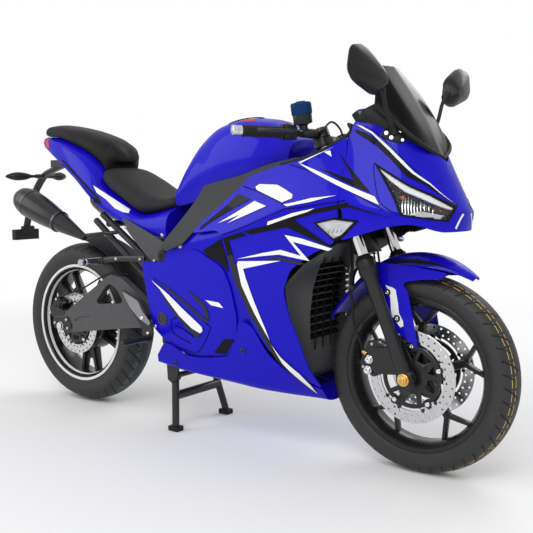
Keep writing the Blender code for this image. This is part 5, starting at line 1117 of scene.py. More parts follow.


# painted crease shade on the fairing, the lower covers and round the lamp
def buildCreaseShades():
    creaseShadeLine("coverSeam", coverSide(120, 470, 300, 620, 450, 755, 610, 895, 622, 955, 520, 1140, 400, 1110,
            250, 1062, 235, 1050))
    creaseShadeLine("coverCrescent", coverSide(330, 832, 285, 850, 285, 930, 310, 975, 455, 1062), steps=4, width=0.0022)
    creaseShadeLine("coverDash", coverSide(318, 902, 400, 940, 485, 1002), width=0.0028)
    creaseShadeLine("coverFoot", coverSide(250, 1075, 480, 1165, 640, 1172, 765, 1180, 870, 1062), width=0.002)
    creaseShadeLine("shoulderSeam", upper(240, 915, 480, 828, 880, 650, 1000, 632, 1290, 590, 1568, 545), "body")
    creaseShadeLine("flankSeam", upper(470, 392, 700, 480, 900, 590), "body")
    creaseShadeLine("flankEdge", noseSide(0, 590, 150, 640, 400, 760, 640, 890, 790, 975), "body")
    creaseShadeLine("lampEdge", pairs(375.2, 162.8, 373.6, 168.0, 376.6, 192.0, 382.0, 204.3, 390.0, 210.5,
            399.0, 215.5), "body", width=0.0012)
    creaseShadeLine("browSeam", noseSide(640, 262, 760, 340, 900, 480, 1070, 640, 1280, 750), "body", width=0.001)


# wheels: centres, sizes and the tread of each
frontAxle = vec(1.4375, 0, 0.293)
rearAxle = vec(0, 0, 0.312)
wheels = {
    "front": {"centre": frontAxle, "radius": 0.293, "half": 0.055, "rim": 0.2215, "rimHalf": 0.043,
            "lines": ((0.019, 0.0212), (0.0325, 0.0345)), "ink": (0.62, 0.38, 0.07), "cuts": 23},
    "rear": {"centre": rearAxle, "radius": 0.308, "half": 0.068, "rim": 0.2215, "rimHalf": 0.056,
            "lines": ((0.02, 0.0218), (0.029, 0.0305)), "ink": (0.02, 0.22, 0.36), "cuts": 20},
}


spokes = 5


def treadRubber(name, spec):
    sheet = Sheet(name, (0.014, 0.014, 0.015))
    x = sheet.along("X") - (spec["centre"].x - middleX)
    z = sheet.along("Z") - spec["centre"].z
    y = sheet.along("Y")
    far = (x * x + z * z).math("SQRT")
    angle = z.math("ARCTAN2", x) / (2 * pi)
    side = abs(y)
    count = spec["cuts"]
    # long slanted cuts from the crown to the shoulder, short ones between them
    lean = angle * count - side * 10.0
    long = lean.part().band(0.455, 0.545) * side.band(0.003, spec["half"] * 0.94)
    short = (lean + 0.5).part().band(0.465, 0.535) * side.band(spec["half"] * 0.38, spec["half"] * 0.97)
    cut = (long + short).least(1.0) * far.over(spec["radius"] - 0.04)
    (lowA, highA), (lowB, highB) = spec["lines"]
    dash = (angle * 46.0).part().under(0.8)
    lines = (side.band(lowA, highA)
            + side.band(lowB, highB)) * dash * far.over(spec["radius"] - 0.02) * (1 - cut)
    rings = (far * 420.0).part().under(0.12) * far.under(spec["rim"] + 0.022) + far.band(spec["rim"] + 0.026,
            spec["rim"] + 0.0275)
    dust = sheet.noise(30.0, 5.0)
    base = sheet.blend(dust, (0.011, 0.011, 0.012), (0.024, 0.024, 0.025))
    # painted shade: the tread cuts are coloured near-black, as well as bumped in
    base = sheet.blend(cut, base, (0.002, 0.002, 0.002))
    sheet.feed("Base Color", sheet.blend(lines, base, spec["ink"]))
    sheet.feed("Roughness", dust * 0.2 + 0.48 + cut * 0.2)
    fine = sheet.noise(500.0, 2.0)
    return sheet.bump(fine * 0.1 - cut * 1.0 + rings.least(1.0) * 0.25, 0.003, 0.9)


def tyreSection(spec):
    rise = spec["radius"] - spec["rim"]
    crown = []
    for step in range(-18, 19):
        a = step / 18 * radians(78)
        crown.append((spec["radius"] - rise * 0.52 * (1 - cos(a)), spec["half"] * sin(a) / sin(radians(78))))
    wall = spec["rim"] + rise * 0.3
    left = [(spec["rim"] + 0.0003, -spec["rimHalf"]), (spec["rim"] + rise * 0.1, -spec["rimHalf"] - 0.004),
            (spec["rim"] + rise * 0.13, -spec["half"] * 0.9), (wall, -spec["half"] * 0.965),
            (spec["rim"] + rise * 0.42, -spec["half"] * 0.998)]
    return left + crown + [(r, -y) for r, y in reversed(left)]


def lipSection(spec, side):
    half, r = spec["rimHalf"], spec["rim"]
    return [(r - 0.002, side * (half - 0.004)), (r + 0.0062, side * (half + 0.0012)),
            (r + 0.0066, side * (half + 0.004)), (r + 0.0035, side * (half + 0.0052)),
            (r - 0.006, side * (half + 0.003)), (r - 0.0125, side * (half - 0.004)),
            (r - 0.015, side * (half - 0.016)), (r - 0.0125, side * (half - 0.016))]


def arm(centre, start, end, widths, depths):  # polar (radius, angle) ends, a tapered spoke with a crowned face
    a = vec(start[0] * cos(start[1]), 0, start[0] * sin(start[1]))
    b = vec(end[0] * cos(end[1]), 0, end[0] * sin(end[1]))
    way = (b - a).normalized()
    across = vec(-way.z, 0, way.x)
    rings = []
    section = ((-1, -0.55), (-0.7, -1), (0.7, -1), (1, -0.55), (1, 0.55), (0.7, 1), (-0.7, 1), (-1, 0.55))
    middle = (a.lerp(b, 0.5), sum(widths) / 2, sum(depths) / 2)
    for place, width, depth in ((a, widths[0], depths[0]), middle, (b, widths[1], depths[1])):
        rings.append([centre + place + across * (u * width) + vec(0, v * depth, 0) for u, v in section])
    return loft(rings)


def buildWheel(key, body, tyreNode):
    spec = wheels[key]
    centre = spec["centre"]
    put(key + "Tyre", ringAbout(tyreSection(spec), centre, 144), finish(key + "Tread", treadRubber, spec), body,
        replaces=[tyreNode], sharp=55)
    barrel = [(spec["rim"], -spec["rimHalf"]), (spec["rim"], spec["rimHalf"]),
            (spec["rim"] - 0.01, spec["rimHalf"]), (spec["rim"] - 0.0205, spec["rimHalf"] * 0.62),
            (spec["rim"] - 0.021, 0.0), (spec["rim"] - 0.0205, -spec["rimHalf"] * 0.62),
            (spec["rim"] - 0.01, -spec["rimHalf"])]
    shape = ringAbout(barrel, centre, 96)
    for side in (-1, 1):
        shape += ringAbout(lipSection(spec, side), centre, 96)
    return spec, centre, shape


def buildFrontWheel():
    _, centre, shape = buildWheel("front", "front_wheel", "front_tyre")
    for index in range(spokes):
        angle = 2 * pi * index / spokes + radians(18)
        shape += arm(centre, (0.024, angle), (0.15, angle), (0.016, 0.0105), (0.02, 0.0125))
        for side in (-1, 1):
            shape += arm(centre, (0.144, angle + side * 0.02), (0.2035, angle + side * radians(14.5)),
                    (0.007, 0.0062), (0.012, 0.011))
        shape += arm(centre, (0.132, angle), (0.152, angle), (0.01, 0.013), (0.012, 0.012))
    shape += hubShape(centre, 0.034, 0.0632, 0.0095)
    put("frontRim", shape, nearBlack("rimBlack", 11, 0.28), "front_wheel", replaces=["front_rim"], sharp=32)
    valve = rod(centre + vec(0.196, -0.012, 0.03), centre + vec(0.17, -0.02, 0.024), 0.0035, 12)
    put("frontValve", valve, rubber(), "front_wheel")
    for side, node in ((-1, "front_disc_r"), (1, "front_disc_l")):
        buildDisc("frontDisc" + ("Right" if side < 0 else "Left"), centre, side * 0.066, 0.136, 0.1, 34, 2,
                node, "front_wheel")


def hubShape(centre, radius, half, bore):
    profile = [(bore, -half), (radius * 0.62, -half), (radius * 0.7, -half * 0.93),
            (radius * 0.85, -half * 0.7), (radius, -half * 0.55), (radius * 1.02, 0.0), (radius, half * 0.55),
            (radius * 0.85, half * 0.7), (radius * 0.7, half * 0.93), (radius * 0.62, half), (bore, half)]
    return ringAbout(profile, centre, 40)


def holedRing(centre, y, inner, outer, cells, rows, thickness, hole=0.003, shear=0.5):
    made = Shape()
    for row in range(rows):
        for cell in range(cells):
            low, high = inner + (outer - inner) * row / rows, inner + (outer - inner) * (row + 1) / rows
            size = 2 * pi / cells
            start = (cell + shear * row) * size
            rim, ring = [], []
            mid = (low + high) / 2
            for u, v in ((0, 0), (0.5, 0), (1, 0), (1, 0.5), (1, 1), (0.5, 1), (0, 1), (0, 0.5)):
                rim.append((low + (high - low) * v, start + (u + shear * v) * size))
            middle = start + (0.5 + shear * 0.5) * size
            for step in range(8):
                turn = -3 * pi / 4 + step * pi / 4
                ring.append((mid + hole * sin(turn), middle + hole * cos(turn) / mid))
            points, faces = [], []
            for level in (y - thickness / 2, y + thickness / 2):
                for r, a in rim + ring:
                    points.append(centre + vec(r * cos(a), level, r * sin(a)))
            for step in range(8):
                after = (step + 1) % 8
                faces.append((step, after, 8 + after, 8 + step))
                faces.append((16 + step, 24 + step, 24 + after, 16 + after))
                faces.append((8 + step, 8 + after, 24 + after, 24 + step))
            if row == 0:
                faces += [(0, 16, 17, 1), (1, 17, 18, 2)]
            if row == rows - 1:
                faces += [(4, 20, 21, 5), (5, 21, 22, 6)]
            made += Shape(points, faces)
    return made


def buildDisc(name, centre, offset, outer, inner, cells, rows, node, body):
    thickness = 0.004
    band = holedRing(centre, offset, inner, outer, cells, rows, thickness, 0.0036)
    put(name, band, finish("discSteel", bareMetal, (0.66, 0.66, 0.67), 0.24), body, replaces=[node], sharp=30)
    carrier = ringAbout(mm(21.5, -3, 21.5, 3, 46, 3, 50, 1, 50, -1, 46, -3),
                        centre + vec(0, offset, 0), 48)
    buttons, bolts = Shape(), Shape()
    ring = inner - 0.01
    carrier += ringAbout([(ring - 0.01, -0.0022), (ring - 0.01, 0.0022), (ring + 0.002, 0.0022),
            (ring + 0.002, -0.0022)], centre + vec(0, offset, 0), 60)
    face = -1 if offset < 0 else 1
    for index in range(spokes):
        angle = 2 * pi * index / spokes + radians(18)
        for lean in (-0.3, 0.3):
            carrier += arm(centre + vec(0, offset, 0), (0.044, angle + lean * 0.4),
                    (ring - 0.006, angle + lean), (0.008, 0.0065), (0.0028, 0.0022))
        carrier += arm(centre + vec(0, offset, 0), (ring - 0.014, angle), (inner + 0.004, angle),
                (0.011, 0.0085), (0.0022, 0.0022))
        place = centre + vec(ring * 0.995 * cos(angle), offset + face * 0.002, ring * 0.995 * sin(angle))
        bolts += bolt(place, (0, face, 0), 0.0075, 0.0045)
        for shift in (-0.24, 0.24):
            spot = centre + vec((inner + 0.001) * cos(angle + shift), offset,
                    (inner + 0.001) * sin(angle + shift))
            buttons += lathe(spot - vec(0, 0.0035, 0), (0, 1, 0), mm(0, 4.5, 0.8, 5.5, 6.2, 5.5, 7, 4.5), 16)
    put(name + "Carrier", carrier, nearBlack("carrierBlack", 12, 0.3), body, sharp=30)
    put(name + "Bolts", bolts, chrome(), body, sharp=30)
    put(name + "Buttons", buttons, satin(), body, sharp=30)


def buildRearWheel():
    spec, centre, shape = buildWheel("rear", "rear_wheel", "rear_tyre")
    for index in range(spokes):
        angle = 2 * pi * index / spokes + radians(54)
        for side in (-1, 1):
            shape += arm(centre, (0.098, angle + side * radians(13)), (0.2035, angle + side * radians(11.5)),
                    (0.0105, 0.0085), (0.019, 0.014))
        shape += arm(centre, (0.105, angle), (0.15, angle), (0.02, 0.01), (0.008, 0.005))
    profile = mm(10, -52, 50, -52, 56, -50, 98, -43, 106, -39, 112, -34, 112, 34, 106, 39, 98, 43, 56, 50,
            50, 52, 10, 52)
    motor = ringAbout(profile, centre, 96)
    fins = Shape()
    for index in range(40):
        angle = 2 * pi * index / 40
        for face in (-1, 1):
            start = centre + vec(0.06 * cos(angle), face * 0.0495, 0.06 * sin(angle))
            end = centre + vec(0.1 * cos(angle), face * 0.0445, 0.1 * sin(angle))
            fins += tube([start, end], 0.0022, 6, 1)
    shape += motor + fins
    put("rearRim", shape, nearBlack("rimBlack", 11, 0.28), "rear_wheel", replaces=["rear_rim"], sharp=32)
    pale = finish("rimLine", film, (0.72, 0.72, 0.73), 0.3)
    for side in (-1, 1):
        y = side * (spec["rimHalf"] + 0.0058)
        ring = ringAbout([(0.2165, y - side * 0.0022), (0.2175, y), (0.2262, y), (0.2272, y - side * 0.0015)],
                centre, 96, closed=False)
        put("rimLine" + ("Right" if side < 0 else "Left"), ring, pale, "rear_wheel")
        inside = ringAbout([(0.2015, side * 0.0345), (0.206, side * 0.0485)], centre, 96, closed=False)
        put("rimLineInner" + ("Right" if side < 0 else "Left"), inside, pale, "rear_wheel")
    screws = Shape()
    for index in range(12):
        angle = 2 * pi * index / 12
        screws += bolt(centre + vec(0.105 * cos(angle), -0.0375, 0.105 * sin(angle)), (0, -1, 0), 0.0035,
                0.0035, 12)
    put("motorScrews", screws, steel(), "rear_wheel", sharp=30)
    buildDisc("rearDisc", centre, -0.074, 0.118, 0.084, 30, 2, "rear_disc", "rear_wheel")


# steering head: places along the axis, ahead of it and to its left
rake = radians(22.5)
upWay = vec(-sin(rake), 0, cos(rake))
foreWay = vec(cos(rake), 0, sin(rake))
sideWay = vec(0, 1, 0)
fork = {"offset": 0.035, "spacing": 0.1, "top": 0.765, "lowYoke": 0.565, "topYoke": 0.715, "thick": 0.026}


def steer(along, fore=0.0, side=0.0):
    return frontAxle + foreWay * (fore - fork["offset"]) + upWay * along + sideWay * side


def calliperPlace(axle, radius, angle):
    reach = radius - 0.052 * 0.3
    return axle + vec(reach * cos(angle), 0, reach * sin(angle))


def buildFork():
    start = steer(0, fork["offset"], -fork["spacing"])
    lower = lathe(start, upWay, mm(-35, 15, -33, 17.5, -28, 19, 20, 19.6, 120, 19.2, 220, 19.8, 292, 20.6,
            306, 22.5, 314, 26.8, 320, 28.5, 333.5, 28.5, 334.5, 27.5, 337.5, 27.5, 338.5, 28.5, 356, 28.5,
            361, 27.6, 365, 25, 366, 19), 48)
    clamp = lathe(frontAxle - sideWay * 0.1165, (0, 1, 0), mm(0, 22.5, 2, 24.6, 34, 24.6, 35.5, 23.5), 40)
    pinch = block(steer(-0.03, fork["offset"] - 0.016, -0.1005), (0.02, 0.03, 0.016), rake)
    place = calliperPlace(frontAxle, 0.136, radians(158))
    lug = [(place.x - 0.017, place.z + 0.0322), (place.x - 0.01, place.z - 0.02),
            (place.x + 0.0128, place.z - 0.0442), (frontAxle.x - 0.0062, frontAxle.z + 0.0123),
            (frontAxle.x - 0.0348, frontAxle.z + 0.0841)]
    bracket = plate(rounded(lug, 2, 0.16), -0.1014, -0.0916)
    both("forkLower", lower + clamp + pinch + bracket, nearBlack("forkBlack", 13, 0.42), "steering",
         replaces=["fork_leg"], sharp=34, bevel=0.0012, limit=50)
    tube_ = lathe(start, upWay, mm(362, 16, 363, 16.5, 764.5, 16.5, 765, 16), 40)
    both("forkTube", tube_, finish("forkChrome", bareMetal, (0.8, 0.8, 0.81), 0.1), "steering")
    seal = lathe(start, upWay, mm(365.5, 21.5, 370, 21, 373.5, 18, 375, 16.6), 40)
    both("forkSeal", seal, rubber(), "steering")
    cap = lathe(start, upWay, mm(765.2, 15, 769, 15, 770, 14), 6) \
        + lathe(start, upWay, [(0.77, 0.0075), (0.776, 0.007)], 20)
    both("forkCap", cap, steel(), "steering", bevel=0.0006)
    bolts = bolt(steer(-0.03, fork["offset"] - 0.027, -0.1), -foreWay, 0.005, 0.004)
    bolts += bolt(steer(0.014, fork["offset"], -0.1195) - sideWay * 0.0005, (0, -1, 0), 0.004, 0.003)
    both("forkBolts", bolts, steel(), "steering")
    nut = lathe(frontAxle - sideWay * 0.1208, (0, -1, 0), mm(0, 14.8, 7, 15, 8.4, 13.5), 6)
    washer = lathe(frontAxle - sideWay * 0.1172, (0, -1, 0), mm(0, 18.5, 3, 18.5, 3.6, 17.5), 36)
    pin = lathe(frontAxle - sideWay * 0.128, (0, -1, 0), mm(0, 8.8, 3.5, 8.8, 4.5, 7.5, 4.5, 3.5, 1.5, 3), 24)
    both("axleNut", nut + washer, gold(), "steering", bevel=0.0006)
    both("axlePin", pin, gold(), "steering")
    put("axleRod", rod(frontAxle - sideWay * 0.128, frontAxle + sideWay * 0.128, 0.0088, 24), steel(),
            "steering", replaces=["front_axle"])


def calliperShape(axle, radius, offset, angle, length=0.085, height=0.052):
    centre = calliperPlace(axle, radius, angle)
    out = vec(cos(angle), 0, sin(angle))
    tangent = vec(-sin(angle), 0, cos(angle))
    slot = 0.007
    cheek = [(-0.5, -0.35), (-0.42, -0.5), (-0.12, -0.5), (-0.05, -0.4), (0.05, -0.4), (0.12, -0.5),
            (0.42, -0.5), (0.5, -0.35), (0.5, 0.3), (0.35, 0.5), (-0.35, 0.5), (-0.5, 0.3)]
    flat = lambda shares: [(centre + tangent * a * length + out * b * height) for a, b in shares]
    outline = [(p.x, p.z) for p in flat(cheek)]
    rise = (radius + 0.005 - (centre - axle).length) / height
    bridge = [(p.x, p.z) for p in flat([(-0.4, rise), (-0.14, rise), (-0.12, 0.5), (0.12, 0.5), (0.14, rise),
            (0.4, rise), (0.35, 0.62), (-0.35, 0.62)])]
    made = plate(rounded(outline, 1, 0.12), -offset - slot - 0.018, -offset - slot)
    made += plate(rounded(outline, 1, 0.12), -offset + slot, -offset + slot + 0.0126)
    made += plate(bridge, -offset - slot - 0.011, -offset + slot + 0.007)
    caps, bolts = Shape(), Shape()
    face = -offset - slot - 0.018
    for shift in (-0.24, 0.24):
        spot = centre + tangent * shift * length - out * 0.05 * height
        spot.y = face
        made += lathe(spot, (0, -1, 0), mm(0, 17, 2, 17, 3, 16), 32)
        caps += lathe(spot - sideWay * 0.003, (0, -1, 0), mm(0, 12.5, 1.2, 12, 1.2, 6, 0.4, 5.5), 28)
        spot = centre + tangent * shift * 1.55 * length + out * 0.3 * height
        spot.y = face
        bolts += bolt(spot, (0, -1, 0), 0.0052, 0.0045)
    nipple = centre - tangent * 0.46 * length + out * 0.4 * height
    nipple.y = face + 0.009
    bolts += lathe(nipple, out - tangent, mm(0, 4, 8, 4, 9, 2.5, 14, 2.5), 12)
    return made, caps, bolts, centre, out, tangent


def hose(name, line, radius=0.0034):
    both(name, tube(line, radius, 10, 8), rubber(), "steering")


def buildCallipers():
    made, caps, bolts, centre, out, tangent = calliperShape(frontAxle, 0.136, 0.066, radians(158), 0.102, 0.062)
    black = nearBlack("calliperBlack", 12, 0.26)
    both("frontCalliper", made, black, "steering", replaces=["front_calliper"], sharp=34, bevel=0.0014,
            limit=40)
    both("frontCalliperCaps", caps, satin(), "steering")
    both("frontCalliperBolts", bolts, steel(), "steering")
    big = Shape()
    for x, z in ((1.318, 0.335), (1.314, 0.303)):
        big += lathe((x, -0.1014, z), (0, -1, 0), mm(0, 12.5, 1.5, 12.5, 2.2, 11.5, 2.2, 10, 8.5, 10, 9.5, 8.8,
                9.5, 4.4, 4, 4), 28)
    both("frontCalliperMounts", big, chrome(), "steering")
    end = centre + out * 0.03
    end.y = -0.087
    banjo = lathe(end - out * 0.004, out, mm(0, 7.5, 9, 7.5, 10, 6.5, 15, 6), 20)
    both("banjo", banjo, gold(), "steering")
    top = [end + out * 0.012, end + out * 0.02 + vec(0, 0, 0.025), vec(1.262, -0.09, 0.43),
            steer(0.29, -0.048, -0.09), steer(0.37, -0.018, -0.078), steer(0.45, 0.000, -0.07),
            steer(0.56, 0.006, -0.06)]
    hose("frontHose", top)
    second = [point + vec(-0.01, 0.01, 0.006) for point in top]
    second[0], second[-1] = top[0] + vec(0.002, 0.006, 0.004), top[-1] + vec(0.0, 0.01, 0.0)
    hose("frontHoseTwin", second, radius=0.0028)
    grip = block(steer(0.3, -0.04, -0.088), (0.014, 0.016, 0.01), 0.4)
    both("hoseGuide", grip, satin(), "steering", bevel=0.001)
    made, caps, bolts, centre, out, tangent = calliperShape(rearAxle, 0.118, 0.074, radians(148))
    bracket = [(centre.x - 0.017, centre.z + 0.0156), (centre.x - 0.0085, centre.z - 0.026),
            (-0.0085, rearAxle.z - 0.0052), (0.02, rearAxle.z - 0.01), (0.0425, rearAxle.z + 0.039)]
    made += plate(rounded(bracket, 2, 0.15), -0.1182, -0.0902)
    put("rearCalliper", made, black, "bike", replaces=["rear_calliper"], sharp=34, bevel=0.0014, limit=40)
    put("rearCalliperCaps", caps, satin())
    for x, z in ((-0.08, 0.368), (-0.084, 0.342)):
        bolts += bolt((x, -0.101, z), (0, -1, 0), 0.0062, 0.006)
    put("rearCalliperBolts", bolts, chrome())
    line = [centre + tangent * -0.04 + vec(0, -0.098, 0.012), vec(0.01, -0.122, 0.43), vec(0.1, -0.1165, 0.462),
            vec(0.23, -0.1165, 0.52), vec(0.34, -0.1165, 0.527)]
    put("rearHose", tube(line, 0.0032, 10, 8), rubber())


def yokeShape(low):
    right = mm(-30, -23.2, 5, -80, 12.5, -112, 17, -126, 35, -130, 53, -126, 60.5, -80, 52, -30, 48.4, -14.5)
    outline = right + [(x, -y) for x, y in reversed(right)]
    outline = rounded(outline, 2, 0.14)
    return loft([[steer(low + lift * fork["thick"], x, y) for x, y in outline] for lift in (0.0, 1.0)])


def buildYokes():
    shape = yokeShape(fork["lowYoke"]) + yokeShape(fork["topYoke"]) + rod(steer(0.569), steer(0.719), 0.014, 28)
    put("yokes", shape, nearBlack("yokeBlack", 14, 0.36), "steering", replaces=["triple_clamp"], sharp=34,
        bevel=0.0018, limit=50)
    top = fork["topYoke"] + fork["thick"]
    nut = lathe(steer(top), upWay, mm(0, 19, 2, 19, 2.5, 16.5, 11, 16.5, 12, 15.5, 12, 8, 6, 7), 6)
    put("stemNut", nut, chrome(), "steering", bevel=0.0007)
    lock = lathe(steer(top, 0.042), upWay, mm(0, 17, 10, 17, 12, 15.5, 12, 4, 9, 3.5), 28)
    put("keyLock", lock, satin(), "steering", bevel=0.0006)
    bolts = Shape()
    for level in (fork["lowYoke"] + 0.013, fork["topYoke"] + 0.013):
        for side in (-1, 1):
            bolts += bolt(steer(level, 0.0115, side * 0.108), -foreWay, 0.0048, 0.004)
    put("yokeBolts", bolts, steel(), "steering")
    shield = [[steer(along, fore + 0.006 * (1 - abs(side)), side * half) for side in (-1, -0.5, 0, 0.5, 1)]
            for along, fore, half in ((0.562, -0.006, 0.078), (0.5, -0.008, 0.081), (0.44, -0.006, 0.081),
            (0.388, 0.000, 0.078))]
    put("steeringShield", openSheet(shield), plastic(), "steering", wall=0.003)


def buildBars():
    start = steer(0.7563, fork["offset"], -0.1198)
    end = vec(1.00007, -0.335, 1.0)
    way = (end - start).normalized()
    ahead = vec(-way.y, way.x, 0).normalized()
    ring = lathe(steer(0.7413, fork["offset"], -fork["spacing"]), upWay,
            mm(0, 24.5, 1.5, 26, 28.5, 26, 30, 24.5), 36)
    bar = rod(start, end - way * 0.03, 0.011, 24)
    lug = block(start + way * 0.004 - upWay * 0.001, (0.03, 0.034, 0.024), 0.39)
    both("clipOn", ring + bar + lug, nearBlack("barBlack", 13, 0.3), "steering", replaces=["handlebar"],
            bevel=0.0012, limit=45)
    base = end - way * 0.155
    ribs = mm(0, 20.5, 2.5, 21.5, 6, 21.5, 8, 17)
    for index in range(18):
        ribs += [(0.01 + index * 0.0058, 0.0158), (0.0108 + index * 0.0058, 0.0168),
                (0.0142 + index * 0.0058, 0.0168), (0.015 + index * 0.0058, 0.0158)]
    ribs += mm(118.5, 16.2, 120, 18.2, 124, 18.2, 125, 16.5)
    both("grip", lathe(base, way, ribs, 32), finish("gripRubber", moulded, (0.016, 0.016, 0.017), 0.62, 500.0),
            "steering", sharp=30)
    knob = lathe(end - way * 0.0298, way, mm(0, 12, 1, 14.5, 12, 14.5, 13, 12.8, 16, 12.8, 17, 15, 28.5, 15,
            30, 12.5), 32)
    both("barEnd", knob, chrome(), "steering")
    box = Shape()
    for lowEdge, high, grow in ((0.0, 0.017, 1.0), (0.0175, 0.036, 1.08)):
        rings = []
        for far, scale in ((lowEdge, 0.9), (lowEdge + 0.002, 1.0), (high - 0.002, 1.0), (high, 0.9)):
            outline = rounded(mm(-21, -20, 24, -20, 26, 14, 12, 24, -21, 22), 2, 0.18)
            rings.append([base - way * 0.036 + way * far + ahead * (u * scale * grow)
                    + vec(0, 0, v * scale * grow) for u, v in outline])
        box += loft(rings)
    both("switchBox", box, plastic(), "steering", sharp=30)
    lift = vec(0, 0, 0.0225)
    red = lathe(base - way * 0.012 + lift, (0, 0, 1), mm(0, 6.5, 4, 6.5, 5, 5), 24)
    both("stopButton", red, finish("buttonRed", film, (0.5, 0.015, 0.012), 0.25), "steering")
    toggle = block(base - way * 0.028 + lift, (0.007, 0.012, 0.007),
            0.3) + block(base - way * 0.02 - ahead * 0.022, (0.006, 0.008, 0.014), 0.1)
    both("switchKeys", toggle, steel(), "steering", bevel=0.001)
    buildBrakeControl(start, way, ahead)


def buildBrakeControl(start, way, ahead):
    centre = start + way * 0.036 + ahead * 0.0233
    body = lathe(centre - way * 0.025, way, mm(0, 9.5, 2, 11.8, 48, 12, 50, 10), 28)
    body += block(centre - ahead * 0.012, (0.024, 0.03, 0.028), 0.1)
    foot = centre + vec(0, 0, 0.0072) + way * 0.014
    tall = (vec(0, 0, 1) + way * 0.14).normalized()
    neck = lathe(foot, tall, mm(0, 12, 12, 12, 15, 14, 17.5, 19), 28)
    lever = tube([centre + way * 0.0175, centre + way * 0.0475 + ahead * 0.036, centre + way * 0.1075
            + ahead * 0.045, centre + way * 0.15 + ahead * 0.04, centre + way * 0.1665 + ahead * 0.0315],
            [0.0085, 0.0062, 0.0058, 0.0052, 0.0068], 14, 6, 0.72)
    both("brakeLever", body + neck + lever, nearBlack("leverBlack", 14, 0.3), "steering",
         replaces=["brake_control"], sharp=36, bevel=0.001, limit=45)
    cup = lathe(foot, tall, mm(17, 18, 19.5, 27.2, 44, 28.2, 46, 27.6), 36)
    both("brakeCup", cup, finish("cupGrey", moulded, (0.02, 0.021, 0.023), 0.25), "steering")
    lid = lathe(foot, tall, mm(45.5, 28.8, 47, 29.8, 77, 29.8, 79, 29, 80.5, 26.5, 80.5, 16, 82.5, 15,
            84, 12.5), 40)
    _, first, second = frameOf(tall)
    flutes = Shape()
    for index in range(16):
        a = 2 * pi * index / 16
        rim = foot + first * (0.0294 * cos(a)) + second * (0.0294 * sin(a))
        flutes += rod(rim + tall * 0.049, rim + tall * 0.076, 0.0016, 6)
    both("brakeCap", lid + flutes, finish("capBlue", film, (0.008, 0.035, 0.12), 0.16), "steering")
    screws = bolt(centre + way * 0.0175 + vec(0, 0, 0.0105), (0, 0, 1), 0.0055, 0.004)
    both("leverScrew", screws, chrome(), "steering")
    line = [centre - way * 0.026, centre - way * 0.045 + vec(0, 0, 0.012), steer(0.79, 0.055, -0.05),
            steer(0.76, 0.064, -0.03), steer(0.7, 0.058, -0.03)]
    both("controlHose", tube(line, 0.0032, 10, 8), rubber(), "steering")
    wire = [centre + way * 0.07 - ahead * 0.02, centre + way * 0.02 - ahead * 0.024, steer(0.77, 0.006, -0.075),
            steer(0.752, -0.004, -0.052), steer(0.7, -0.004, -0.045)]
    both("controlWire", tube(wire, 0.0026, 8, 8), rubber(), "steering")


guard = {"clearance": 0.036, "crown": 0.026, "half": 0.069, "wall": 0.0035, "front": radians(60),
        "rear": radians(152), "skirt": 0.03}


def guardPoint(share, across, lift=0.0):
    angle = guard["front"] + (guard["rear"] - guard["front"]) * share
    crown = guard["crown"] * sin(pi * min(share * 1.15 + 0.1, 1.0))
    width = guard["half"] * min(1.0, 0.3 + share * 3.2)
    bow = cos(across * radians(78))
    skirt = guard["skirt"] * (1 - bow) * min(1.0, 0.35 + share * 2.2)
    height = wheels["front"]["radius"] + guard["clearance"] + crown - skirt - crown * (1 - bow) * 0.6 + lift
    place = frontAxle + vec(height * cos(angle), 0, height * sin(angle))
    return place + sideWay * (width + lift * 0.4) * sin(across * radians(78)) / sin(radians(78))


def buildMudguard():
    rows = [[guardPoint(step / 44, side / 10) for side in range(-10, 11)] for step in range(45)]
    put("frontGuard", openSheet(rows), blue(), "steering", replaces=["front_mudguard"], wall=-0.0035, sharp=55,
        bevel=0.001, limit=50)
    line = [atPixelOnBlade(px, py) for px, py in scaled(340, 220, 6.031, 212, 250, 240, 256, 330, 266, 430, 281,
            560, 304, 636, 320, 646, 336, 598, 360, 480, 362, 395, 374, 380, 394, 406, 430, 432, 560, 467, 776,
            258, 606, 272, 548, 204, 362)]
    both("guardBlade", skinSheet(line, bladeSide, 0.016), blue(), "steering", wall=0.0045, sharp=40,
            bevel=0.001, limit=45)
    boss = rod(frontAxle + upWay * 0.326 - sideWay * 0.058, frontAxle + upWay * 0.326 - sideWay * 0.0712, 0.011,
            24)
    both("guardBoss", boss, satin(), "steering")
    buildGuardTrim()


def bladeSide(x, z):  # how far out the blade's face lies
    level = min(max((0.6 - z) / 0.13, 0.0), 1.0)
    return 0.069 + 0.0095 * level


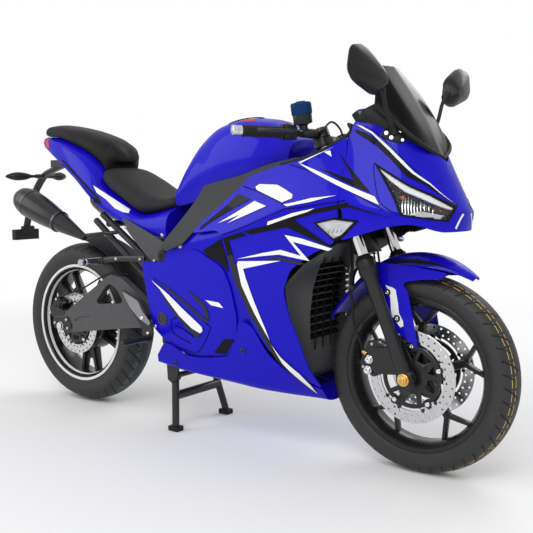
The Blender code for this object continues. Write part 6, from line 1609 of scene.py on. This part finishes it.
def buildGuardTrim():
    patch = [atPixelOnBlade(px, py) for px, py in pairs(385.6, 285.0, 393.1, 287.7, 395.6, 289.7, 398.0, 302.9,
            398.9, 312.9, 403.0, 321.2, 403.5, 326.1, 400.5, 327.5, 395.6, 321.2, 392.0, 316.0, 391.0, 309.6,
            390.4, 297.9, 388.1, 290.0)]
    sheet = skinSheet(patch, lambda x, z: bladeSide(x, z) + 0.0006, 0.02)
    both("guardPatch", sheet, whiteFilm(), "steering", wall=0.0)
    bolts, washers = Shape(), Shape()
    for px, py in ((387.5, 292.5), (397.0, 318.5)):
        x, z = atPixelOnBlade(px, py)
        y = bladeSide(x, z)
        washers += lathe((x, -y, z), (0, -1, 0), mm(0, 10.5, 1.8, 10.5, 3, 9), 28)
        bolts += lathe((x, -y - 0.0026, z), (0, -1, 0), mm(0, 6.2, 3, 6.2, 3.8, 5, 3.8, 2.8, 1.8, 2.5), 24)
    both("guardWashers", washers, plastic(), "steering")
    both("guardBolts", bolts, chrome(), "steering")
    for name, shares, low, high in (("guardStripeBlack", (0.05, 0.82), 0.66, 0.84),
                                    ("guardStripeGrey", (0.15, 0.78), 0.87, 0.93)):
        rows = []
        for step in range(25):
            share = shares[0] + (shares[1] - shares[0]) * step / 24
            taper = min(1.0, step / 6) * min(1.0, (24 - step) / 5)
            rows.append([guardPoint(share, -(low + (high - low) * (0.5 + (col / 4 - 0.5) * taper)), 0.0007)
                    for col in range(5)])
        tone = blackFilm() if "Black" in name else greyFilm()
        both(name, openSheet(rows), tone, "steering")


def atPixelOnBlade(px, py):
    place = atSide(px, py, -0.083)
    for _ in range(6):
        place = atSide(px, py, -bladeSide(place.x, place.z))
    return place.x, place.z


def buildFrame():
    made = Shape()
    for side in (-1, 1):
        at = lambda x, y, z: vec(x, side * y, z)
        head = steer(0.6525, -0.0116, side * 0.0145)
        made += tube([head, at(1.08, 0.075, 0.83), at(0.98, 0.1, 0.775), at(0.74, 0.1, 0.64),
                at(0.54, 0.1, 0.52), at(0.495, 0.098, 0.395), at(0.5, 0.098, 0.34)], 0.0198, 20, 5)
        made += tube([at(1.02, 0.1, 0.79), at(1.04, 0.1, 0.4), at(1.000, 0.1, 0.262), at(0.56, 0.1, 0.255),
                at(0.5, 0.1, 0.345)], 0.0128, 16, 4)
        for start, end in (((0.54, 0.52), (0.215, 0.738)), ((0.515, 0.46), (0.18, 0.715))):
            low, high = at(start[0], 0.118, start[1]), at(end[0], 0.118, end[1])
            made += rod(low, high, 0.0118, 20) + lathe(high, high - low, mm(0, 11.7, 5, 9.6, 8, 5), 20)
    for x, half, z in ((0.55, 0.1165, 0.545), (0.24, 0.1165, 0.705), (0.448, 0.118, 0.582), (0.53, 0.1, 0.3)):
        made += rod((x, -half, z), (x, half, z), 0.0118, 20)
    made += rod((0.497, -0.118, 0.392), (0.497, 0.118, 0.392), 0.0198, 28)
    made += rod(steer(0.5935), steer(0.7125), 0.0288, 36)
    put("frameTubes", made, satin(), replaces=["main_frame"], sharp=40)


arms = {
    "outer": 0.1465, "inner": 0.1185,
    "outline": mm(-45, 298.05, 52.2, 290.85, 365, 338, 505, 355, 518, 392, 500, 428, 450, 442, 335, 515,
            270, 524, 45, 379.95, 14.85, 352.05, -45, 342.15),
    "hole": mm(185, 408, 345, 424, 300, 480, 262, 492),
}


def buildSwingarm():
    side = plate(softCorners(arms["outline"], 0.1), -arms["outer"], -arms["inner"])
    hole = plate(softCorners(arms["hole"], 0.16), -arms["outer"] - 0.01, -arms["inner"] + 0.01)
    slot = plate(softCorners(mm(75, 330, 170, 349, 172, 366, 82, 349), 0.2), -arms["outer"] - 0.01,
            -arms["outer"] + 0.004)
    bridge = rod((0.375, -arms["inner"] + 0.001, 0.394), (0.375, 0, 0.394), 0.02, 28)
    lug = plate(rounded(mm(362, 392, 388, 392, 386, 418, 366, 420), 1, 0.2), -0.01, 0)
    put("swingarmRight", side, greyCoat(), replaces=["swingarm"], cutters=[hole, slot], sharp=34, bevel=0.0035,
            cuts=3, limit=50)
    put("swingarmLeft", side.flipped(), greyCoat(), cutters=[hole.flipped(), slot.flipped()], sharp=34,
            bevel=0.0035, cuts=3, limit=50)
    put("swingarmBridge", bridge + bridge.flipped() + lug + lug.flipped(), satin())
    ender = softCorners(mm(-43, 300, 45, 294, 62, 312, 40, 352, -4, 345, -43, 340), 0.14)
    both("axlePlate", plate(ender, -arms["outer"] - 0.0045, -arms["outer"] + 0.001),
            nearBlack("plateBlack", 13, 0.32), bevel=0.0012)
    nut = lathe((0, -arms["outer"] - 0.0042, 0.312), (0, -1, 0), mm(0, 16.5, 1.8, 16.5, 2.2, 14.5, 9, 14.5,
            10, 13, 10, 8.8, 11.8, 8), 6)
    both("rearAxleNut", nut, chrome(), bevel=0.0006)
    bolts = Shape()
    for x, z in ((-0.032, 0.321), (0.034, 0.338), (0.04, 0.306)):
        bolts += bolt((x, -arms["outer"] - 0.0045, z), (0, -1, 0), 0.0055, 0.004)
    both("armBolts", bolts, steel())
    cap = lathe((0.497, -arms["outer"] + 0.001, 0.392), (0, -1, 0), mm(0, 23.5, 4, 23.5, 5.5, 21.5, 5.5, 13,
            3, 12), 36)
    both("armPivot", cap, satin())
    put("rearAxle", rod((0, -0.1585, 0.312), (0, 0.1585, 0.312), 0.0088, 24), steel())


mufflers = {"rear": (-0.165, 0.8), "front": (0.197, 0.656), "spacing": 0.19, "radius": 0.052}


def buildMufflers():
    rear = vec(mufflers["rear"][0], -mufflers["spacing"], mufflers["rear"][1])
    front = vec(mufflers["front"][0], -mufflers["spacing"], mufflers["front"][1])
    way, length, radius = (front - rear).normalized(), (front - rear).length, mufflers["radius"]
    shares = [(0, 0.55), (0.006, 0.62), (0.03, 0.8), (0.065, 0.9), (0.1, 0.965), (0.19, 1.0), (0.28, 1.0),
            (0.42, 0.92), (0.55, 0.8), (0.7, 0.61), (0.82, 0.45), (0.9, 0.345), (0.95, 0.28), (0.99, 0.24),
            (1, 0.2)]
    body = lathe(rear, way, [(share * length, part * radius) for share, part in shares], 48)
    stay = tube([front + vec(-0.02, 0, 0.006), vec(0.262, -0.165, 0.672), vec(0.3, -0.1287, 0.676)], 0.007, 14,
            5)
    black = nearBlack("mufflerBlack", 14, 0.3)
    both("muffler", body + stay, black, replaces=["muffler"], sharp=50)
    bands = Shape()
    for share, part in ((0.155, 1.000), (0.6, 0.755)):
        bands += lathe(rear + way * (share * length), way, [(0, part * radius), (0.001, part * radius + 0.0016),
                (0.011, part * radius * 0.996 + 0.0016), (0.012, part * radius * 0.99)], 48)
    both("mufflerBand", bands, finish("bandGrey", bareMetal, (0.1, 0.1, 0.11), 0.32))
    tip = lathe(rear - way * 0.0005, -way, mm(0, 30, 4, 29, 4, 20, -35, 19, -36, 1), 36)
    both("mufflerTip", tip, finish("tipMetal", bareMetal, (0.16, 0.16, 0.17), 0.3), sharp=30)


def buildSidePlates():
    outline = softCorners(planePoints(pairs(121.5, 216.5, 159.7, 239.5, 171.2, 249.5, 172.9, 257.6,
            165.5, 265.6, 159.7, 266.2, 151.7, 262.1, 127.5, 232.0), -0.1595), 0.12)
    recess = softCorners(planePoints(pairs(130.0, 231.5, 148.0, 242.5, 152.0, 249.0, 151.0, 255.0), -0.1595),
            0.14)
    arm_ = tube([(0.47, -0.163, 0.592), (0.42, -0.1625, 0.59), (0.33, -0.1625, 0.585), (0.25, -0.1625, 0.575)],
            [0.0106, 0.0108, 0.01, 0.0105], 16, 5, 0.56)
    both("sidePlate", plate(outline, -0.1595, -0.1535), greyCoat(), replaces=["peg_bracket"], bevel=0.0016,
         cutters=[plate(recess, -0.17, -0.158)])
    both("pegArm", arm_, satin())
    peg = mm(0, 11.8, 6, 12.2, 70, 11.5, 72, 10.2, 76, 10.2, 78, 12.2, 92, 12.2, 95, 10.5)
    start = vec(0.25, -0.168, 0.575)
    both("passengerPeg", lathe(start, (0, -1, 0), peg, 28), chrome(), sharp=30)
    hinge = block(start + vec(0, 0.005, 0), (0.026, 0.016, 0.024), 0.0)
    both("pegHinge", hinge, satin(), bevel=0.002)
    bolts = Shape()
    for x, z in planePoints(((154.7, 260.7), (126.0, 227.5)), -0.1595):
        bolts += bolt((x, -0.1595, z), (0, -1, 0), 0.0062, 0.005)
    for x, z in ((0.452, 0.59), (0.334, 0.5852)):
        bolts += bolt((x, -0.168, z), (0, -1, 0), 0.0056, 0.0045)
    both("sideBolts", bolts, chrome())
    capX, capZ = planePoints(((162.9, 255.7),), -0.1595)[0]
    cap = lathe((capX, -0.1592, capZ), (0, -1, 0), mm(0, 20.5, 4, 20.5, 6, 19, 6.6, 12, 6.6, 5, 4, 4.5), 36)
    both("sideCap", cap, plastic())


def buildRiderPegs():
    hanger = softCorners(mm(470, 300, 505, 300, 515, 345, 480, 402)
                  + planePoints(pairs(139.0, 299.0, 121.0, 288.0, 129.0, 308.0, 141.0, 326.0), -0.175))
    boss = rod((0.463, -0.1475, 0.388), (0.463, -0.1765, 0.388), 0.013, 28)
    both("pegHanger", plate(hanger, -0.175, -0.169) + boss, satin(), replaces=["rider_peg"], bevel=0.0015,
            limit=50)
    root = vec(0.49, -0.175, 0.32)
    section = [(-0.0135, -0.008), (0.0135, -0.008), (0.0135, 0.006), (0.0095, 0.0095), (-0.0095, 0.0095),
            (-0.0135, 0.006)]
    rings = []
    for far, scale in ((0.0, 0.9), (0.004, 1.0), (0.112, 0.92), (0.121, 0.86), (0.125, 0.72)):
        rings.append([root + vec(u * scale, -far, v * scale) for u, v in rounded(section, 1, 0.2)])
    ribs = Shape()
    for index in range(9):
        ribs += block(root + vec(0, -0.018 - index * 0.0112, 0.0086), (0.021, 0.0048, 0.0042))
    drill = rod(root + vec(0, -0.1085, -0.03), root + vec(0, -0.1085, 0.03), 0.0052, 24)
    both("riderPeg", loft(rings), satin(), bevel=0.0012, cutters=[drill])
    both("pegRibs", ribs, rubber(), bevel=0.0008)
    bolts = bolt((0.463, -0.1765, 0.388), (0, -1, 0), 0.007, 0.005) + bolt((0.49, -0.1752, 0.338), (0, -1, 0),
            0.0055, 0.004)
    both("hangerBolts", bolts, chrome())
    shield = softCorners(planePoints(pairs(122.0, 290.5, 138.0, 300.5, 142.0, 310.0, 151.0, 323.0, 149.0, 325.5,
            139.0, 318.0, 130.5, 307.5), -0.175), 0.1)
    both("heelGuard", plate(shield, -0.1785, -0.1752), finish("guardMetal", bareMetal, (0.32, 0.32, 0.33),
            0.34), bevel=0.001)


def buildShock():
    low, top = vec(0.375, 0, 0.394), vec(0.448, 0, 0.582)
    way = (top - low).normalized()
    low, top = low + way * 0.0203, top - way * 0.0123
    length = (top - low).length
    core = lathe(low, way, [(0, 0.018), (length * 0.1, 0.0187), (length * 0.1, 0.033), (length * 0.13, 0.034),
            (length * 0.14, 0.02), (length * 0.5, 0.02), (length * 0.5, 0.012), (length * 0.84, 0.012),
            (length * 0.84, 0.033), (length * 0.87, 0.034), (length * 0.9, 0.019), (length, 0.017)], 32)
    put("shockBody", core, satin(), replaces=["rear_shock"], sharp=34)
    _, side, up = frameOf(way)
    line = [low + way * (length * (0.14 + 0.69 * step / 96)) + side * (0.0285 * cos(2 * pi * 6 * step / 96))
            + up * (0.0285 * sin(2 * pi * 6 * step / 96)) for step in range(97)]
    put("shockSpring", tube(line, 0.0046, 10, 1), finish("springRed", coated, (0.3, 0.012, 0.01), 0.35))


def buildRearGuard():
    def point(turn, lean):
        angle = radians(10 + 80 * turn)
        height = wheels["rear"]["radius"] + 0.03 * (1 - 0.35 * lean ** 2)
        width = 0.0748 * min(1.0, 0.62 + turn * 3.0, 0.62 + (1 - turn) * 3.0)
        return vec(height * cos(angle), lean * width, 0.312 + height * sin(angle))
    rows = [[point(step / 30, side / 8) for side in range(-8, 9)] for step in range(31)]
    put("rearGuard", openSheet(rows), plastic(), replaces=["rear_mudguard"], wall=0.0035, sharp=55, bevel=0.001,
            limit=50)


def buildPlateHolder():
    line = [(-0.13, 0, 0.924), (-0.2, 0, 0.905), (-0.26, 0, 0.88), (-0.31, 0, 0.828), (-0.34, 0, 0.78),
            (-0.372, 0, 0.705), (-0.392, 0, 0.64)]
    made = Shape()
    for side in (-1, 1):
        made += tube([(x, side * 0.006, z) for x, _, z in line], [0.01, 0.0105, 0.011, 0.0105, 0.01, 0.0095,
                0.009], 12, 5)
    made += block((-0.141, 0, 0.929), (0.08, 0.06, 0.028)) + rod((-0.255, -0.045, 0.88), (-0.255, 0.045, 0.88),
            0.0085, 20)
    put("plateArm", made, satin(), replaces=["plate_bracket"], bevel=0.0016, limit=50)
    holder = block((-0.392, 0, 0.64), (0.026, 0.118, 0.043), 0.0) + block((-0.379, 0, 0.66),
            (0.014, 0.06, 0.03), 0.3)
    put("plateBlock", holder, plastic(), bevel=0.0022)
    lamp = block((-0.4052, 0, 0.652), (0.0016, 0.058, 0.01))
    put("plateReflector", lamp, finish("redLamp", lens, (0.5, 0.01, 0.012), 1.0), bevel=0.0005)
    shares = ((0, 0.3), (0.12, 0.34), (0.3, 0.36), (0.45, 0.8), (0.55, 0.95), (0.65, 1.0), (0.75, 0.94),
            (0.85, 0.75), (0.95, 0.42), (1, 0.14))
    start, end = vec(-0.255, -0.012, 0.88), vec(-0.31, -0.15, 0.88)
    way, length = (end - start).normalized(), (end - start).length
    rings = []
    for far, part in shares:
        spot = start + way * (far * length)
        cross = way.cross(vec(0, 0, 1)).normalized()
        rings.append([spot + cross * (0.022 * part * cos(2 * pi * k / 24))
                + vec(0, 0, 0.0165 * part * sin(2 * pi * k / 24)) for k in range(24)])
    body = loft(rings)
    both("rearSignal", body, plastic())
    glassRings = [[spot + (spot - start - way * (spot - start).dot(way)) * 0.04 for spot in ring]
            for ring in rings[5:9]]
    both("rearSignalGlass", loft(glassRings, capped=False), finish("signalGlass", lens, (0.03, 0.014, 0.008),
            0.85))


def buildTailLamp():
    shell = []
    for far, scale in ((0.0, 1.0), (-0.008, 1.0), (-0.012, 0.88), (-0.014, 0.7)):
        shell.append([vec(-0.1953 + far, y * scale, 1.012 + z * scale) for y, z in rounded(mm(-42.5, -4,
                -30, -17.5, 30, -17.5, 42.5, -4, 36, 17.5, -36, 17.5), 2, 0.16)])
    put("tailGlass", loft(shell), tailRed(), replaces=["tail_lamp"], sharp=40)
    fins = Shape()
    for index in range(9):
        fins += block((-0.2085, -0.028 + index * 0.007, 1.011), (0.0014, 0.0022, 0.022))
    put("tailFins", fins, finish("tailFin", film, (0.8, 0.06, 0.05), 0.2))


def buildStand():
    made = Shape()
    for side in (-1, 1):
        top, foot = vec(0.545, side * 0.1, 0.182), vec(0.575, side * 0.135, 0.0165)
        knee = top.lerp(foot, 0.4)
        made += tube([top, knee, foot], [0.013, 0.013, 0.0125], 18, 5)
        made += lathe(top - vec(0, 0.01 * side, 0), (0, side, 0), mm(0, 18.5, 2, 19.5, 18, 19.5, 20, 18.5), 32)
    top = vec(0.545, 0.1, 0.182).lerp(vec(0.575, 0.135, 0.0165), 0.4)
    made += rod((top.x, -top.y, top.z), (top.x, top.y, top.z), 0.0158, 24)
    put("standTubes", made, satin(), "stand", replaces=["centre_stand"], sharp=40)
    feet = Shape()
    for side in (-1, 1):
        feet += block((0.575, side * 0.135, 0.009), (0.044, 0.034, 0.0178))
    put("standFeet", feet, rubber(), "stand", bevel=0.003)


def buildDash():
    turn = radians(-35)
    centre = vec(1.265, 0, 1.02)
    shell = block(centre, (0.022, 0.14, 0.08)).turned(turn, centre)
    put("dashShell", shell, plastic(), replaces=["dashboard"], bevel=0.0045, cuts=3)
    face = block(centre + vec(-0.0112, 0, 0), (0.001, 0.122, 0.062)).turned(turn, centre)
    put("dashGlass", face, gloss(), bevel=0.0004)
    put("dashStay", rod((1.27, 0, 0.992), (1.3, 0, 0.9162), 0.008, 18), satin())


# both seats are soft: a tight cover over foam, blown up a little by a cloth simulation
seats = {
    "section": [(0.82, 0.0), (1.0, 0.3), (0.97, 0.62), (0.78, 0.88), (0.42, 0.98), (0.0, 1.0)],
    "rider": [(0.19, 0.905, 0.4), (0.215, 0.912, 0.52), (0.3, 0.88, 0.6), (0.42, 0.822, 0.6),
            (0.48, 0.805, 0.52), (0.553, 0.818, 0.44)],
    "pillion": [(-0.18, 1.055, 0.22), (-0.15, 1.078, 0.34), (-0.1, 1.076, 0.38), (0.02, 1.056, 0.44),
            (0.12, 1.03, 0.44), (0.175, 1.012, 0.42), (0.21, 0.996, 0.36), (0.235, 0.975, 0.24)],
    # where the rider's pad leaves the tail
    "lip": smoothTable([(0.185, 0.0), (0.205, 0.925), (0.285, 0.925), (0.315, 0.935)]),
    "pressure": 4.0, "voxel": 0.006, "cap": 0.005, "inset": 0.003,
}


def padLow(x):
    return max(tail["top"](x) + 0.0006, seats["lip"](x) if x > 0.19 else 0.0)


def padShape(stations, inset, overlap):
    top = smoothTable([(x, high) for x, high, wide in stations])
    width = smoothTable([(x, wide * skin["halfWidth"]) for x, high, wide in stations])
    start, end = stations[0][0] + inset, stations[-1][0] - inset
    rings = []
    for step in range(41):
        share = step / 40
        x = start + (end - start) * (0.5 - 0.5 * cos(pi * share))
        close = min(1.0, 0.86 + 0.14 * min(share, 1 - share) / 0.06)  # pulled in towards both ends
        low = padLow(x) if overlap else tail["top"](x) + 0.0006
        rings.append(ringAt(x, low, low + (top(x) - inset - low) * (0.97 + 0.03 * close),
                (width(x) - inset) * close, seats["section"]))
    return loft(rings)


def fillPad(body):  # the recipe for a filled pad: remesh, blow up, hold back, smooth
    change = body.modifiers.new("even", "REMESH")
    change.mode = "VOXEL"
    change.voxel_size = seats["voxel"]
    settle(body)
    start = [vertex.co.copy() for vertex in body.data.vertices]
    held = body.vertex_groups.new(name="held")
    held.add([index for index, point in enumerate(start) if point.z < padLow(point.x + middleX) + 0.008],
            1.0, "REPLACE")
    cloth = body.modifiers.new("cloth", "CLOTH")
    cloth.settings.quality = 5
    cloth.settings.vertex_group_mass = "held"
    cloth.settings.use_pressure = True
    cloth.settings.uniform_pressure_force = seats["pressure"]
    cloth.settings.effector_weights.gravity = 0
    cloth.point_cache.frame_start, cloth.point_cache.frame_end = 1, 20
    for moment in range(1, 21):
        bpy.context.scene.frame_set(moment)
    settle(body)
    for vertex, before in zip(body.data.vertices, start):
        move = vertex.co - before
        if move.length > seats["cap"]:
            vertex.co = before + move * (seats["cap"] / move.length)
    body.vertex_groups.clear()
    bpy.context.scene.frame_set(1)
    soft = body.modifiers.new("soft", "CORRECTIVE_SMOOTH")
    soft.factor, soft.iterations, soft.use_only_smooth = 0.5, 8, True
    settle(body)
    return body


def seam(points, depth, reach):  # stitching pulls the cover in along a line
    def pull(point):
        near = min(((point.z - b.z) ** 2 + (point.x - b.x) ** 2) ** 0.5 for b in points)
        return depth * 2.718 ** (-(near / reach) ** 2)
    return pull


def finishPad(body, lines, depth, material, name, node):
    for vertex in body.data.vertices:
        point = vec(vertex.co.x + middleX, vertex.co.y, vertex.co.z)
        if abs(point.y) > 0.02:
            pull = max(seam(line, depth, 0.0055)(point) for line in lines)
            vertex.co.y -= pull * (1 if point.y > 0 else -1)
    more = body.modifiers.new("more", "SUBSURF")
    more.levels = more.render_levels = 1
    settle(body)
    body.data.shade_smooth()
    body.data.materials.clear()
    body.data.materials.append(material)
    print("pad ready:", name, node, len(body.data.polygons))


def buildSeats():
    material = finish("riderCover", leather, (0.022, 0.022, 0.024), 0.55, 900.0)
    body = put("riderSeat", padShape(seats["rider"], seats["inset"], False), material, replaces=["rider_seat"])
    line = [vec(x, 0, tail["top"](x) + (z - tail["top"](x)) * 0.46) for x, z, _ in seats["rider"]]
    finishPad(fillPad(body), [smoothLine(line, 8)], 0.0016, material, "riderSeat", "rider_seat")
    cover = finish("pillionCover", leather, (0.008, 0.008, 0.0085), 0.42, 520.0)
    body = put("pillionSeat", padShape(seats["pillion"], seats["inset"], True), cover,
            replaces=["pillion_seat"])
    line = [vec(x, 0, padLow(x) + (z - padLow(x)) * 0.52) for x, z, _ in seats["pillion"]]
    finishPad(fillPad(body), [smoothLine(line, 8)], 0.002, cover, "pillionSeat", "pillion_seat")


# small things laid where the camera's ray through a pixel meets a finished piece
surfaces = {}


def castOn(target, px, py):
    if target not in surfaces:
        bpy.context.view_layer.update()
        surfaces[target] = BVHTree.FromObject(bpy.data.objects[target], bpy.context.evaluated_depsgraph_get())
    eye = Vector(camera["eye"]) - vec(middleX, 0, 0)
    place, normal, _, _ = surfaces[target].ray_cast(eye, pixelRay(px, py).normalized())
    if place is None:
        return None
    return place + vec(middleX, 0, 0), normal if normal.dot(place - eye) < 0 else -normal


def drape(name, target, pixels, tone, lift=0.0009):
    flat = skinSheet(pixels, lambda x, z: 0.0, 2.0)
    found = [castOn(target, point.x, point.z) for point in flat.points]
    faces = [face for face in flat.faces if all(found[index] for index in face)]
    used = sorted({index for face in faces for index in face})
    renamed = {old: new for new, old in enumerate(used)}
    if not faces:
        return
    shape = Shape([found[index][0] + found[index][1] * lift for index in used],
            [tuple(renamed[index] for index in face) for face in faces])
    both(name, shape, tone)


def screwOn(name, spots, material):  # spots: piece, pixel, radius, height
    made = Shape()
    for target, px, py, radius, height in spots:
        found = castOn(target, px, py)
        if found:
            made += bolt(found[0] - found[1] * 0.0008, found[1], radius, height)
    both(name, made, material)


def buildDetails():
    white, black = whiteFilm(), blackFilm()
    # painted highlight: a white film spear on the tail flank
    drape("tailSpear", "tailCowl", pairs(93.1, 185.3, 104.6, 192.9, 130.1, 209.5, 128.8, 213.3, 122.4, 212.0,
            114.8, 208.2, 105.9, 199.3, 96.9, 192.9), white)
    drape("tailBand", "tailCowl", pairs(60.6, 159.1, 63.8, 160.4, 96.9, 195.5, 95.0, 196.7, 71.4, 171.2), black)
    drape("tailWedge", "tailCowl", pairs(85.5, 195.5, 95.0, 198.0, 97.2, 194.8, 102.4, 204.6, 89.3, 199.9),
            black)
    drape("tankStrip", "tankCover", pairs(243.0, 119.6, 255.0, 119.0, 255.0, 121.6, 243.0, 122.2),
            finish("redFilm", film, (0.45, 0.02, 0.015), 0.3))
    red = tailRed()
    drape("tailLampFlank", "tailCowl", pairs(42.5, 136.5, 48.5, 138.5, 49.5, 148.0, 44.0, 148.5), red, 0.0012)
    screwOn("silverScrews", (("tailCowl", 162.3, 235.4, 0.0075, 0.004),
            ("infillPanelRight", 180.2, 246.2, 0.0075, 0.004), ("lowerCoverRight", 155.6, 326.0, 0.006, 0.004)),
            chrome())
    screwOn("blackScrews", (("sideFairingRight", 243.2, 350.5, 0.0095, 0.004),
            ("bellyPan", 243.2, 350.5, 0.0095, 0.004), ("bellyPan", 175.7, 363.3, 0.008, 0.004)), satin())
    found = castOn("lowerCoverRight", 162.6, 318.7)
    if found:
        place, out = found
        ring = lathe(place - out * 0.001, out, mm(0, 21.5, 3, 21.5, 4.5, 20, 4.5, 16, 1.5, 15.5, 1.5, 9, 4, 8.5,
                4, 4, 2.5, 3.5), 40)
        both("coverCap", ring, finish("capGrey", moulded, (0.045, 0.046, 0.048), 0.4, 900.0))


for build in (buildPanels, buildNose, buildTank, buildTail, buildScreen, buildMirrors, buildLights,
              buildSignals, buildDuct, buildBelly, buildStripes, buildCreaseShades, buildFrontWheel,
              buildRearWheel, buildFork, buildYokes, buildBars, buildCallipers, buildMudguard, buildFrame,
              buildSwingarm, buildMufflers, buildSidePlates, buildRiderPegs, buildShock, buildRearGuard,
              buildPlateHolder, buildTailLamp, buildStand, buildDash, buildSeats, buildDetails):
    build()
    print(build.__name__, "done")


# camera and studio, in the bike's own frame
studio = {
    "lens": 57.0,
    "floorSize": 60.0,
    "floorTone": 0.8,
    "worldLevel": 0.75,
    "lamps": {  # place, target, size, power
        "keySoft": ((1.5, -3.0, 3.2), (0.0, 0.0, 0.5), (3.0, 2.0), 80),
        "fillSoft": ((-2.8, -2.2, 2.2), (0.0, 0.0, 0.5), (2.5, 2.5), 38),
        "rimSoft": ((0.5, 3.2, 3.0), (0.0, 0.0, 0.6), (3.0, 2.0), 50),
    },
}


def addCamera():
    data = bpy.data.cameras.new("camera")
    data.lens = studio["lens"]
    data.sensor_width = 36.0
    data.clip_start = 0.05
    data.clip_end = 200.0
    made = bpy.data.objects.new("camera", data)
    bpy.context.scene.collection.objects.link(made)
    turn = Matrix((camera["right"], camera["up"], [-part for part in camera["ahead"]])).transposed()
    made.matrix_world = Matrix.Translation(Vector(camera["eye"]) - vec(middleX, 0, 0)) @ turn.to_4x4()
    bpy.context.scene.camera = made


def addLamp(name, place, target, size, power):
    data = bpy.data.lights.new(name, "AREA")
    data.shape = "RECTANGLE"
    data.size, data.size_y = size
    data.energy = power
    lamp = bpy.data.objects.new(name, data)
    bpy.context.scene.collection.objects.link(lamp)
    lamp.location = place
    lamp.rotation_euler = (Vector(target) - Vector(place)).to_track_quat("-Z", "Y").to_euler()


def addFloor():
    form = bmesh.new()
    half = studio["floorSize"] / 2
    corners = [form.verts.new((x, y, 0)) for x, y in ((-half, -half), (half, -half), (half, half),
            (-half, half))]
    form.faces.new(corners)
    floor = added("studioFloor", form)
    sheet = Sheet("studioFloorPaper", (studio["floorTone"],) * 3, 0.9)
    x, y = sheet.along("X"), sheet.along("Y")
    away = (x * x + y * y).math("SQRT").rise(1.6, 4.0)  # the far floor glows as white as the backdrop
    seen = sheet.node("ShaderNodeLightPath", {}, {}, "Is Camera Ray")
    glow = sheet.node("ShaderNodeEmission", {}, {"Color": (1.0, 1.0, 1.0), "Strength": 1.0})
    mixed = sheet.node("ShaderNodeMixShader", {}, {0: away * seen, 1: Wire(sheet, sheet.shader.outputs[0]),
            2: glow})
    sheet.put(sheet.tree.nodes["Material Output"].inputs[0], mixed)
    floor.data.materials.append(sheet.material)


def addWorld():
    world = bpy.data.worlds.new("studioWorld")
    bpy.context.scene.world = world
    world.use_nodes = True
    tree = world.node_tree
    back = tree.nodes["Background"]
    path = tree.nodes.new("ShaderNodeLightPath")
    level = tree.nodes.new("ShaderNodeMix")
    level.inputs[2].default_value = studio["worldLevel"]
    level.inputs[3].default_value = 1.0
    tree.links.new(path.outputs["Is Camera Ray"], level.inputs[0])
    tree.links.new(level.outputs[0], back.inputs["Strength"])
    back.inputs["Color"].default_value = (1, 1, 1, 1)


addCamera()
addWorld()
addFloor()
for name, values in studio["lamps"].items():
    addLamp(name, *values)
bpy.context.scene.view_settings.view_transform = "Standard"
print("studio ready")
